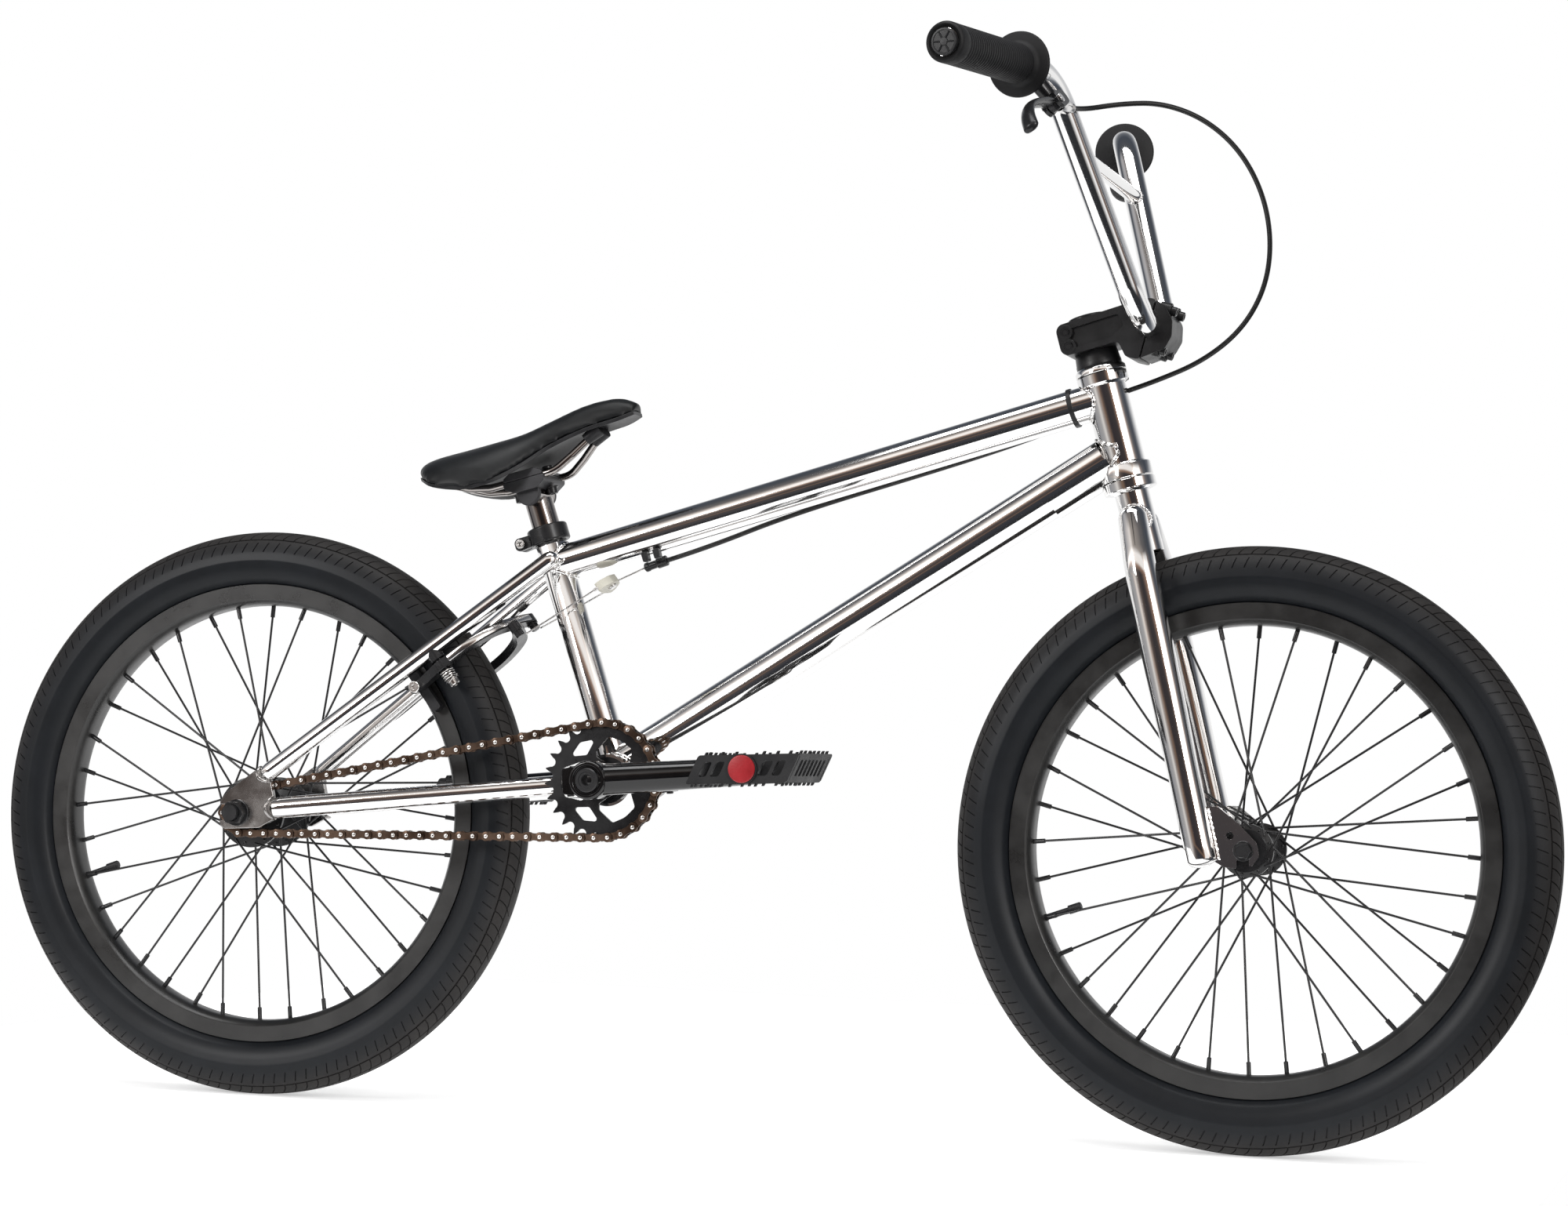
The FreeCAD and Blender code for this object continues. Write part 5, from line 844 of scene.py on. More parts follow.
def build_cranks():
    arms = Build()
    for side, way in ((-1, CRANK_FORE), (1, -CRANK_FORE)):
        out = SIDE * side
        root = BRACKET + out * 75
        tip = root + way * CRANK_LENGTH
        spine = [root + way * d for d in (0, 10, 40, 80, 120, 150, 166, 175)]
        arms.sweep(spine, [14.0, 14.0, 13.5, 12.9, 12.3, 11.8, 11.6, 11.5], 32)
        arms.lathe(BRACKET + out * 54, out, [(0, 11), (0, 15.5), (0.8, 16.6), (2, 17), (33.6, 17),
                                             (35.2, 16.5), (36, 15.5), (36, 13.2), (34.6, 12.6), (34.6, 11)],
                   48, True)
        arms.lathe(tip - out * 12.5, out, [(0, 7), (0, 11.8), (1.2, 13), (23.8, 13), (25, 11.8), (25, 7)], 40,
                   True)
        # pinch lug behind the spindle
        up = way.cross(out)
        lug = rounded([(-24.5, -11), (-13, -13), (-13, 13), (-24.5, 11)], 2.4)
        arms.plate(lug, root + out * 2, way, up, -13 if side > 0 else -8, 8 if side > 0 else 13)
    arms.made("crank_tubes", "cranks", GLOSS_BLACK, stands_for=("crank_arms",), slot="black_metal", bevel=0.4)
    bolts = Build()
    for side, way in ((-1, CRANK_FORE), (1, -CRANK_FORE)):
        out = SIDE * side
        face = BRACKET + out * 86
        bolts.lathe(face, out, [(0, 10.7), (4.4, 10.7), (5.4, 9.8), (5.4, 7.4), (4.6, 6.9), (4.6, 5.0),
                                (3.6, 4.4), (0.2, 4.4), (0.2, 0.05)], 40)
        for level in (-7.5, 7.5):
            aside = way.cross(out) * (11.2 if level > 0 else -11.2)
            start = BRACKET + out * (75 + level * 0.6) - way * 19 + aside
            bolts.lathe(start, (way.cross(out)) * (1 if level > 0 else -1),
                        [(0, 3.2), (1.6, 3.2), (2.2, 2.7), (2.2, 1.6), (1.0, 1.5), (1.0, 0.05)], 20)
    bolts.made("spindle_bolt_caps", "cranks", BLACK_METAL, stands_for=("spindle_bolts",), slot="black_metal",
               sharp=30)


PEDAL_LEAN = 0.5


def build_pedal(name, side, way):
    """Moulded platform: leaning end walls with slots, windowed side walls, ribs, pins and a round cap."""
    out = SIDE * side
    centre = BRACKET + way * CRANK_LENGTH + out * 144
    pitch = math.radians(2.9)
    fore = Vector((math.cos(pitch), 0, math.sin(pitch)))
    up = Vector((-math.sin(pitch), 0, math.cos(pitch)))
    body = Build()

    def place(v):
        """From pedal coordinates (forward, outward, up), leaning with height."""
        return centre + fore * (v.x + PEDAL_LEAN * v.z) + out * v.y + up * v.z

    def straight(v):
        return centre + fore * v.x + out * v.y + up * v.z

    window = [rounded([(x - w, -6), (x + w, -6), (x + w, 6.5), (x - w, 6.5)], 2.2)
              for x, w in ((-32.5, 3.4), (-22, 4.2), (19.5, 4.6), (31.5, 3.8))]
    wall = rounded([(-44, -12), (44, -12), (44, 12), (-44, 12)], 2.2)
    for low, high in ((44, 50), (-50, -44)):
        # x forward, y up gives an outward normal of -Y in pedal coordinates
        body.plate(wall, (0, 0, 0), (1, 0, 0), (0, 0, 1), -high, -low, window)
    slots = [rounded([(y - 3.2, -6.8), (y + 3.2, -6.8), (y + 3.2, 6.8), (y - 3.2, 6.8)], 1.4)
             for y in (-33, -22, -11, 0, 11, 22, 33)]
    end = rounded([(-47, -12), (47, -12), (47, 12), (-47, 12)], 1.0)
    for low, high in ((38.5, 44), (-44, -38.5)):
        body.plate(end, (0, 0, 0), (0, 1, 0), (0, 0, 1), low, high, slots)
    for y in (-22, 0, 22):
        for x0, x1 in ((-40, -9), (9, 40)):
            rib = rounded([(x0, -8), (x1, -8), (x1, 8), (x0, 8)], 1)
            body.plate(rib, (0, y, 0), (1, 0, 0), (0, 0, 1), -1.8, 1.8)
    studs = [(x, y) for y in (-38, -26, -13, 0, 13, 26, 38) for x in (-41.2, 41.2)]
    studs += [(x, y) for x in (-35, -24, -12, 12, 24, 35) for y in (-47, 47)]
    for x, y in studs:
        for sign in (-1, 1):
            body.lathe((x, y, sign * 11), (0, 0, sign), [(0, 1.7), (3.2, 1.35), (3.5, 1.0), (3.5, 0.05)], 12)
    body.moved(place)
    core = Build()
    core.lathe((0, -50.5, 0), (0, 1, 0), [(0, 5.2), (0, 9.6), (1, 10.6), (12, 10.6), (14, 9.4),
                                          (86, 9.4), (88, 10.6), (99, 12.2), (101, 12.8), (102.2, 12.8),
                                          (102.2, 0.05)], 40)
    core.moved(straight)
    body.add(core.verts, core.faces)
    if side < 0:
        body.flipped()
    body.made(name + "_platform", name, PEDAL_PLASTIC, stands_for=(name,), slot="pedal", bevel=0.35)
    cap = Build()
    cap.lathe((0, 51.6, 0), (0, 1, 0), [(0, 11.6), (1.0, 11.6), (1.5, 11.2), (1.75, 10.2), (1.8, 0.05)], 40)
    cap.moved(straight)
    if side < 0:
        cap.flipped()
    cap.made(name + "_cap", name, CAP_RED, slot="pedal")


build_chain()
build_sprocket()
build_cranks()
build_pedal("pedal_right", -1, CRANK_FORE)
build_pedal("pedal_left", 1, -CRANK_FORE)


# ---------------------------------------------------------------- frame and fork

HEAD_ANGLE = math.radians(74)
HEAD_LOW = Vector((341, 0, 571.5))
HEAD_UP = Vector((-math.cos(HEAD_ANGLE), 0, math.sin(HEAD_ANGLE)))
HEAD_FORE = Vector((math.sin(HEAD_ANGLE), 0, math.cos(HEAD_ANGLE)))
HEAD_RAD = 18.5
SEAT_UP = Vector((-0.3305, 0, 0.9438))
SEAT_TOP = BRACKET + SEAT_UP * 238
TOP_TUBE_HEAD = Vector((320.8, 0, 642))
TOP_TUBE_SEAT = Vector((-179.65, 0, 490.5))
TOP_TUBE_BACK = (TOP_TUBE_SEAT - TOP_TUBE_HEAD).normalized()
TOP_TUBE_DOWN = Vector((-TOP_TUBE_BACK.z, 0, TOP_TUBE_BACK.x))
TOP_TUBE_RAD = 15.9
DOWN_TUBE_HEAD = Vector((334, 0, 596))
DOWN_TUBE_LOW = Vector((-112.4, 0, 309))
DOWN_TUBE_BACK = (DOWN_TUBE_LOW - DOWN_TUBE_HEAD).normalized()
DOWN_TUBE_RAD = 19.05
SEAT_TUBE_RAD = 14.3
SHELL_RAD = 23.0


def steer_point(fore, up, side=0.0):
    return HEAD_LOW + HEAD_FORE * fore + HEAD_UP * up + SIDE * side


def bead(build, path, away, radius=1.9):
    """Rippled weld bead round a closed path; away gives the outward way at each point."""
    rings = []
    run = 0.0
    for i, here in enumerate(path):
        after = path[(i + 1) % len(path)]
        before = path[i - 1]
        way = (after - before).normalized()
        out = (away[i] - way * away[i].dot(way)).normalized()
        third = way.cross(out)
        size = radius * (1 + 0.13 * math.sin(run * 2 * math.pi / 3.0))
        rings.append([here + (out * math.cos(a) + third * math.sin(a)) * size for a in turns(10)])
        run += (after - here).length
    build.loft(rings, closed=True)


def weld(build, host, axis, host_rad, start, way, radius, size=1.9):
    """Bead where a round tube, running from start along a way, leaves a round host."""
    axis = Vector(axis).normalized()
    way = Vector(way).normalized()
    side, up = across(way)
    path, away = [], []
    for a in turns(120):
        arm = side * math.cos(a) + up * math.sin(a)
        from_axis = start + arm * radius - host
        flat = from_axis - axis * from_axis.dot(axis)
        flow = way - axis * way.dot(axis)
        square = flow.dot(flow)
        cross_term = flat.dot(flow)
        root = max(cross_term * cross_term - square * (flat.dot(flat) - host_rad * host_rad), 0.0)
        reach = (-cross_term + math.sqrt(root)) / square
        spot = start + arm * radius + way * reach
        path.append(spot)
        off_host = spot - host
        away.append((arm + (off_host - axis * off_host.dot(axis)).normalized()).normalized())
    bead(build, path, away, size)


def build_frame_tubes():
    head = Build()
    head.lathe(HEAD_LOW, HEAD_UP, [(0, 15.5), (0, 21.8), (0.5, 22.3), (11.2, 22.3), (12, 21.8), (12.7, 19.6),
                                   (14, HEAD_RAD), (47, HEAD_RAD), (83, HEAD_RAD), (84, 19.6), (84.6, 21.8),
                                   (85.3, 22.3), (93.5, 22.3), (94, 21.8), (94, 15.5)], 72, True)
    head.made("head_tube_shell", "frame", CHROME, stands_for=("head_tube",), slot="chrome")
    top = Build()
    top.sweep([TOP_TUBE_HEAD + TOP_TUBE_BACK * 10, TOP_TUBE_SEAT], TOP_TUBE_RAD, 72)
    weld(top, HEAD_LOW, HEAD_UP, HEAD_RAD, TOP_TUBE_HEAD, TOP_TUBE_BACK, TOP_TUBE_RAD)
    weld(top, BRACKET, SEAT_UP, SEAT_TUBE_RAD, TOP_TUBE_SEAT, -TOP_TUBE_BACK, TOP_TUBE_RAD)
    top.made("top_tube_shell", "frame", CHROME, stands_for=("top_tube",), slot="chrome")
    down = Build()
    down.sweep([DOWN_TUBE_HEAD + DOWN_TUBE_BACK * 14, DOWN_TUBE_LOW - DOWN_TUBE_BACK * 8], DOWN_TUBE_RAD, 72)
    weld(down, HEAD_LOW, HEAD_UP, HEAD_RAD, DOWN_TUBE_HEAD, DOWN_TUBE_BACK, DOWN_TUBE_RAD)
    weld(down, BRACKET, SIDE, SHELL_RAD, DOWN_TUBE_LOW, -DOWN_TUBE_BACK, DOWN_TUBE_RAD)
    down.made("down_tube_shell", "frame", CHROME, stands_for=("down_tube",), slot="chrome")
    seat = Build()
    seat.lathe(BRACKET, SEAT_UP, [(10, 13), (10, SEAT_TUBE_RAD), (237.4, SEAT_TUBE_RAD), (238, 13.9),
                                  (238, 13)], 72, True)
    weld(seat, BRACKET, SIDE, SHELL_RAD, BRACKET, SEAT_UP, SEAT_TUBE_RAD)
    seat.made("seat_tube_shell", "frame", CHROME, stands_for=("seat_tube",), slot="chrome")


def build_stays():
    low_stays = Build()
    high_stays = Build()
    for side in (-1, 1):
        front = Vector((BRACKET.x, side * 30, 297))
        rear = Vector((-424, side * 60, 263))
        way = (rear - front).normalized()
        low_stays.sweep([front + way * 14, rear - way * 9, rear - way * 3, rear, rear + way * 2.2],
                        [9.5, 9.5, 9.0, 6.2, 0.6], 48)
        weld(low_stays, BRACKET, SIDE, SHELL_RAD, front, way, 9.5)
        top = Vector((-176, side * 24.5, 494.5))
        low = Vector((-433, side * 60, 292))
        way = (low - top).normalized()
        high_stays.sweep([top - way * 6, top - way * 5, top - way * 2, top + way * 3, low - way * 8,
                          low - way * 3, low, low + way * 2], [0.8, 4.2, 7.0, 8, 8, 7.4, 5.0, 0.6], 48)
        weld(high_stays, SEAT_TOP, SEAT_UP, SEAT_TUBE_RAD + 1.5, top + way * 4, -SIDE * side, 7.6, 1.6)
    low_stays.made("chainstay_tubes", "frame", CHROME, stands_for=("chainstays",), slot="chrome")
    high_stays.made("seatstay_tubes", "frame", CHROME, stands_for=("seatstays",), slot="chrome")


def build_rear_dropouts():
    """Cast plates with a slot open to the back, and beads where the stays end on them."""
    outline = rounded([(-17, -11), (-12, -15), (22, -13), (36, -5), (36, 12), (31, 34), (21, 42), (-10, 19),
                       (-17, 10), (-17, 7.1), (-1, 7.1), (6, 5), (7, 0), (6, -5), (-1, -7.1), (-17, -7.1)],
                      [3, 3, 3, 3, 3, 3, 3, 3, 1.5, 1.2, 3, 3, 3, 3, 3, 1.2])
    plates = Build()
    for low, high in ((55, 61), (-61, -55)):
        plates.plate(outline, REAR_AXLE, (1, 0, 0), (0, 0, 1), low, high)
    for side in (-1, 1):
        for spot, aim, size in (((-424, 263), (0.99, 0.108), 9.3), ((-433, 292), (0.785, 0.618), 7.8)):
            middle = Vector((spot[0], side * 60, spot[1]))
            way = Vector((aim[0], 0, aim[1]))
            up = Vector((-aim[1], 0, aim[0]))
            path = []
            for k in range(40):
                a = 2 * math.pi * k / 40
                path.append(middle - way * (2.5 - 4.5 * math.cos(a) ** 2) + up * (size * math.cos(a))
                            + SIDE * (size * 0.94 * math.sin(a)))
            bead(plates, path, [(p - middle).normalized() for p in path], 1.7)
    plates.made("rear_ends", "frame", CAST_STEEL, stands_for=("rear_dropouts",), slot="steel", bevel=0.7)


def leg_axis(side, height):
    share = (497 - height) / 247
    return Vector((361.4, side * 43.5, 497)).lerp(Vector((423.5, side * 57, 250)), share)


def build_fork():
    column = Build()
    column.lathe(HEAD_LOW, HEAD_UP, [
        (-66, 11), (-66, 14.4), (-65.4, 15), (-12, 15), (-10.4, 17), (-9.9, 22.4), (-9.2, 23), (-1.8, 23),
        (-1.2, 22.4), (-1.2, 14.3), (143, 14.3), (143, 11)], 72, True)
    legs = Build()
    for side in (-1, 1):
        top = steer_point(0, -37, side * 27.5)
        path = filleted([top, leg_axis(side, 497), leg_axis(side, 250)], 70, 12)
        fine = []
        for i in range(len(path) - 1):
            count = max(1, int((path[i + 1] - path[i]).length / 12))
            fine += [path[i].lerp(path[i + 1], k / count) for k in range(count)]
        fine.append(path[-1])
        way = (fine[1] - fine[0]).normalized()
        last = (fine[-1] - fine[-2]).normalized()
        spine, sizes = [], []
        for k in range(8, 0, -1):
            turn = math.pi / 2 * k / 8.3
            spine.append(top - way * (12.4 * math.sin(turn)))
            sizes.append(12.4 * math.cos(turn))
        for spot in fine:
            share = max(0.0, min(1.0, (497 - spot.z) / 247))
            grow = 13.6 + 1.0 * math.sin(math.pi * min(1, share * 1.45)) - 0.4 * share
            size = grow if spot.z < 500 else 12.4 + (13.6 - 12.4) * (545 - max(spot.z, 500)) / 45
            spine.append(spot)
            sizes.append(max(size, 12.4))
        for k in range(1, 7):
            turn = math.pi / 2 * k / 6.2
            spine.append(fine[-1] + last * (7.0 * math.sin(turn)))
            sizes.append(sizes[len(fine) + 7] * math.cos(turn))
        legs.sweep(spine, sizes, 56)
        weld(legs, HEAD_LOW, HEAD_UP, 15, top - SIDE * (side * 20) + HEAD_UP * 0.5, SIDE * side, 12.2, 1.7)
    column.made("fork_column", "fork", CHROME, stands_for=("fork_steerer",), slot="chrome")
    legs.made("fork_blades", "fork", CHROME, stands_for=("fork_legs",), slot="chrome", sharp=60)
    outline = rounded([(-38, -2), (-16, -14), (-5.6, -14.8), (-5.1, 0), (-3.6, 3.6), (3.6, 3.6), (5.1, 0),
                       (5.1, -12.8), (8, -12), (13.5, -4), (11, 7), (-4, 22), (-22, 36), (-32, 36)],
                      [1, 6, 0.8, 1.5, 2, 2, 1.5, 0.8, 3, 5, 5, 8, 3, 1])
    ends = Build()
    for low, high in ((50, 55), (-55, -50)):
        ends.plate(outline, FRONT_AXLE, (1, 0, 0), (0, 0, 1), low, high, [circle(3.2, 24, (-11.5, 12.4))])
    for side in (-1, 1):
        for off in (-3.1, 3.1):
            path, away = [], []
            for k in range(25):
                z = 250 + 42 * k / 24
                axis = leg_axis(side, z)
                level = side * 52.5 + off
                reach = math.sqrt(max(13.6 ** 2 - (level - axis.y) ** 2, 1))
                path.append(Vector((axis.x + reach, level, z)))
                away.append(Vector((1, 0, 0)))
            path += [p + Vector((-0.4, 0, 0)) for p in path[::-1]]
            away += away[::-1]
            bead(ends, path, away, 1.9)
    ends.made("fork_ends", "fork", CHROME, stands_for=("fork_dropouts",), slot="steel", bevel=0.6)


def build_headset():
    cover = Build()
    cover.lathe(HEAD_LOW, HEAD_UP, [(94.6, 14.5), (94.6, 22.0), (95, 22.3), (98.4, 22.3), (99.4, 21.6),
                                    (101, 20.4), (101, 14.5)], 72, True)
    cover.mark = 1
    cover.lathe(HEAD_LOW, HEAD_UP, [(101.1, 14.5), (101.1, 19.4), (101.6, 19.8), (104.6, 19.8), (105.4, 19.5),
                                    (113.8, 18.6), (114.4, 18.2), (114.4, 14.5)], 72, True)
    cover.made("headset_rings", "fork", CHROME, STEM_BLACK, stands_for=("headset_cover",), slot="alloy_black")


def build_axle_hardware():
    """Washers, nuts and cones of both axles."""
    sizes = {"rear": (REAR_AXLE, 61, 12, 63, 11.0, 9.0, 7.0, 38.6, 55, 10.5),
             "front": (FRONT_AXLE, 55, 8.5, 57, 7.6, 6.5, 5.0, 46.6, 50, 8.5)}
    for prefix, (centre, plate, wide, seat, corners, tall, bore, cone_in, cone_out, cone) in sizes.items():
        build = Build()
        for side in (-1, 1):
            out = SIDE * side
            build.lathe(centre + out * plate, out, [(0, bore), (0, wide - 0.5), (0.5, wide), (1.5, wide),
                                                    (2, wide - 0.5), (2, bore)], 48, True)
            hex_nut(build, centre + out * seat, out, corners, tall, bore)
            cone_wide = cone_out - cone_in
            cone_profile = [(0, bore), (0, cone), (1, cone), (1.4, cone - 1.2), (2.4, cone - 1.2),
                            (2.8, cone), (cone_wide, cone), (cone_wide, bore)]
            build.lathe(centre + out * cone_in, out, cone_profile, 40, True)
        body = "frame" if prefix == "rear" else "fork"
        build.made(prefix + "_axle_fixings", body, BLACK_METAL, stands_for=(prefix + "_axle_nuts",),
                   slot="black_metal")


build_frame_tubes()
build_stays()
build_rear_dropouts()
build_fork()
build_headset()
build_axle_hardware()


# ---------------------------------------------------------------- seat

SADDLE_ROOT = Vector((-204, 0, 561))
SADDLE_TILT = math.radians(15)
SADDLE_FORE = Vector((math.cos(SADDLE_TILT), 0, math.sin(SADDLE_TILT)))
SADDLE_UP = Vector((-math.sin(SADDLE_TILT), 0, math.cos(SADDLE_TILT)))

# Tail to nose: forward, half width, and the heights of the side edges, the underside's middle and the crown.
SADDLE_STATIONS = [
    (-97, 24, 34, 32, 40), (-91, 44, 26, 27, 45), (-76, 61, 14, 25, 47), (-48, 67, 3, 24, 47),
    (-20, 61, 3, 25, 47.5), (5, 42, 13, 28, 49), (30, 29, 25, 33, 54), (65, 23, 33, 37, 60),
    (94, 20, 35, 37, 59), (110, 14, 38, 39, 52), (116, 7, 41, 41, 46)]


def saddle_point(fore, side, up):
    return SADDLE_ROOT + SADDLE_FORE * fore + SIDE * side + SADDLE_UP * up


def between(rows, per_span):
    """Smooth rows of numbers between given rows."""
    made = []
    for i in range(len(rows) - 1):
        four = [rows[max(i - 1, 0)], rows[i], rows[i + 1], rows[min(i + 2, len(rows) - 1)]]
        for k in range(per_span):
            t = k / per_span
            made.append([0.5 * (2 * b + (c - a) * t + (2 * a - 5 * b + 4 * c - d) * t * t
                                + (3 * b - a - 3 * c + d) * t ** 3) for a, b, c, d in zip(*four)])
    made.append(list(rows[-1]))
    return made


def cushion_ring(fore, half, edge, middle, crown, inset=0.0):
    """Round one cross-section: domed top, rolled side and hollow underside."""
    half = max(half - inset, 1.0)
    top = crown - inset
    dome = []
    for k in range(17):
        share = -1 + 2 * k / 16
        lift = (1 - abs(share) ** 2.6) ** 0.62
        dome.append((half * share, edge + inset + (top - edge - inset) * lift))
    under = [(half * s, edge + inset + (middle - edge) * (1 - s * s) ** 1.3 + 1.2 * (1 - abs(s)))
             for s in (0.86, 0.66, 0.44, 0.22, 0.0, -0.22, -0.44, -0.66, -0.86)]
    return [saddle_point(fore, side, up) for side, up in dome + under]


def swell(piece, cap, held_below):
    """Cloth cover filled from inside, held where it wraps under, and moved no more than the cap."""
    group = piece.vertex_groups.new(name="held")
    mesh = piece.data
    for vertex in mesh.vertices:
        if vertex.normal.dot(SADDLE_UP) < held_below:
            group.add([vertex.index], 1.0, "REPLACE")
    rest = [v.co.copy() for v in mesh.vertices]
    cloth = piece.modifiers.new("fill", "CLOTH")
    cloth.settings.quality = 6
    cloth.settings.use_pressure = True
    cloth.settings.uniform_pressure_force = 4
    cloth.settings.effector_weights.gravity = 0
    cloth.settings.vertex_group_mass = "held"
    cloth.point_cache.frame_start = 1
    cloth.point_cache.frame_end = 20
    for step in range(1, 21):
        scene.frame_set(step)
    solved = piece.evaluated_get(bpy.context.evaluated_depsgraph_get()).data
    moved = [v.co.copy() for v in solved.vertices]
    piece.modifiers.remove(cloth)
    for vertex, start, end in zip(mesh.vertices, rest, moved):
        step = end - start
        vertex.co = start + step * min(1.0, cap / max(step.length, 1e-9))
    piece.vertex_groups.remove(group)
    scene.frame_set(1)


def build_cushion():
    rows = between(SADDLE_STATIONS, 5)
    shell = Build()
    shell.loft([cushion_ring(*row, inset=1.6) for row in rows])
    piece = shell.made("saddle_cover", None, SADDLE_SKIN, sharp=180)
    fine = piece.modifiers.new("voxels", "REMESH")
    fine.mode = "VOXEL"
    fine.voxel_size = 0.004
    fine.use_smooth_shade = True
    bpy.context.view_layer.update()
    solid = bpy.data.meshes.new_from_object(piece.evaluated_get(bpy.context.evaluated_depsgraph_get()))
    piece.modifiers.clear()
    piece.data = solid
    swell(piece, 0.005, -0.25)
    relax = piece.modifiers.new("even", "SMOOTH")
    relax.factor = 0.5
    relax.iterations = 4
    round_off = piece.modifiers.new("fine", "SUBSURF")
    round_off.levels = round_off.render_levels = 1
    piece.data.shade_smooth()
    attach(piece, "saddle")
    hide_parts("saddle_cushion")


def build_saddle_base():
    """Moulded shell under the cover, seen along the skirt and under the nose."""
    rings = []
    for fore, half, edge, middle, _ in between(SADDLE_STATIONS[1:-1], 4):
        wide = half * 0.9
        over, below = [], []
        for k in range(9):
            s = -1 + k / 4
            height = edge + 1.5 + (middle - edge) * (1 - s * s * 0.81) ** 1.3
            over.append(saddle_point(fore, wide * s, height + 0.8))
            below.append(saddle_point(fore, wide * s * 0.985, height - 2.6))
        rings.append(over + below[::-1])
    base = Build()
    base.loft(rings)
    for side in (-1, 1):
        base.sweep([saddle_point(74, side * 8, 33.5), saddle_point(60, side * 10.5, 26.5)], [7.0, 5.4], 20)
        base.sweep([saddle_point(-64, side * 26, 26), saddle_point(-71, side * 26.4, 17)], [7.2, 5.8], 20)
    base.made("saddle_shell", "saddle", BLACK_PLASTIC, stands_for=("saddle_base",), slot="base", bevel=0.5)


def build_saddle_rails():
    rails = Build()
    for side in (-1, 1):
        gap = 22 * side
        spine = [(69, side * 8, 30.5), (46, side * 17, 15), (29, gap, 5), (-33, gap, 5),
                 (-52, gap * 1.15, 9), (-70, gap * 1.2, 17)]
        rails.sweep(filleted([saddle_point(*p) for p in spine], 22, 8), 3.5, 20)
    rails.made("saddle_wires", "saddle", DARK_CHROME, stands_for=("saddle_rails",), slot="chrome_dark")


def build_saddle_clamp():
    """Two cradles across the rails, pulled together by a bolt in front and one behind."""
    clamp = Build()
    start = saddle_point(0, 0, 0)
    lower = rounded([(-20, 5), (-19, -1), (-11, -6), (11, -6), (19, -1), (20, 5)], [1.2, 3, 3, 3, 3, 1.2])
    upper = rounded([(-19, 5.4), (19, 5.4), (18, 9), (12, 12.4), (-12, 12.4), (-18, 9)],
                    [1, 1, 2.5, 2, 2, 2.5])
    # forward by up gives a normal to the right
    for outline in (lower, upper):
        clamp.plate(outline, start, SADDLE_FORE, SADDLE_UP, -28, 28)
    knuckle = SADDLE_ROOT - SADDLE_UP * 8
    for side in (-1, 1):
        clamp.lathe(knuckle + SIDE * (side * 18), SIDE * side, [(0, 11.3), (3.2, 11.3), (4.2, 10.2),
                                                                (4.2, 0.05)], 36)
    clamp.mark = 1
    for fore in (-15.5, 15.5):
        low = saddle_point(fore, 0, -4.4)
        clamp.lathe(low, -SADDLE_UP, [(0, 6.2), (1.2, 6.2), (1.4, 5.0)], 28)
        socket_bolt(clamp, saddle_point(fore, 0, -5.6), -SADDLE_UP, 4.9, 5.6)
        clamp.lathe(saddle_point(fore, 0, 12.2), SADDLE_UP, [(0, 5), (2.2, 5), (2.6, 4.4), (2.6, 0.05)], 24)
    clamp.made("saddle_cradle", "saddle", CLAMP_GREY, BLACK_METAL, stands_for=("saddle_clamp",),
               slot="black_metal", bevel=0.7)


def build_seat_collar():
    """Clamp at the top of the seat tube with a rounded ear behind it and a bolt across."""
    collar = Build()
    low = SEAT_TOP - SEAT_UP * 14
    back = Vector((-SEAT_UP.z, 0, SEAT_UP.x))
    collar.lathe(low, SEAT_UP, [(0, 14.4), (0, 17.6), (1.2, 18.5), (13.8, 18.5), (15, 17.6), (15, 14.4)], 56,
                 True)
    ear = rounded([(14, 1.5), (28, 0.6), (31, 3), (31, 9.5), (28, 12.4), (14, 11.8)], [1, 4, 4, 4, 4, 1])
    # back by up gives a normal to the left
    for low_y, high_y in ((-8.5, -1.4), (1.4, 8.5)):
        collar.plate(ear, low, back, SEAT_UP, low_y, high_y)
    collar.mark = 1
    eye = low + back * 24.5 + SEAT_UP * 6.5
    socket_bolt(collar, eye - SIDE * 8.5, -SIDE, 4.3, 4.6)
    collar.lathe(eye + SIDE * 8.5, SIDE, [(0, 4.8), (3.6, 4.8), (4, 4.3), (4, 0.05)], 24)
    collar.made("seat_collar", "frame", BLACK_METAL, STEEL, stands_for=("seat_clamp",), slot="alloy_black",
                bevel=0.6)


build_cushion()
build_saddle_base()
build_saddle_rails()
build_saddle_clamp()
build_seat_collar()


# ---------------------------------------------------------------- stem, handlebar and lever

CLAMP = steer_point(54, 120)
BAR_TILT = math.radians(18)
BAR_UP = Vector((-math.sin(BAR_TILT), 0, math.cos(BAR_TILT)))
BAR_FORE = Vector((math.cos(BAR_TILT), 0, math.sin(BAR_TILT)))
BAR_SWEEP = math.radians(11)
BAR_RAD = 11.1
BAR_RISE = 204.0
KNEE_HALF = 152.0
BASE_HALF = 58.0


def bar_point(up, side):
    return CLAMP + BAR_UP * up + SIDE * side


def grip_way(side):
    return SIDE * (side * math.cos(BAR_SWEEP)) - BAR_FORE * math.sin(BAR_SWEEP)


def grip_point(side, half_span):
    along = (half_span - KNEE_HALF) / math.cos(BAR_SWEEP)
    return bar_point(BAR_RISE, side * KNEE_HALF) + grip_way(side) * along


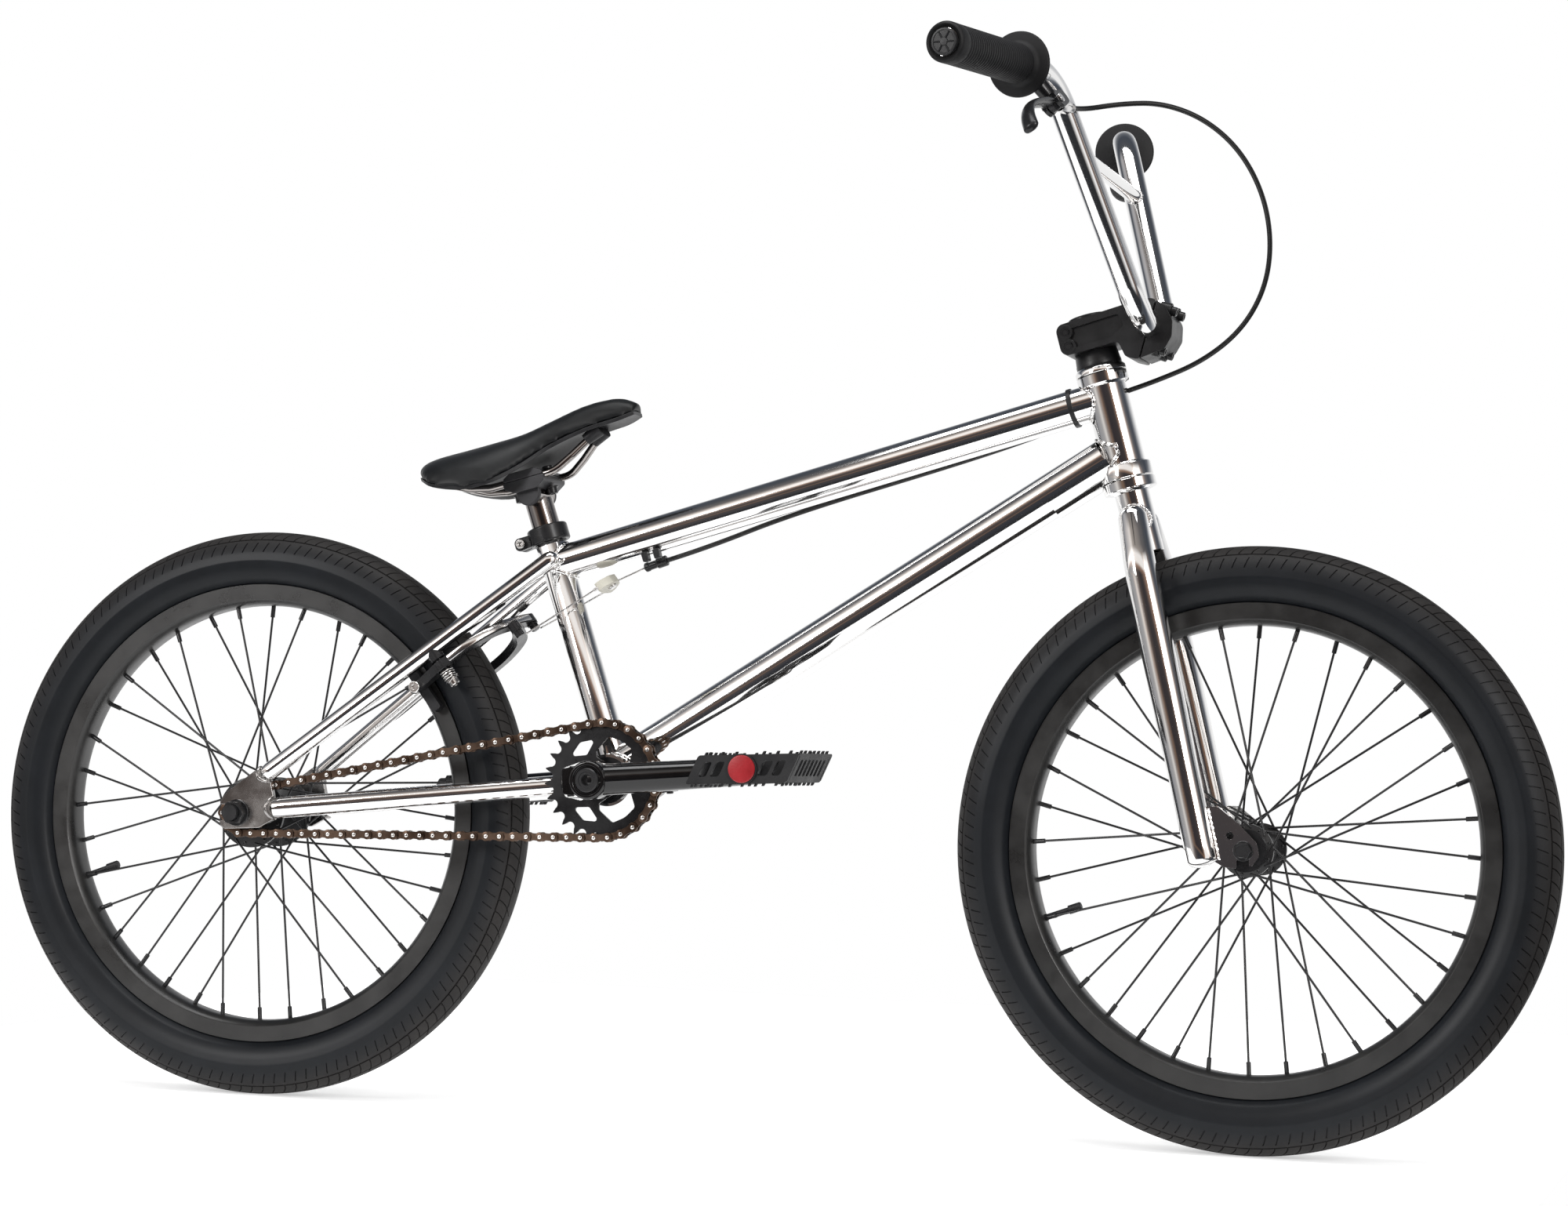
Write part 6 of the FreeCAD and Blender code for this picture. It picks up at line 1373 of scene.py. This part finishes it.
def build_handlebar():
    bar = Build()
    corners = [grip_point(-1, 355), bar_point(BAR_RISE, -KNEE_HALF), bar_point(0, -BASE_HALF),
               bar_point(0, BASE_HALF), bar_point(BAR_RISE, KNEE_HALF), grip_point(1, 355)]
    bar.sweep(filleted(corners, 52, 16), BAR_RAD, 48)
    rise = 139.0
    reach = BASE_HALF + (KNEE_HALF - BASE_HALF) * rise / BAR_RISE
    bar.sweep([bar_point(rise, -reach), bar_point(rise, reach)], 6.4, 32)
    for side in (-1, 1):
        leg = bar_point(BAR_RISE, side * KNEE_HALF) - bar_point(0, side * BASE_HALF)
        weld(bar, bar_point(0, side * BASE_HALF), leg, BAR_RAD, bar_point(rise, side * reach), -SIDE * side,
             6.4, 1.4)
    bar.made("handlebar_tubes", "fork", CHROME, stands_for=("handlebar",), slot="chrome", sharp=70)


def build_stem():
    """Block with a sunk panel on each side, split by the bar; pinch bolts behind, four bolts in front."""
    whole = rounded([(-25, 114.6), (25, 114.6), (28, 100), (37, 95), (62, 97), (71, 106), (75, 119),
                     (72, 133), (63, 142), (54, 144), (27, 143.4), (-25, 142)],
                    [7, 3, 5, 6, 7, 7, 9, 8, 6, 5, 4, 7], 6)
    split_up = Vector((0.51, 0.86)).normalized()
    split_fore = Vector((0.86, -0.51)).normalized()
    middle = Vector((54, 120))
    rear = clipped(whole, middle - split_fore * 0.7, -split_fore)
    front = clipped(whole, middle + split_fore * 0.7, split_fore)
    panel = rounded([(-15, 119.5), (20, 119.5), (33, 126), (31, 137.5), (-15, 136.5)], 3.0)
    block = Build()
    plate = Build()
    # forward by up gives a normal to the right
    block.plate(rear, HEAD_LOW, HEAD_FORE, HEAD_UP, -22.6, 22.6)
    for low, high in ((22.4, 25), (-25, -22.4)):
        block.plate(rear, HEAD_LOW, HEAD_FORE, HEAD_UP, low, high, [panel])
    plate.plate(front, HEAD_LOW, HEAD_FORE, HEAD_UP, -25, 25)
    bolts = Build()
    for side in (-1, 1):
        for height in (121.8, 134.6):
            boss = steer_point(-17.5, height, side * 22)
            block.lathe(boss, SIDE * side, [(0, 6.6), (2.8, 6.6), (3.3, 6.1), (3.3, 4.2), (1.6, 4.0),
                                            (1.6, 0.05)], 32)
            if side < 0:
                socket_bolt(bolts, boss + SIDE * (side * 1.4), SIDE * side, 3.8, 1.7)
    for level in (-17.5, 17.5):
        for aside in (-17, 17):
            flat = middle + split_fore * 13 + split_up * level
            head = steer_point(flat.x, flat.y, aside)
            way = HEAD_FORE * split_fore.x + HEAD_UP * split_fore.y
            bolts.lathe(head, way, [(0, 2.4), (1, 4.1), (5.4, 4.1), (6, 3.6), (6, 2.4), (3.4, 2.2),
                                    (3.4, 0.05)], 28)
            plate.lathe(head - way * 9, way, [(0, 6), (9.4, 6.4), (10, 6.0), (10, 4.6), (7, 4.4), (7, 0.05)],
                        32)
    bolts.lathe(HEAD_LOW, HEAD_UP, [(142.5, 17.2), (145.6, 17.2), (146.4, 16.4), (146.6, 5.2), (144.2, 5),
                                    (144.2, 0.05)], 56)
    socket_bolt(bolts, steer_point(0, 144.2), HEAD_UP, 4.4, 3.4)
    block.made("stem_block", "fork", STEM_BLACK, stands_for=("stem_body",), slot="stem_black", bevel=0.8)
    plate.made("stem_front", "fork", STEM_BLACK, stands_for=("stem_faceplate",), slot="stem_black", bevel=0.8)
    bolts.made("stem_screws", "fork", BLACK_METAL, stands_for=("stem_bolts",), slot="stem_black")


def build_grips():
    grips = Build()
    plugs = Build()
    for side in (-1, 1):
        way = grip_way(side)
        start = grip_point(side, 213)
        profile = [(0, 11.2), (0, 25.6), (0.6, 26.7), (1.6, 27), (2.8, 26.8), (3.7, 25.8), (4.3, 20),
                   (5.6, 17.6)]
        along = 8.0
        while along < 134:
            profile += [(along, 16.4), (along + 0.5, 15.9), (along + 1.5, 15.9), (along + 2.0, 16.4)]
            along += 4.2
        profile += [(137, 16.5), (144.2, 16.5), (146, 15.8), (146.8, 14.4), (145.4, 12.6), (144.6, 11.2)]
        grips.lathe(start, way, profile, 56, True)
        end = grip_point(side, 355)
        plugs.lathe(end - way * 16, way, [(0, 9.4), (15.6, 9.4), (16, 10.9), (18.6, 11), (19.4, 10.4),
                                          (19.5, 9.2), (18.9, 8.8), (18.9, 3.4), (19.5, 3.0), (19.6, 0.05)],
                    48)
        spoke, up = across(way)
        for k in range(6):
            turn = 2 * math.pi * k / 6
            arm = spoke * math.cos(turn) + up * math.sin(turn)
            plugs.sweep([end + way * 3.0 + arm * 3, end + way * 3.0 + arm * 9], 0.75, 8)
    grips.made("grip_sleeves", "fork", GRIP_RUBBER, stands_for=("grips",), slot="grip", sharp=45)
    plugs.made("end_plugs", "fork", BLACK_PLASTIC, stands_for=("bar_plugs",), slot="plug")


LEVER_ROOT = grip_point(-1, 200)
LEVER_OUT = grip_way(-1)
LEVER_DOWN = Vector((0.5616, -0.0542, -0.8256)).normalized()
LEVER_AXIS = LEVER_OUT.cross(LEVER_DOWN)


def lever_point(out, down, aside=0.0):
    return LEVER_ROOT + LEVER_OUT * out + LEVER_DOWN * down + LEVER_AXIS * aside


def build_lever():
    perch = Build()
    perch.lathe(lever_point(-7, 0), LEVER_OUT, [(0, 11.2), (0, 15.2), (0.8, 16), (13.2, 16), (14, 15.2),
                                                (14, 11.2)], 48, True)
    perch.sweep([lever_point(-1, 10), lever_point(-3, 20), lever_point(-8, 30)], [7.4, 7.0, 6.6], 24)
    for aside in (-1, 1):
        ear = strap_outline([(-20, 33), (-12, 35.5), (-6, 37)], [6.5, 7.2, 8.0])
        perch.plate(ear, LEVER_ROOT, LEVER_OUT, LEVER_DOWN, aside * 6.3 - 1.7, aside * 6.3 + 1.7)
    perch.mark = 1
    perch.lathe(lever_point(-20, 36), -LEVER_OUT, [(0, 5.6), (3, 6.2), (15, 6.2), (16.5, 5.4), (17, 4.6),
                                                   (17.2, 2.7)], 32)
    knurl = [(17.2, 2.7), (17.4, 4.0)]
    for k in range(5):
        knurl += [(17.8 + k * 1.5, 4.5), (18.7 + k * 1.5, 4.5), (19.0 + k * 1.5, 4.05)]
    knurl += [(25.4, 4.4), (26, 3.8), (26, 2.6)]
    perch.lathe(lever_point(-20, 36), -LEVER_OUT, knurl, 32)
    for aside in (-1, 1):
        perch.lathe(lever_point(-6, 37, aside * 7.8), LEVER_AXIS * aside,
                    [(0, 4.2), (1.4, 4.2), (1.9, 3.7), (1.9, 0.05)], 28)
    perch.made("lever_mount", "fork", BLACK_METAL, POLISHED, stands_for=("lever_perch",), slot="steel",
               bevel=0.6)
    spine = smooth_path([lever_point(*p) for p in ((-6, 37), (14, 39), (40, 44), (60, 51), (76, 62),
                                                   (86, 76))], 8)
    blade = Build()
    sizes = [4.6 - 0.7 * math.sin(math.pi * min(1, i / (len(spine) - 1) * 1.1)) for i in range(len(spine))]
    sizes[-3:] = [4.6, 3.9, 1.2]
    # Blade with one face flatter than the other, wider across than deep.
    section = [(math.cos(a) * 1.5, math.sin(a) * (1.0 if math.sin(a) > 0 else 0.62)) for a in turns(20)]
    blade.sweep(spine, sizes, first_up=-LEVER_DOWN, section=section)
    blade.lathe(lever_point(-6, 37, -4.3), LEVER_AXIS, [(0, 2.5), (0, 6.4), (0.6, 7), (8, 7), (8.6, 6.4),
                                                        (8.6, 2.5)], 32, True)
    blade.made("lever_blade", "brake_lever", LEVER_BLACK, stands_for=("brake_lever",), slot="alloy_black",
               sharp=50)


build_handlebar()
build_stem()
build_grips()
build_lever()


# ---------------------------------------------------------------- rear brake and cable

STAY_WAY = Vector((0.783, 0, 0.622)).normalized()
BRAKE_FORE = Vector((STAY_WAY.z, 0, -STAY_WAY.x))
PIVOT_ALONG = 232.0
PIVOT_HALF = 39.5
STOP_FRONT = Vector((-79, 10, 496.5))
STOP_BACK = Vector((-100, 10, 489))
YOKE = Vector((-128, 0, 474))
YOKE_CORNER = 15.0


def brake_point(along, fore, side):
    return REAR_AXLE + STAY_WAY * along + BRAKE_FORE * fore + SIDE * side


def under_tube(back, side, down):
    return TOP_TUBE_HEAD + TOP_TUBE_BACK * back + SIDE * side + TOP_TUBE_DOWN * down


def build_arm(name, side, low):
    """C-shaped arm: bright inner edge, boss on the stud, pad bracket with a post and a pad, and cable anchor.
    """
    arm = Build()
    spine = smooth_path([(203, side * 34, 0), (PIVOT_ALONG, side * PIVOT_HALF, 0), (262, side * 38.5, 0),
                         (286, side * 22, 0), (298, side * -4, 0), (304, side * -27, 0)], 6)
    flat = [(p.x, p.y) for p in spine]
    widths = [6.4 + 2.0 * math.exp(-((p[0] - PIVOT_ALONG) / 9) ** 2) - 1.0 * (i / len(flat))
              for i, p in enumerate(flat)]
    # along by side gives a normal that points back from the fore way, so heights are negative
    arm.plate(strap_outline(flat, widths), REAR_AXLE, STAY_WAY, SIDE, -low - 8, -low)
    arm.lathe(brake_point(PIVOT_ALONG, low - 0.4, side * PIVOT_HALF), BRAKE_FORE,
              [(0, 4.1), (0, 8.0), (0.6, 8.6), (8.2, 8.6), (8.8, 8.0), (8.8, 4.1)], 36, True)
    mid = low + 4
    holder = [(193, side * 28.5), (209, side * 28.5), (209, side * 42), (193, side * 42)]
    if side < 0:
        holder = holder[::-1]
    arm.plate(rounded(holder, 3.5), REAR_AXLE, STAY_WAY, SIDE, -mid - 2.4, -mid + 2.4)
    arm.mark = 1
    inner = [Vector((p[0], p[1])) for p in flat]
    edge = []
    for i, here in enumerate(inner):
        way = (inner[min(i + 1, len(inner) - 1)] - inner[max(i - 1, 0)]).normalized()
        spot = here + Vector((-way.y, way.x)) * (widths[i] - 0.7) * side
        edge.append(brake_point(spot.x, low + 4, spot.y))
    arm.sweep(edge[8:-2], 1.0, 10, section=[(math.cos(a) * 1.2, math.sin(a) * 3.6) for a in turns(14)])
    arm.lathe(brake_point(200, mid, side * 26), SIDE * side, [(0, 3.4), (15, 3.4), (15.2, 5.2), (19, 5.2),
                                                              (19.6, 4.6), (19.6, 2.4), (17.6, 2.2),
                                                              (17.6, 0.05)], 28)
    arm.mark = 2
    shoe = rounded([(-25, -4.6), (25, -4.6), (25, 4.6), (-25, 4.6)], 2.2)
    origin = brake_point(200, 8, side * 22.3)
    # fore by along gives a normal to the rider's left
    arm.plate(shoe, origin, BRAKE_FORE, STAY_WAY, -4, 4, [circle(2.0, 16, (-17, 0))])
    arm.mark = 0
    anchor = brake_point(304, low + 8, side * -27)
    arm.lathe(anchor, BRAKE_FORE, [(0, 5.2), (1.4, 5.2), (1.6, 4.2), (6.4, 4.2), (7, 3.6), (7, 0.05)], 28)
    arm.made(name + "_forging", name, BLACK_METAL, POLISHED, BLACK_PLASTIC, stands_for=(name,),
             slot="pad_arm", bevel=0.7)


def build_brake_fixings():
    """Pivot bolts and coil springs on the studs."""
    fixings = Build()
    for side in (-1, 1):
        tip = brake_point(PIVOT_ALONG, 23.2, side * PIVOT_HALF)
        fixings.lathe(tip, BRAKE_FORE, [(0, 4.2), (0, 6.4), (0.5, 7), (1.2, 7), (1.6, 6.4), (1.7, 5),
                                        (5.6, 5), (6.4, 4.2), (6.4, 2.6), (3.6, 2.4), (3.6, 0.05)], 32)
        low, high = (12.9, 22.2) if side < 0 else (4.6, 13.2)
        coil = []
        for k in range(97):
            turn = 2 * math.pi * k / 24
            coil.append(brake_point(PIVOT_ALONG + 6.1 * math.cos(turn), low + (high - low) * k / 96,
                                    side * PIVOT_HALF + 6.1 * math.sin(turn)))
        fixings.sweep(coil, 0.8, 10)
    fixings.made("pivot_bolts", "frame", POLISHED, stands_for=("brake_pivot_hardware",), slot="steel")


def build_straddle():
    """Bare wire to a two-part hanger and a thin wire from it to each arm."""
    wires = Build()
    plate = rounded([(-3, -16), (5, -9), (8, 0), (5, 9), (-3, 16), (-9, 16), (-11, 0), (-9, -16)],
                    [3, 4, 4, 4, 3, 2, 8, 2])
    wires.mark = 1
    wires.plate(plate, YOKE, STAY_WAY, SIDE, -2.4, 5.2)
    wires.mark = 0
    wires.lathe(YOKE - BRAKE_FORE * 4.6, BRAKE_FORE, [(0, 3.4), (1, 4.2), (8, 4.2), (9, 3.4), (9, 0.05)], 28)
    ends = ((27, brake_point(304, 19.5, 27), 4.4), (-27, brake_point(304, 29.5, -27), 4.4))
    for level, end, stop in ends:
        corner = YOKE + Vector((-6, math.copysign(YOKE_CORNER, level), -4))
        way = (corner - end).normalized()
        middle = end.lerp(corner, 0.5) - STAY_WAY * 1.4
        wires.sweep(smooth_path([end + way * stop, middle, corner], 8), 0.8, 10)
        wires.lathe(corner - way * 5, way, [(0, 0.8), (0, 1.5), (4.4, 1.5), (4.6, 0.9)], 16)
    pull = (STOP_BACK - YOKE).normalized()
    wires.sweep([YOKE + pull * 4, STOP_BACK + (STOP_BACK - STOP_FRONT).normalized() * 0.5], 0.8, 10)
    wires.made("straddle_wires", "frame", STEEL, HANGER, stands_for=("straddle_cable",), slot="wire",
               bevel=0.4)


def build_stop():
    """Threaded barrel held under the top tube by a forked lug."""
    way = (STOP_BACK - STOP_FRONT).normalized()
    stop = Build()
    stop.lathe(STOP_FRONT, way, [(-0.4, 2.7), (-0.4, 4.4), (0.2, 4.8), (9, 4.8), (9.6, 4.2), (10.2, 3.6),
                                 (17, 3.6), (17.4, 4.2), (20.6, 4.2), (21.4, 3.4), (22.2, 1.9)], 36)
    for back in (426, 437):
        lug = rounded([(-3.2, 13.6), (3.2, 13.6), (2.8, 22.4), (-2.8, 22.4)], 1.2)
        stop.plate(lug, under_tube(back, 0, 0), TOP_TUBE_BACK, TOP_TUBE_DOWN, 5.6, 12.6)
    stop.made("stop_barrel", "frame", BLACK_METAL, stands_for=("cable_stop",), slot="alloy_black", bevel=0.5)
    tie = Build()
    start = under_tube(29, 0, 0)
    tie.lathe(start, TOP_TUBE_BACK, [(0, 15.9), (0, 17.0), (0.3, 17.3), (3.7, 17.3), (4, 17.0), (4, 15.9)],
              64, True)
    lock = start + SIDE * 12.8 + TOP_TUBE_DOWN * -11.6
    tie.plate(rounded([(-3.2, -2.6), (3.2, -2.6), (3.2, 2.6), (-3.2, 2.6)], 0.6), lock + TOP_TUBE_BACK * 2,
              TOP_TUBE_BACK, (SIDE * 0.67 + TOP_TUBE_DOWN * 0.74), -2, 2.6)
    hug = start + SIDE * 17.2 + TOP_TUBE_DOWN * 8
    tie.lathe(hug, TOP_TUBE_BACK, [(0, 2.6), (0, 3.9), (4, 3.9), (4, 2.6)], 32, True)
    tie.made("tie_band", "frame", BLACK_PLASTIC, stands_for=("zip_ties",), slot="tie")


def build_cable():
    """Housing from the lever's adjuster, round in front of the bars and back under the top tube."""
    way = (STOP_BACK - STOP_FRONT).normalized()
    route = [lever_point(-40, 36), lever_point(-62, 36), Vector((349, -112, 877)),
             Vector((379, -89, 881)), Vector((411, -68, 871)), Vector((438, -46, 848)),
             Vector((455, -22, 814)), Vector((460, -3, 775)), Vector((453, 11, 737)),
             Vector((432, 21, 703)), Vector((398, 27, 677)), Vector((358, 28, 660)),
             Vector((318, 27, 646)), under_tube(31, 17.2, 8), under_tube(80, 13.5, 13),
             under_tube(150, 10, 15.7), under_tube(300, 10, 15.9), Vector((-43, 10, 507.5)),
             STOP_FRONT + way * 4]
    curve = bpy.data.curves.new("housing_route", "CURVE")
    curve.dimensions = "3D"
    curve.resolution_u = 14
    curve.bevel_depth = 2.2 * MM
    curve.bevel_resolution = 5
    curve.use_fill_caps = True
    spline = curve.splines.new("NURBS")
    spline.points.add(len(route) - 1)
    for knot, spot in zip(spline.points, route):
        knot.co = (*(spot * MM), 1)
    spline.order_u = 3
    spline.use_endpoint_u = True
    drawn = bpy.data.objects.new("housing_drawn", curve)
    scene.collection.objects.link(drawn)
    bpy.context.view_layer.update()
    mesh = bpy.data.meshes.new_from_object(drawn.evaluated_get(bpy.context.evaluated_depsgraph_get()))
    bpy.data.objects.remove(drawn)
    mesh.materials.clear()
    mesh.materials.append(HOUSING)
    mesh.shade_smooth()
    piece = bpy.data.objects.new("housing_run", mesh)
    scene.collection.objects.link(piece)
    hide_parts("cable_housing")
    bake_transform(piece)


build_arm("brake_arm_right", -1, 4)
build_arm("brake_arm_left", 1, 14)
build_brake_fixings()
build_straddle()
build_stop()
build_cable()


# ---------------------------------------------------------------- studio

def area_light(name, place, target, width, height, power=60):
    data = bpy.data.lights.new(name, "AREA")
    data.shape = "RECTANGLE"
    data.size = width
    data.size_y = height
    data.energy = power
    lamp = bpy.data.objects.new(name, data)
    lamp.location = place
    lamp.rotation_euler = (Vector(target) - Vector(place)).to_track_quat("-Z", "Y").to_euler()
    scene.collection.objects.link(lamp)


def build_floor():
    """A sheet of white paper under the bike, with the dark studio beyond its edges."""
    left, right, front, back = -1.0, 0.72, -0.95, 1.6
    mesh = bpy.data.meshes.new("floor")
    mesh.from_pydata([(left, front, 0), (right, front, 0), (right, back, 0), (left, back, 0)], [],
                     [(0, 1, 2, 3)])
    floor = bpy.data.objects.new("floor", mesh)
    scene.collection.objects.link(floor)
    paper = Finish("floor_paper", Roughness=0.9, Specular_IOR_Level=0.1,
                   Emission_Color=(1, 1, 1, 1), Emission_Strength=0.44)
    paper.colour(paper.ramp(paper.noise(1.5), (0.3, (0.93, 0.93, 0.93)), (0.7, (0.95, 0.95, 0.95))))
    mesh.materials.append(paper.material)


class Sky(Graph):
    """World nodes; mirror rays see a studio that camera rays do not."""

    def __init__(self):
        self.world = bpy.data.worlds.new("studio")
        scene.world = self.world
        self.world.use_nodes = True
        self.tree = self.world.node_tree
        self.tree.nodes.clear()

    def maths(self, operation, first, second=None, third=None):
        made = self.node("ShaderNodeMath", operation=operation)
        for slot, value in enumerate((first, second, third)):
            if value is None:
                continue
            if isinstance(value, (int, float)):
                made.inputs[slot].default_value = value
            else:
                self.link(value, made.inputs[slot])
        return made.outputs["Value"]

    def blend(self, kind, first, second):
        made = self.node("ShaderNodeMix", data_type="RGBA", blend_type=kind, clamp_result=False)
        made.inputs["Factor"].default_value = 1.0
        self.link(first, made.inputs[6])
        self.link(second, made.inputs[7])
        return made.outputs[2]

    def light(self, colour, strength):
        made = self.node("ShaderNodeBackground")
        if isinstance(colour, tuple):
            made.inputs["Color"].default_value = (*colour, 1)
        else:
            self.link(colour, made.inputs["Color"])
        made.inputs["Strength"].default_value = strength
        return made.outputs["Background"]

    def choose(self, switch, off, on):
        made = self.node("ShaderNodeMixShader")
        self.link(switch, made.inputs["Fac"])
        self.link(off, made.inputs[1])
        self.link(on, made.inputs[2])
        return made.outputs["Shader"]


def build_world():
    """White cove behind the bike, dark ceiling and room in front of it, and a softbox on each side."""
    sky = Sky()
    parts = sky.node("ShaderNodeSeparateXYZ")
    sky.link(sky.node("ShaderNodeTexCoord").outputs["Generated"], parts.inputs["Vector"])
    x, y, z = (parts.outputs[axis] for axis in "XYZ")
    toward = sky.maths("MULTIPLY", y, -1.0)
    folded = sky.maths("MULTIPLY", sky.maths("GREATER_THAN", y, 0.0), sky.maths("LESS_THAN", z, 0.0))
    height = sky.maths("MULTIPLY", z, sky.maths("MULTIPLY_ADD", folded, -2.0, 1.0))
    over = sky.maths("MULTIPLY_ADD", sky.maths("ARCTAN2", height, toward), 0.8 / math.pi, 0.2)
    around = sky.maths("MULTIPLY_ADD", sky.maths("ARCTAN2", x, toward), 0.5 / math.pi, 0.5)
    arch = sky.ramp(over, (0.0, (0.030, 0.032, 0.036)), (0.168, (0.028, 0.028, 0.030)),
                    (0.198, (0.035, 0.030, 0.028)), (0.209, (0.17, 0.10, 0.06)),
                    (0.222, (0.026, 0.018, 0.015)), (0.268, (0.040, 0.032, 0.028)),
                    (0.300, (0.32, 0.20, 0.14)), (0.324, (1.0, 0.95, 0.90)), (0.372, (1.0, 0.96, 0.93)),
                    (0.412, (0.38, 0.34, 0.31)), (0.488, (0.15, 0.14, 0.14)),
                    (0.60, (0.08, 0.085, 0.095)), (0.744, (0.065, 0.075, 0.095)),
                    (0.824, (0.16, 0.17, 0.19)), (0.888, (0.55, 0.56, 0.58)), (0.936, (1.0, 1.0, 1.0)))
    boxes = sky.ramp(around, (0.0, (0, 0, 0)), (0.222, (0, 0, 0)), (0.264, (0.30, 0.30, 0.31)),
                     (0.333, (0.40, 0.39, 0.39)), (0.372, (0.75, 0.72, 0.69)),
                     (0.405, (0.30, 0.26, 0.24)), (0.436, (0.07, 0.055, 0.05)),
                     (0.480, (0.012, 0.014, 0.020)), (0.575, (0.012, 0.012, 0.016)),
                     (0.600, (0.22, 0.12, 0.07)), (0.617, (1.0, 0.96, 0.92)), (0.689, (1.0, 1.0, 1.0)),
                     (0.708, (0.24, 0.16, 0.12)), (0.735, (0.05, 0.045, 0.045)), (0.80, (0, 0, 0)))
    level = sky.maths("MULTIPLY_ADD", z, 0.5, 0.5)
    tall = sky.ramp(level, (0.30, (0, 0, 0)), (0.40, (1, 1, 1)), (0.78, (1, 1, 1)), (0.86, (0, 0, 0)))
    room = sky.blend("ADD", arch, sky.blend("MULTIPLY", boxes, tall))
    fill, mirrored, backdrop = 0.55, 1.0, 1.0
    path = sky.node("ShaderNodeLightPath")
    unseen = sky.choose(path.outputs["Is Glossy Ray"], sky.light((1, 1, 1), fill), sky.light(room, mirrored))
    shown = sky.choose(path.outputs["Is Camera Ray"], unseen, sky.light((1, 1, 1), backdrop))
    out = sky.node("ShaderNodeOutputWorld")
    sky.link(shown, out.inputs["Surface"])


def build_camera():
    """Long lens from the drive side, a little ahead of the bike and low."""
    place = (0.9629, -3.0565, 0.3329)
    yaw, pitch, roll = 0.2948, -0.0397, 0.0312
    lens, sensor_width = 83.04, 36
    ahead = Vector((-math.sin(yaw) * math.cos(pitch), math.cos(yaw) * math.cos(pitch), -math.sin(pitch)))
    right = ahead.cross(Vector((0, 0, 1))).normalized()
    above = right.cross(ahead)
    turned_right = right * math.cos(roll) + above * math.sin(roll)
    turned_up = above * math.cos(roll) - right * math.sin(roll)
    pose = Matrix((turned_right, turned_up, -ahead)).transposed().to_4x4()
    pose.translation = place
    data = bpy.data.cameras.new("camera")
    data.lens = lens
    data.sensor_width = sensor_width
    data.clip_end = 200
    camera = bpy.data.objects.new("camera", data)
    camera.matrix_world = pose
    scene.collection.objects.link(camera)
    scene.camera = camera


build_floor()
build_world()
build_camera()
scene.view_settings.view_transform = "Standard"
area_light("overhead", (0.0, -0.6, 3.4), (0, 0, 0.3), 3.0, 1.2)
area_light("softbox_left", (-2.2, -3.2, 1.7), (0, 0, 0.4), 0.9, 1.5)
area_light("softbox_right", (3.0, -3.0, 1.9), (0.2, 0, 0.4), 0.7, 1.6)
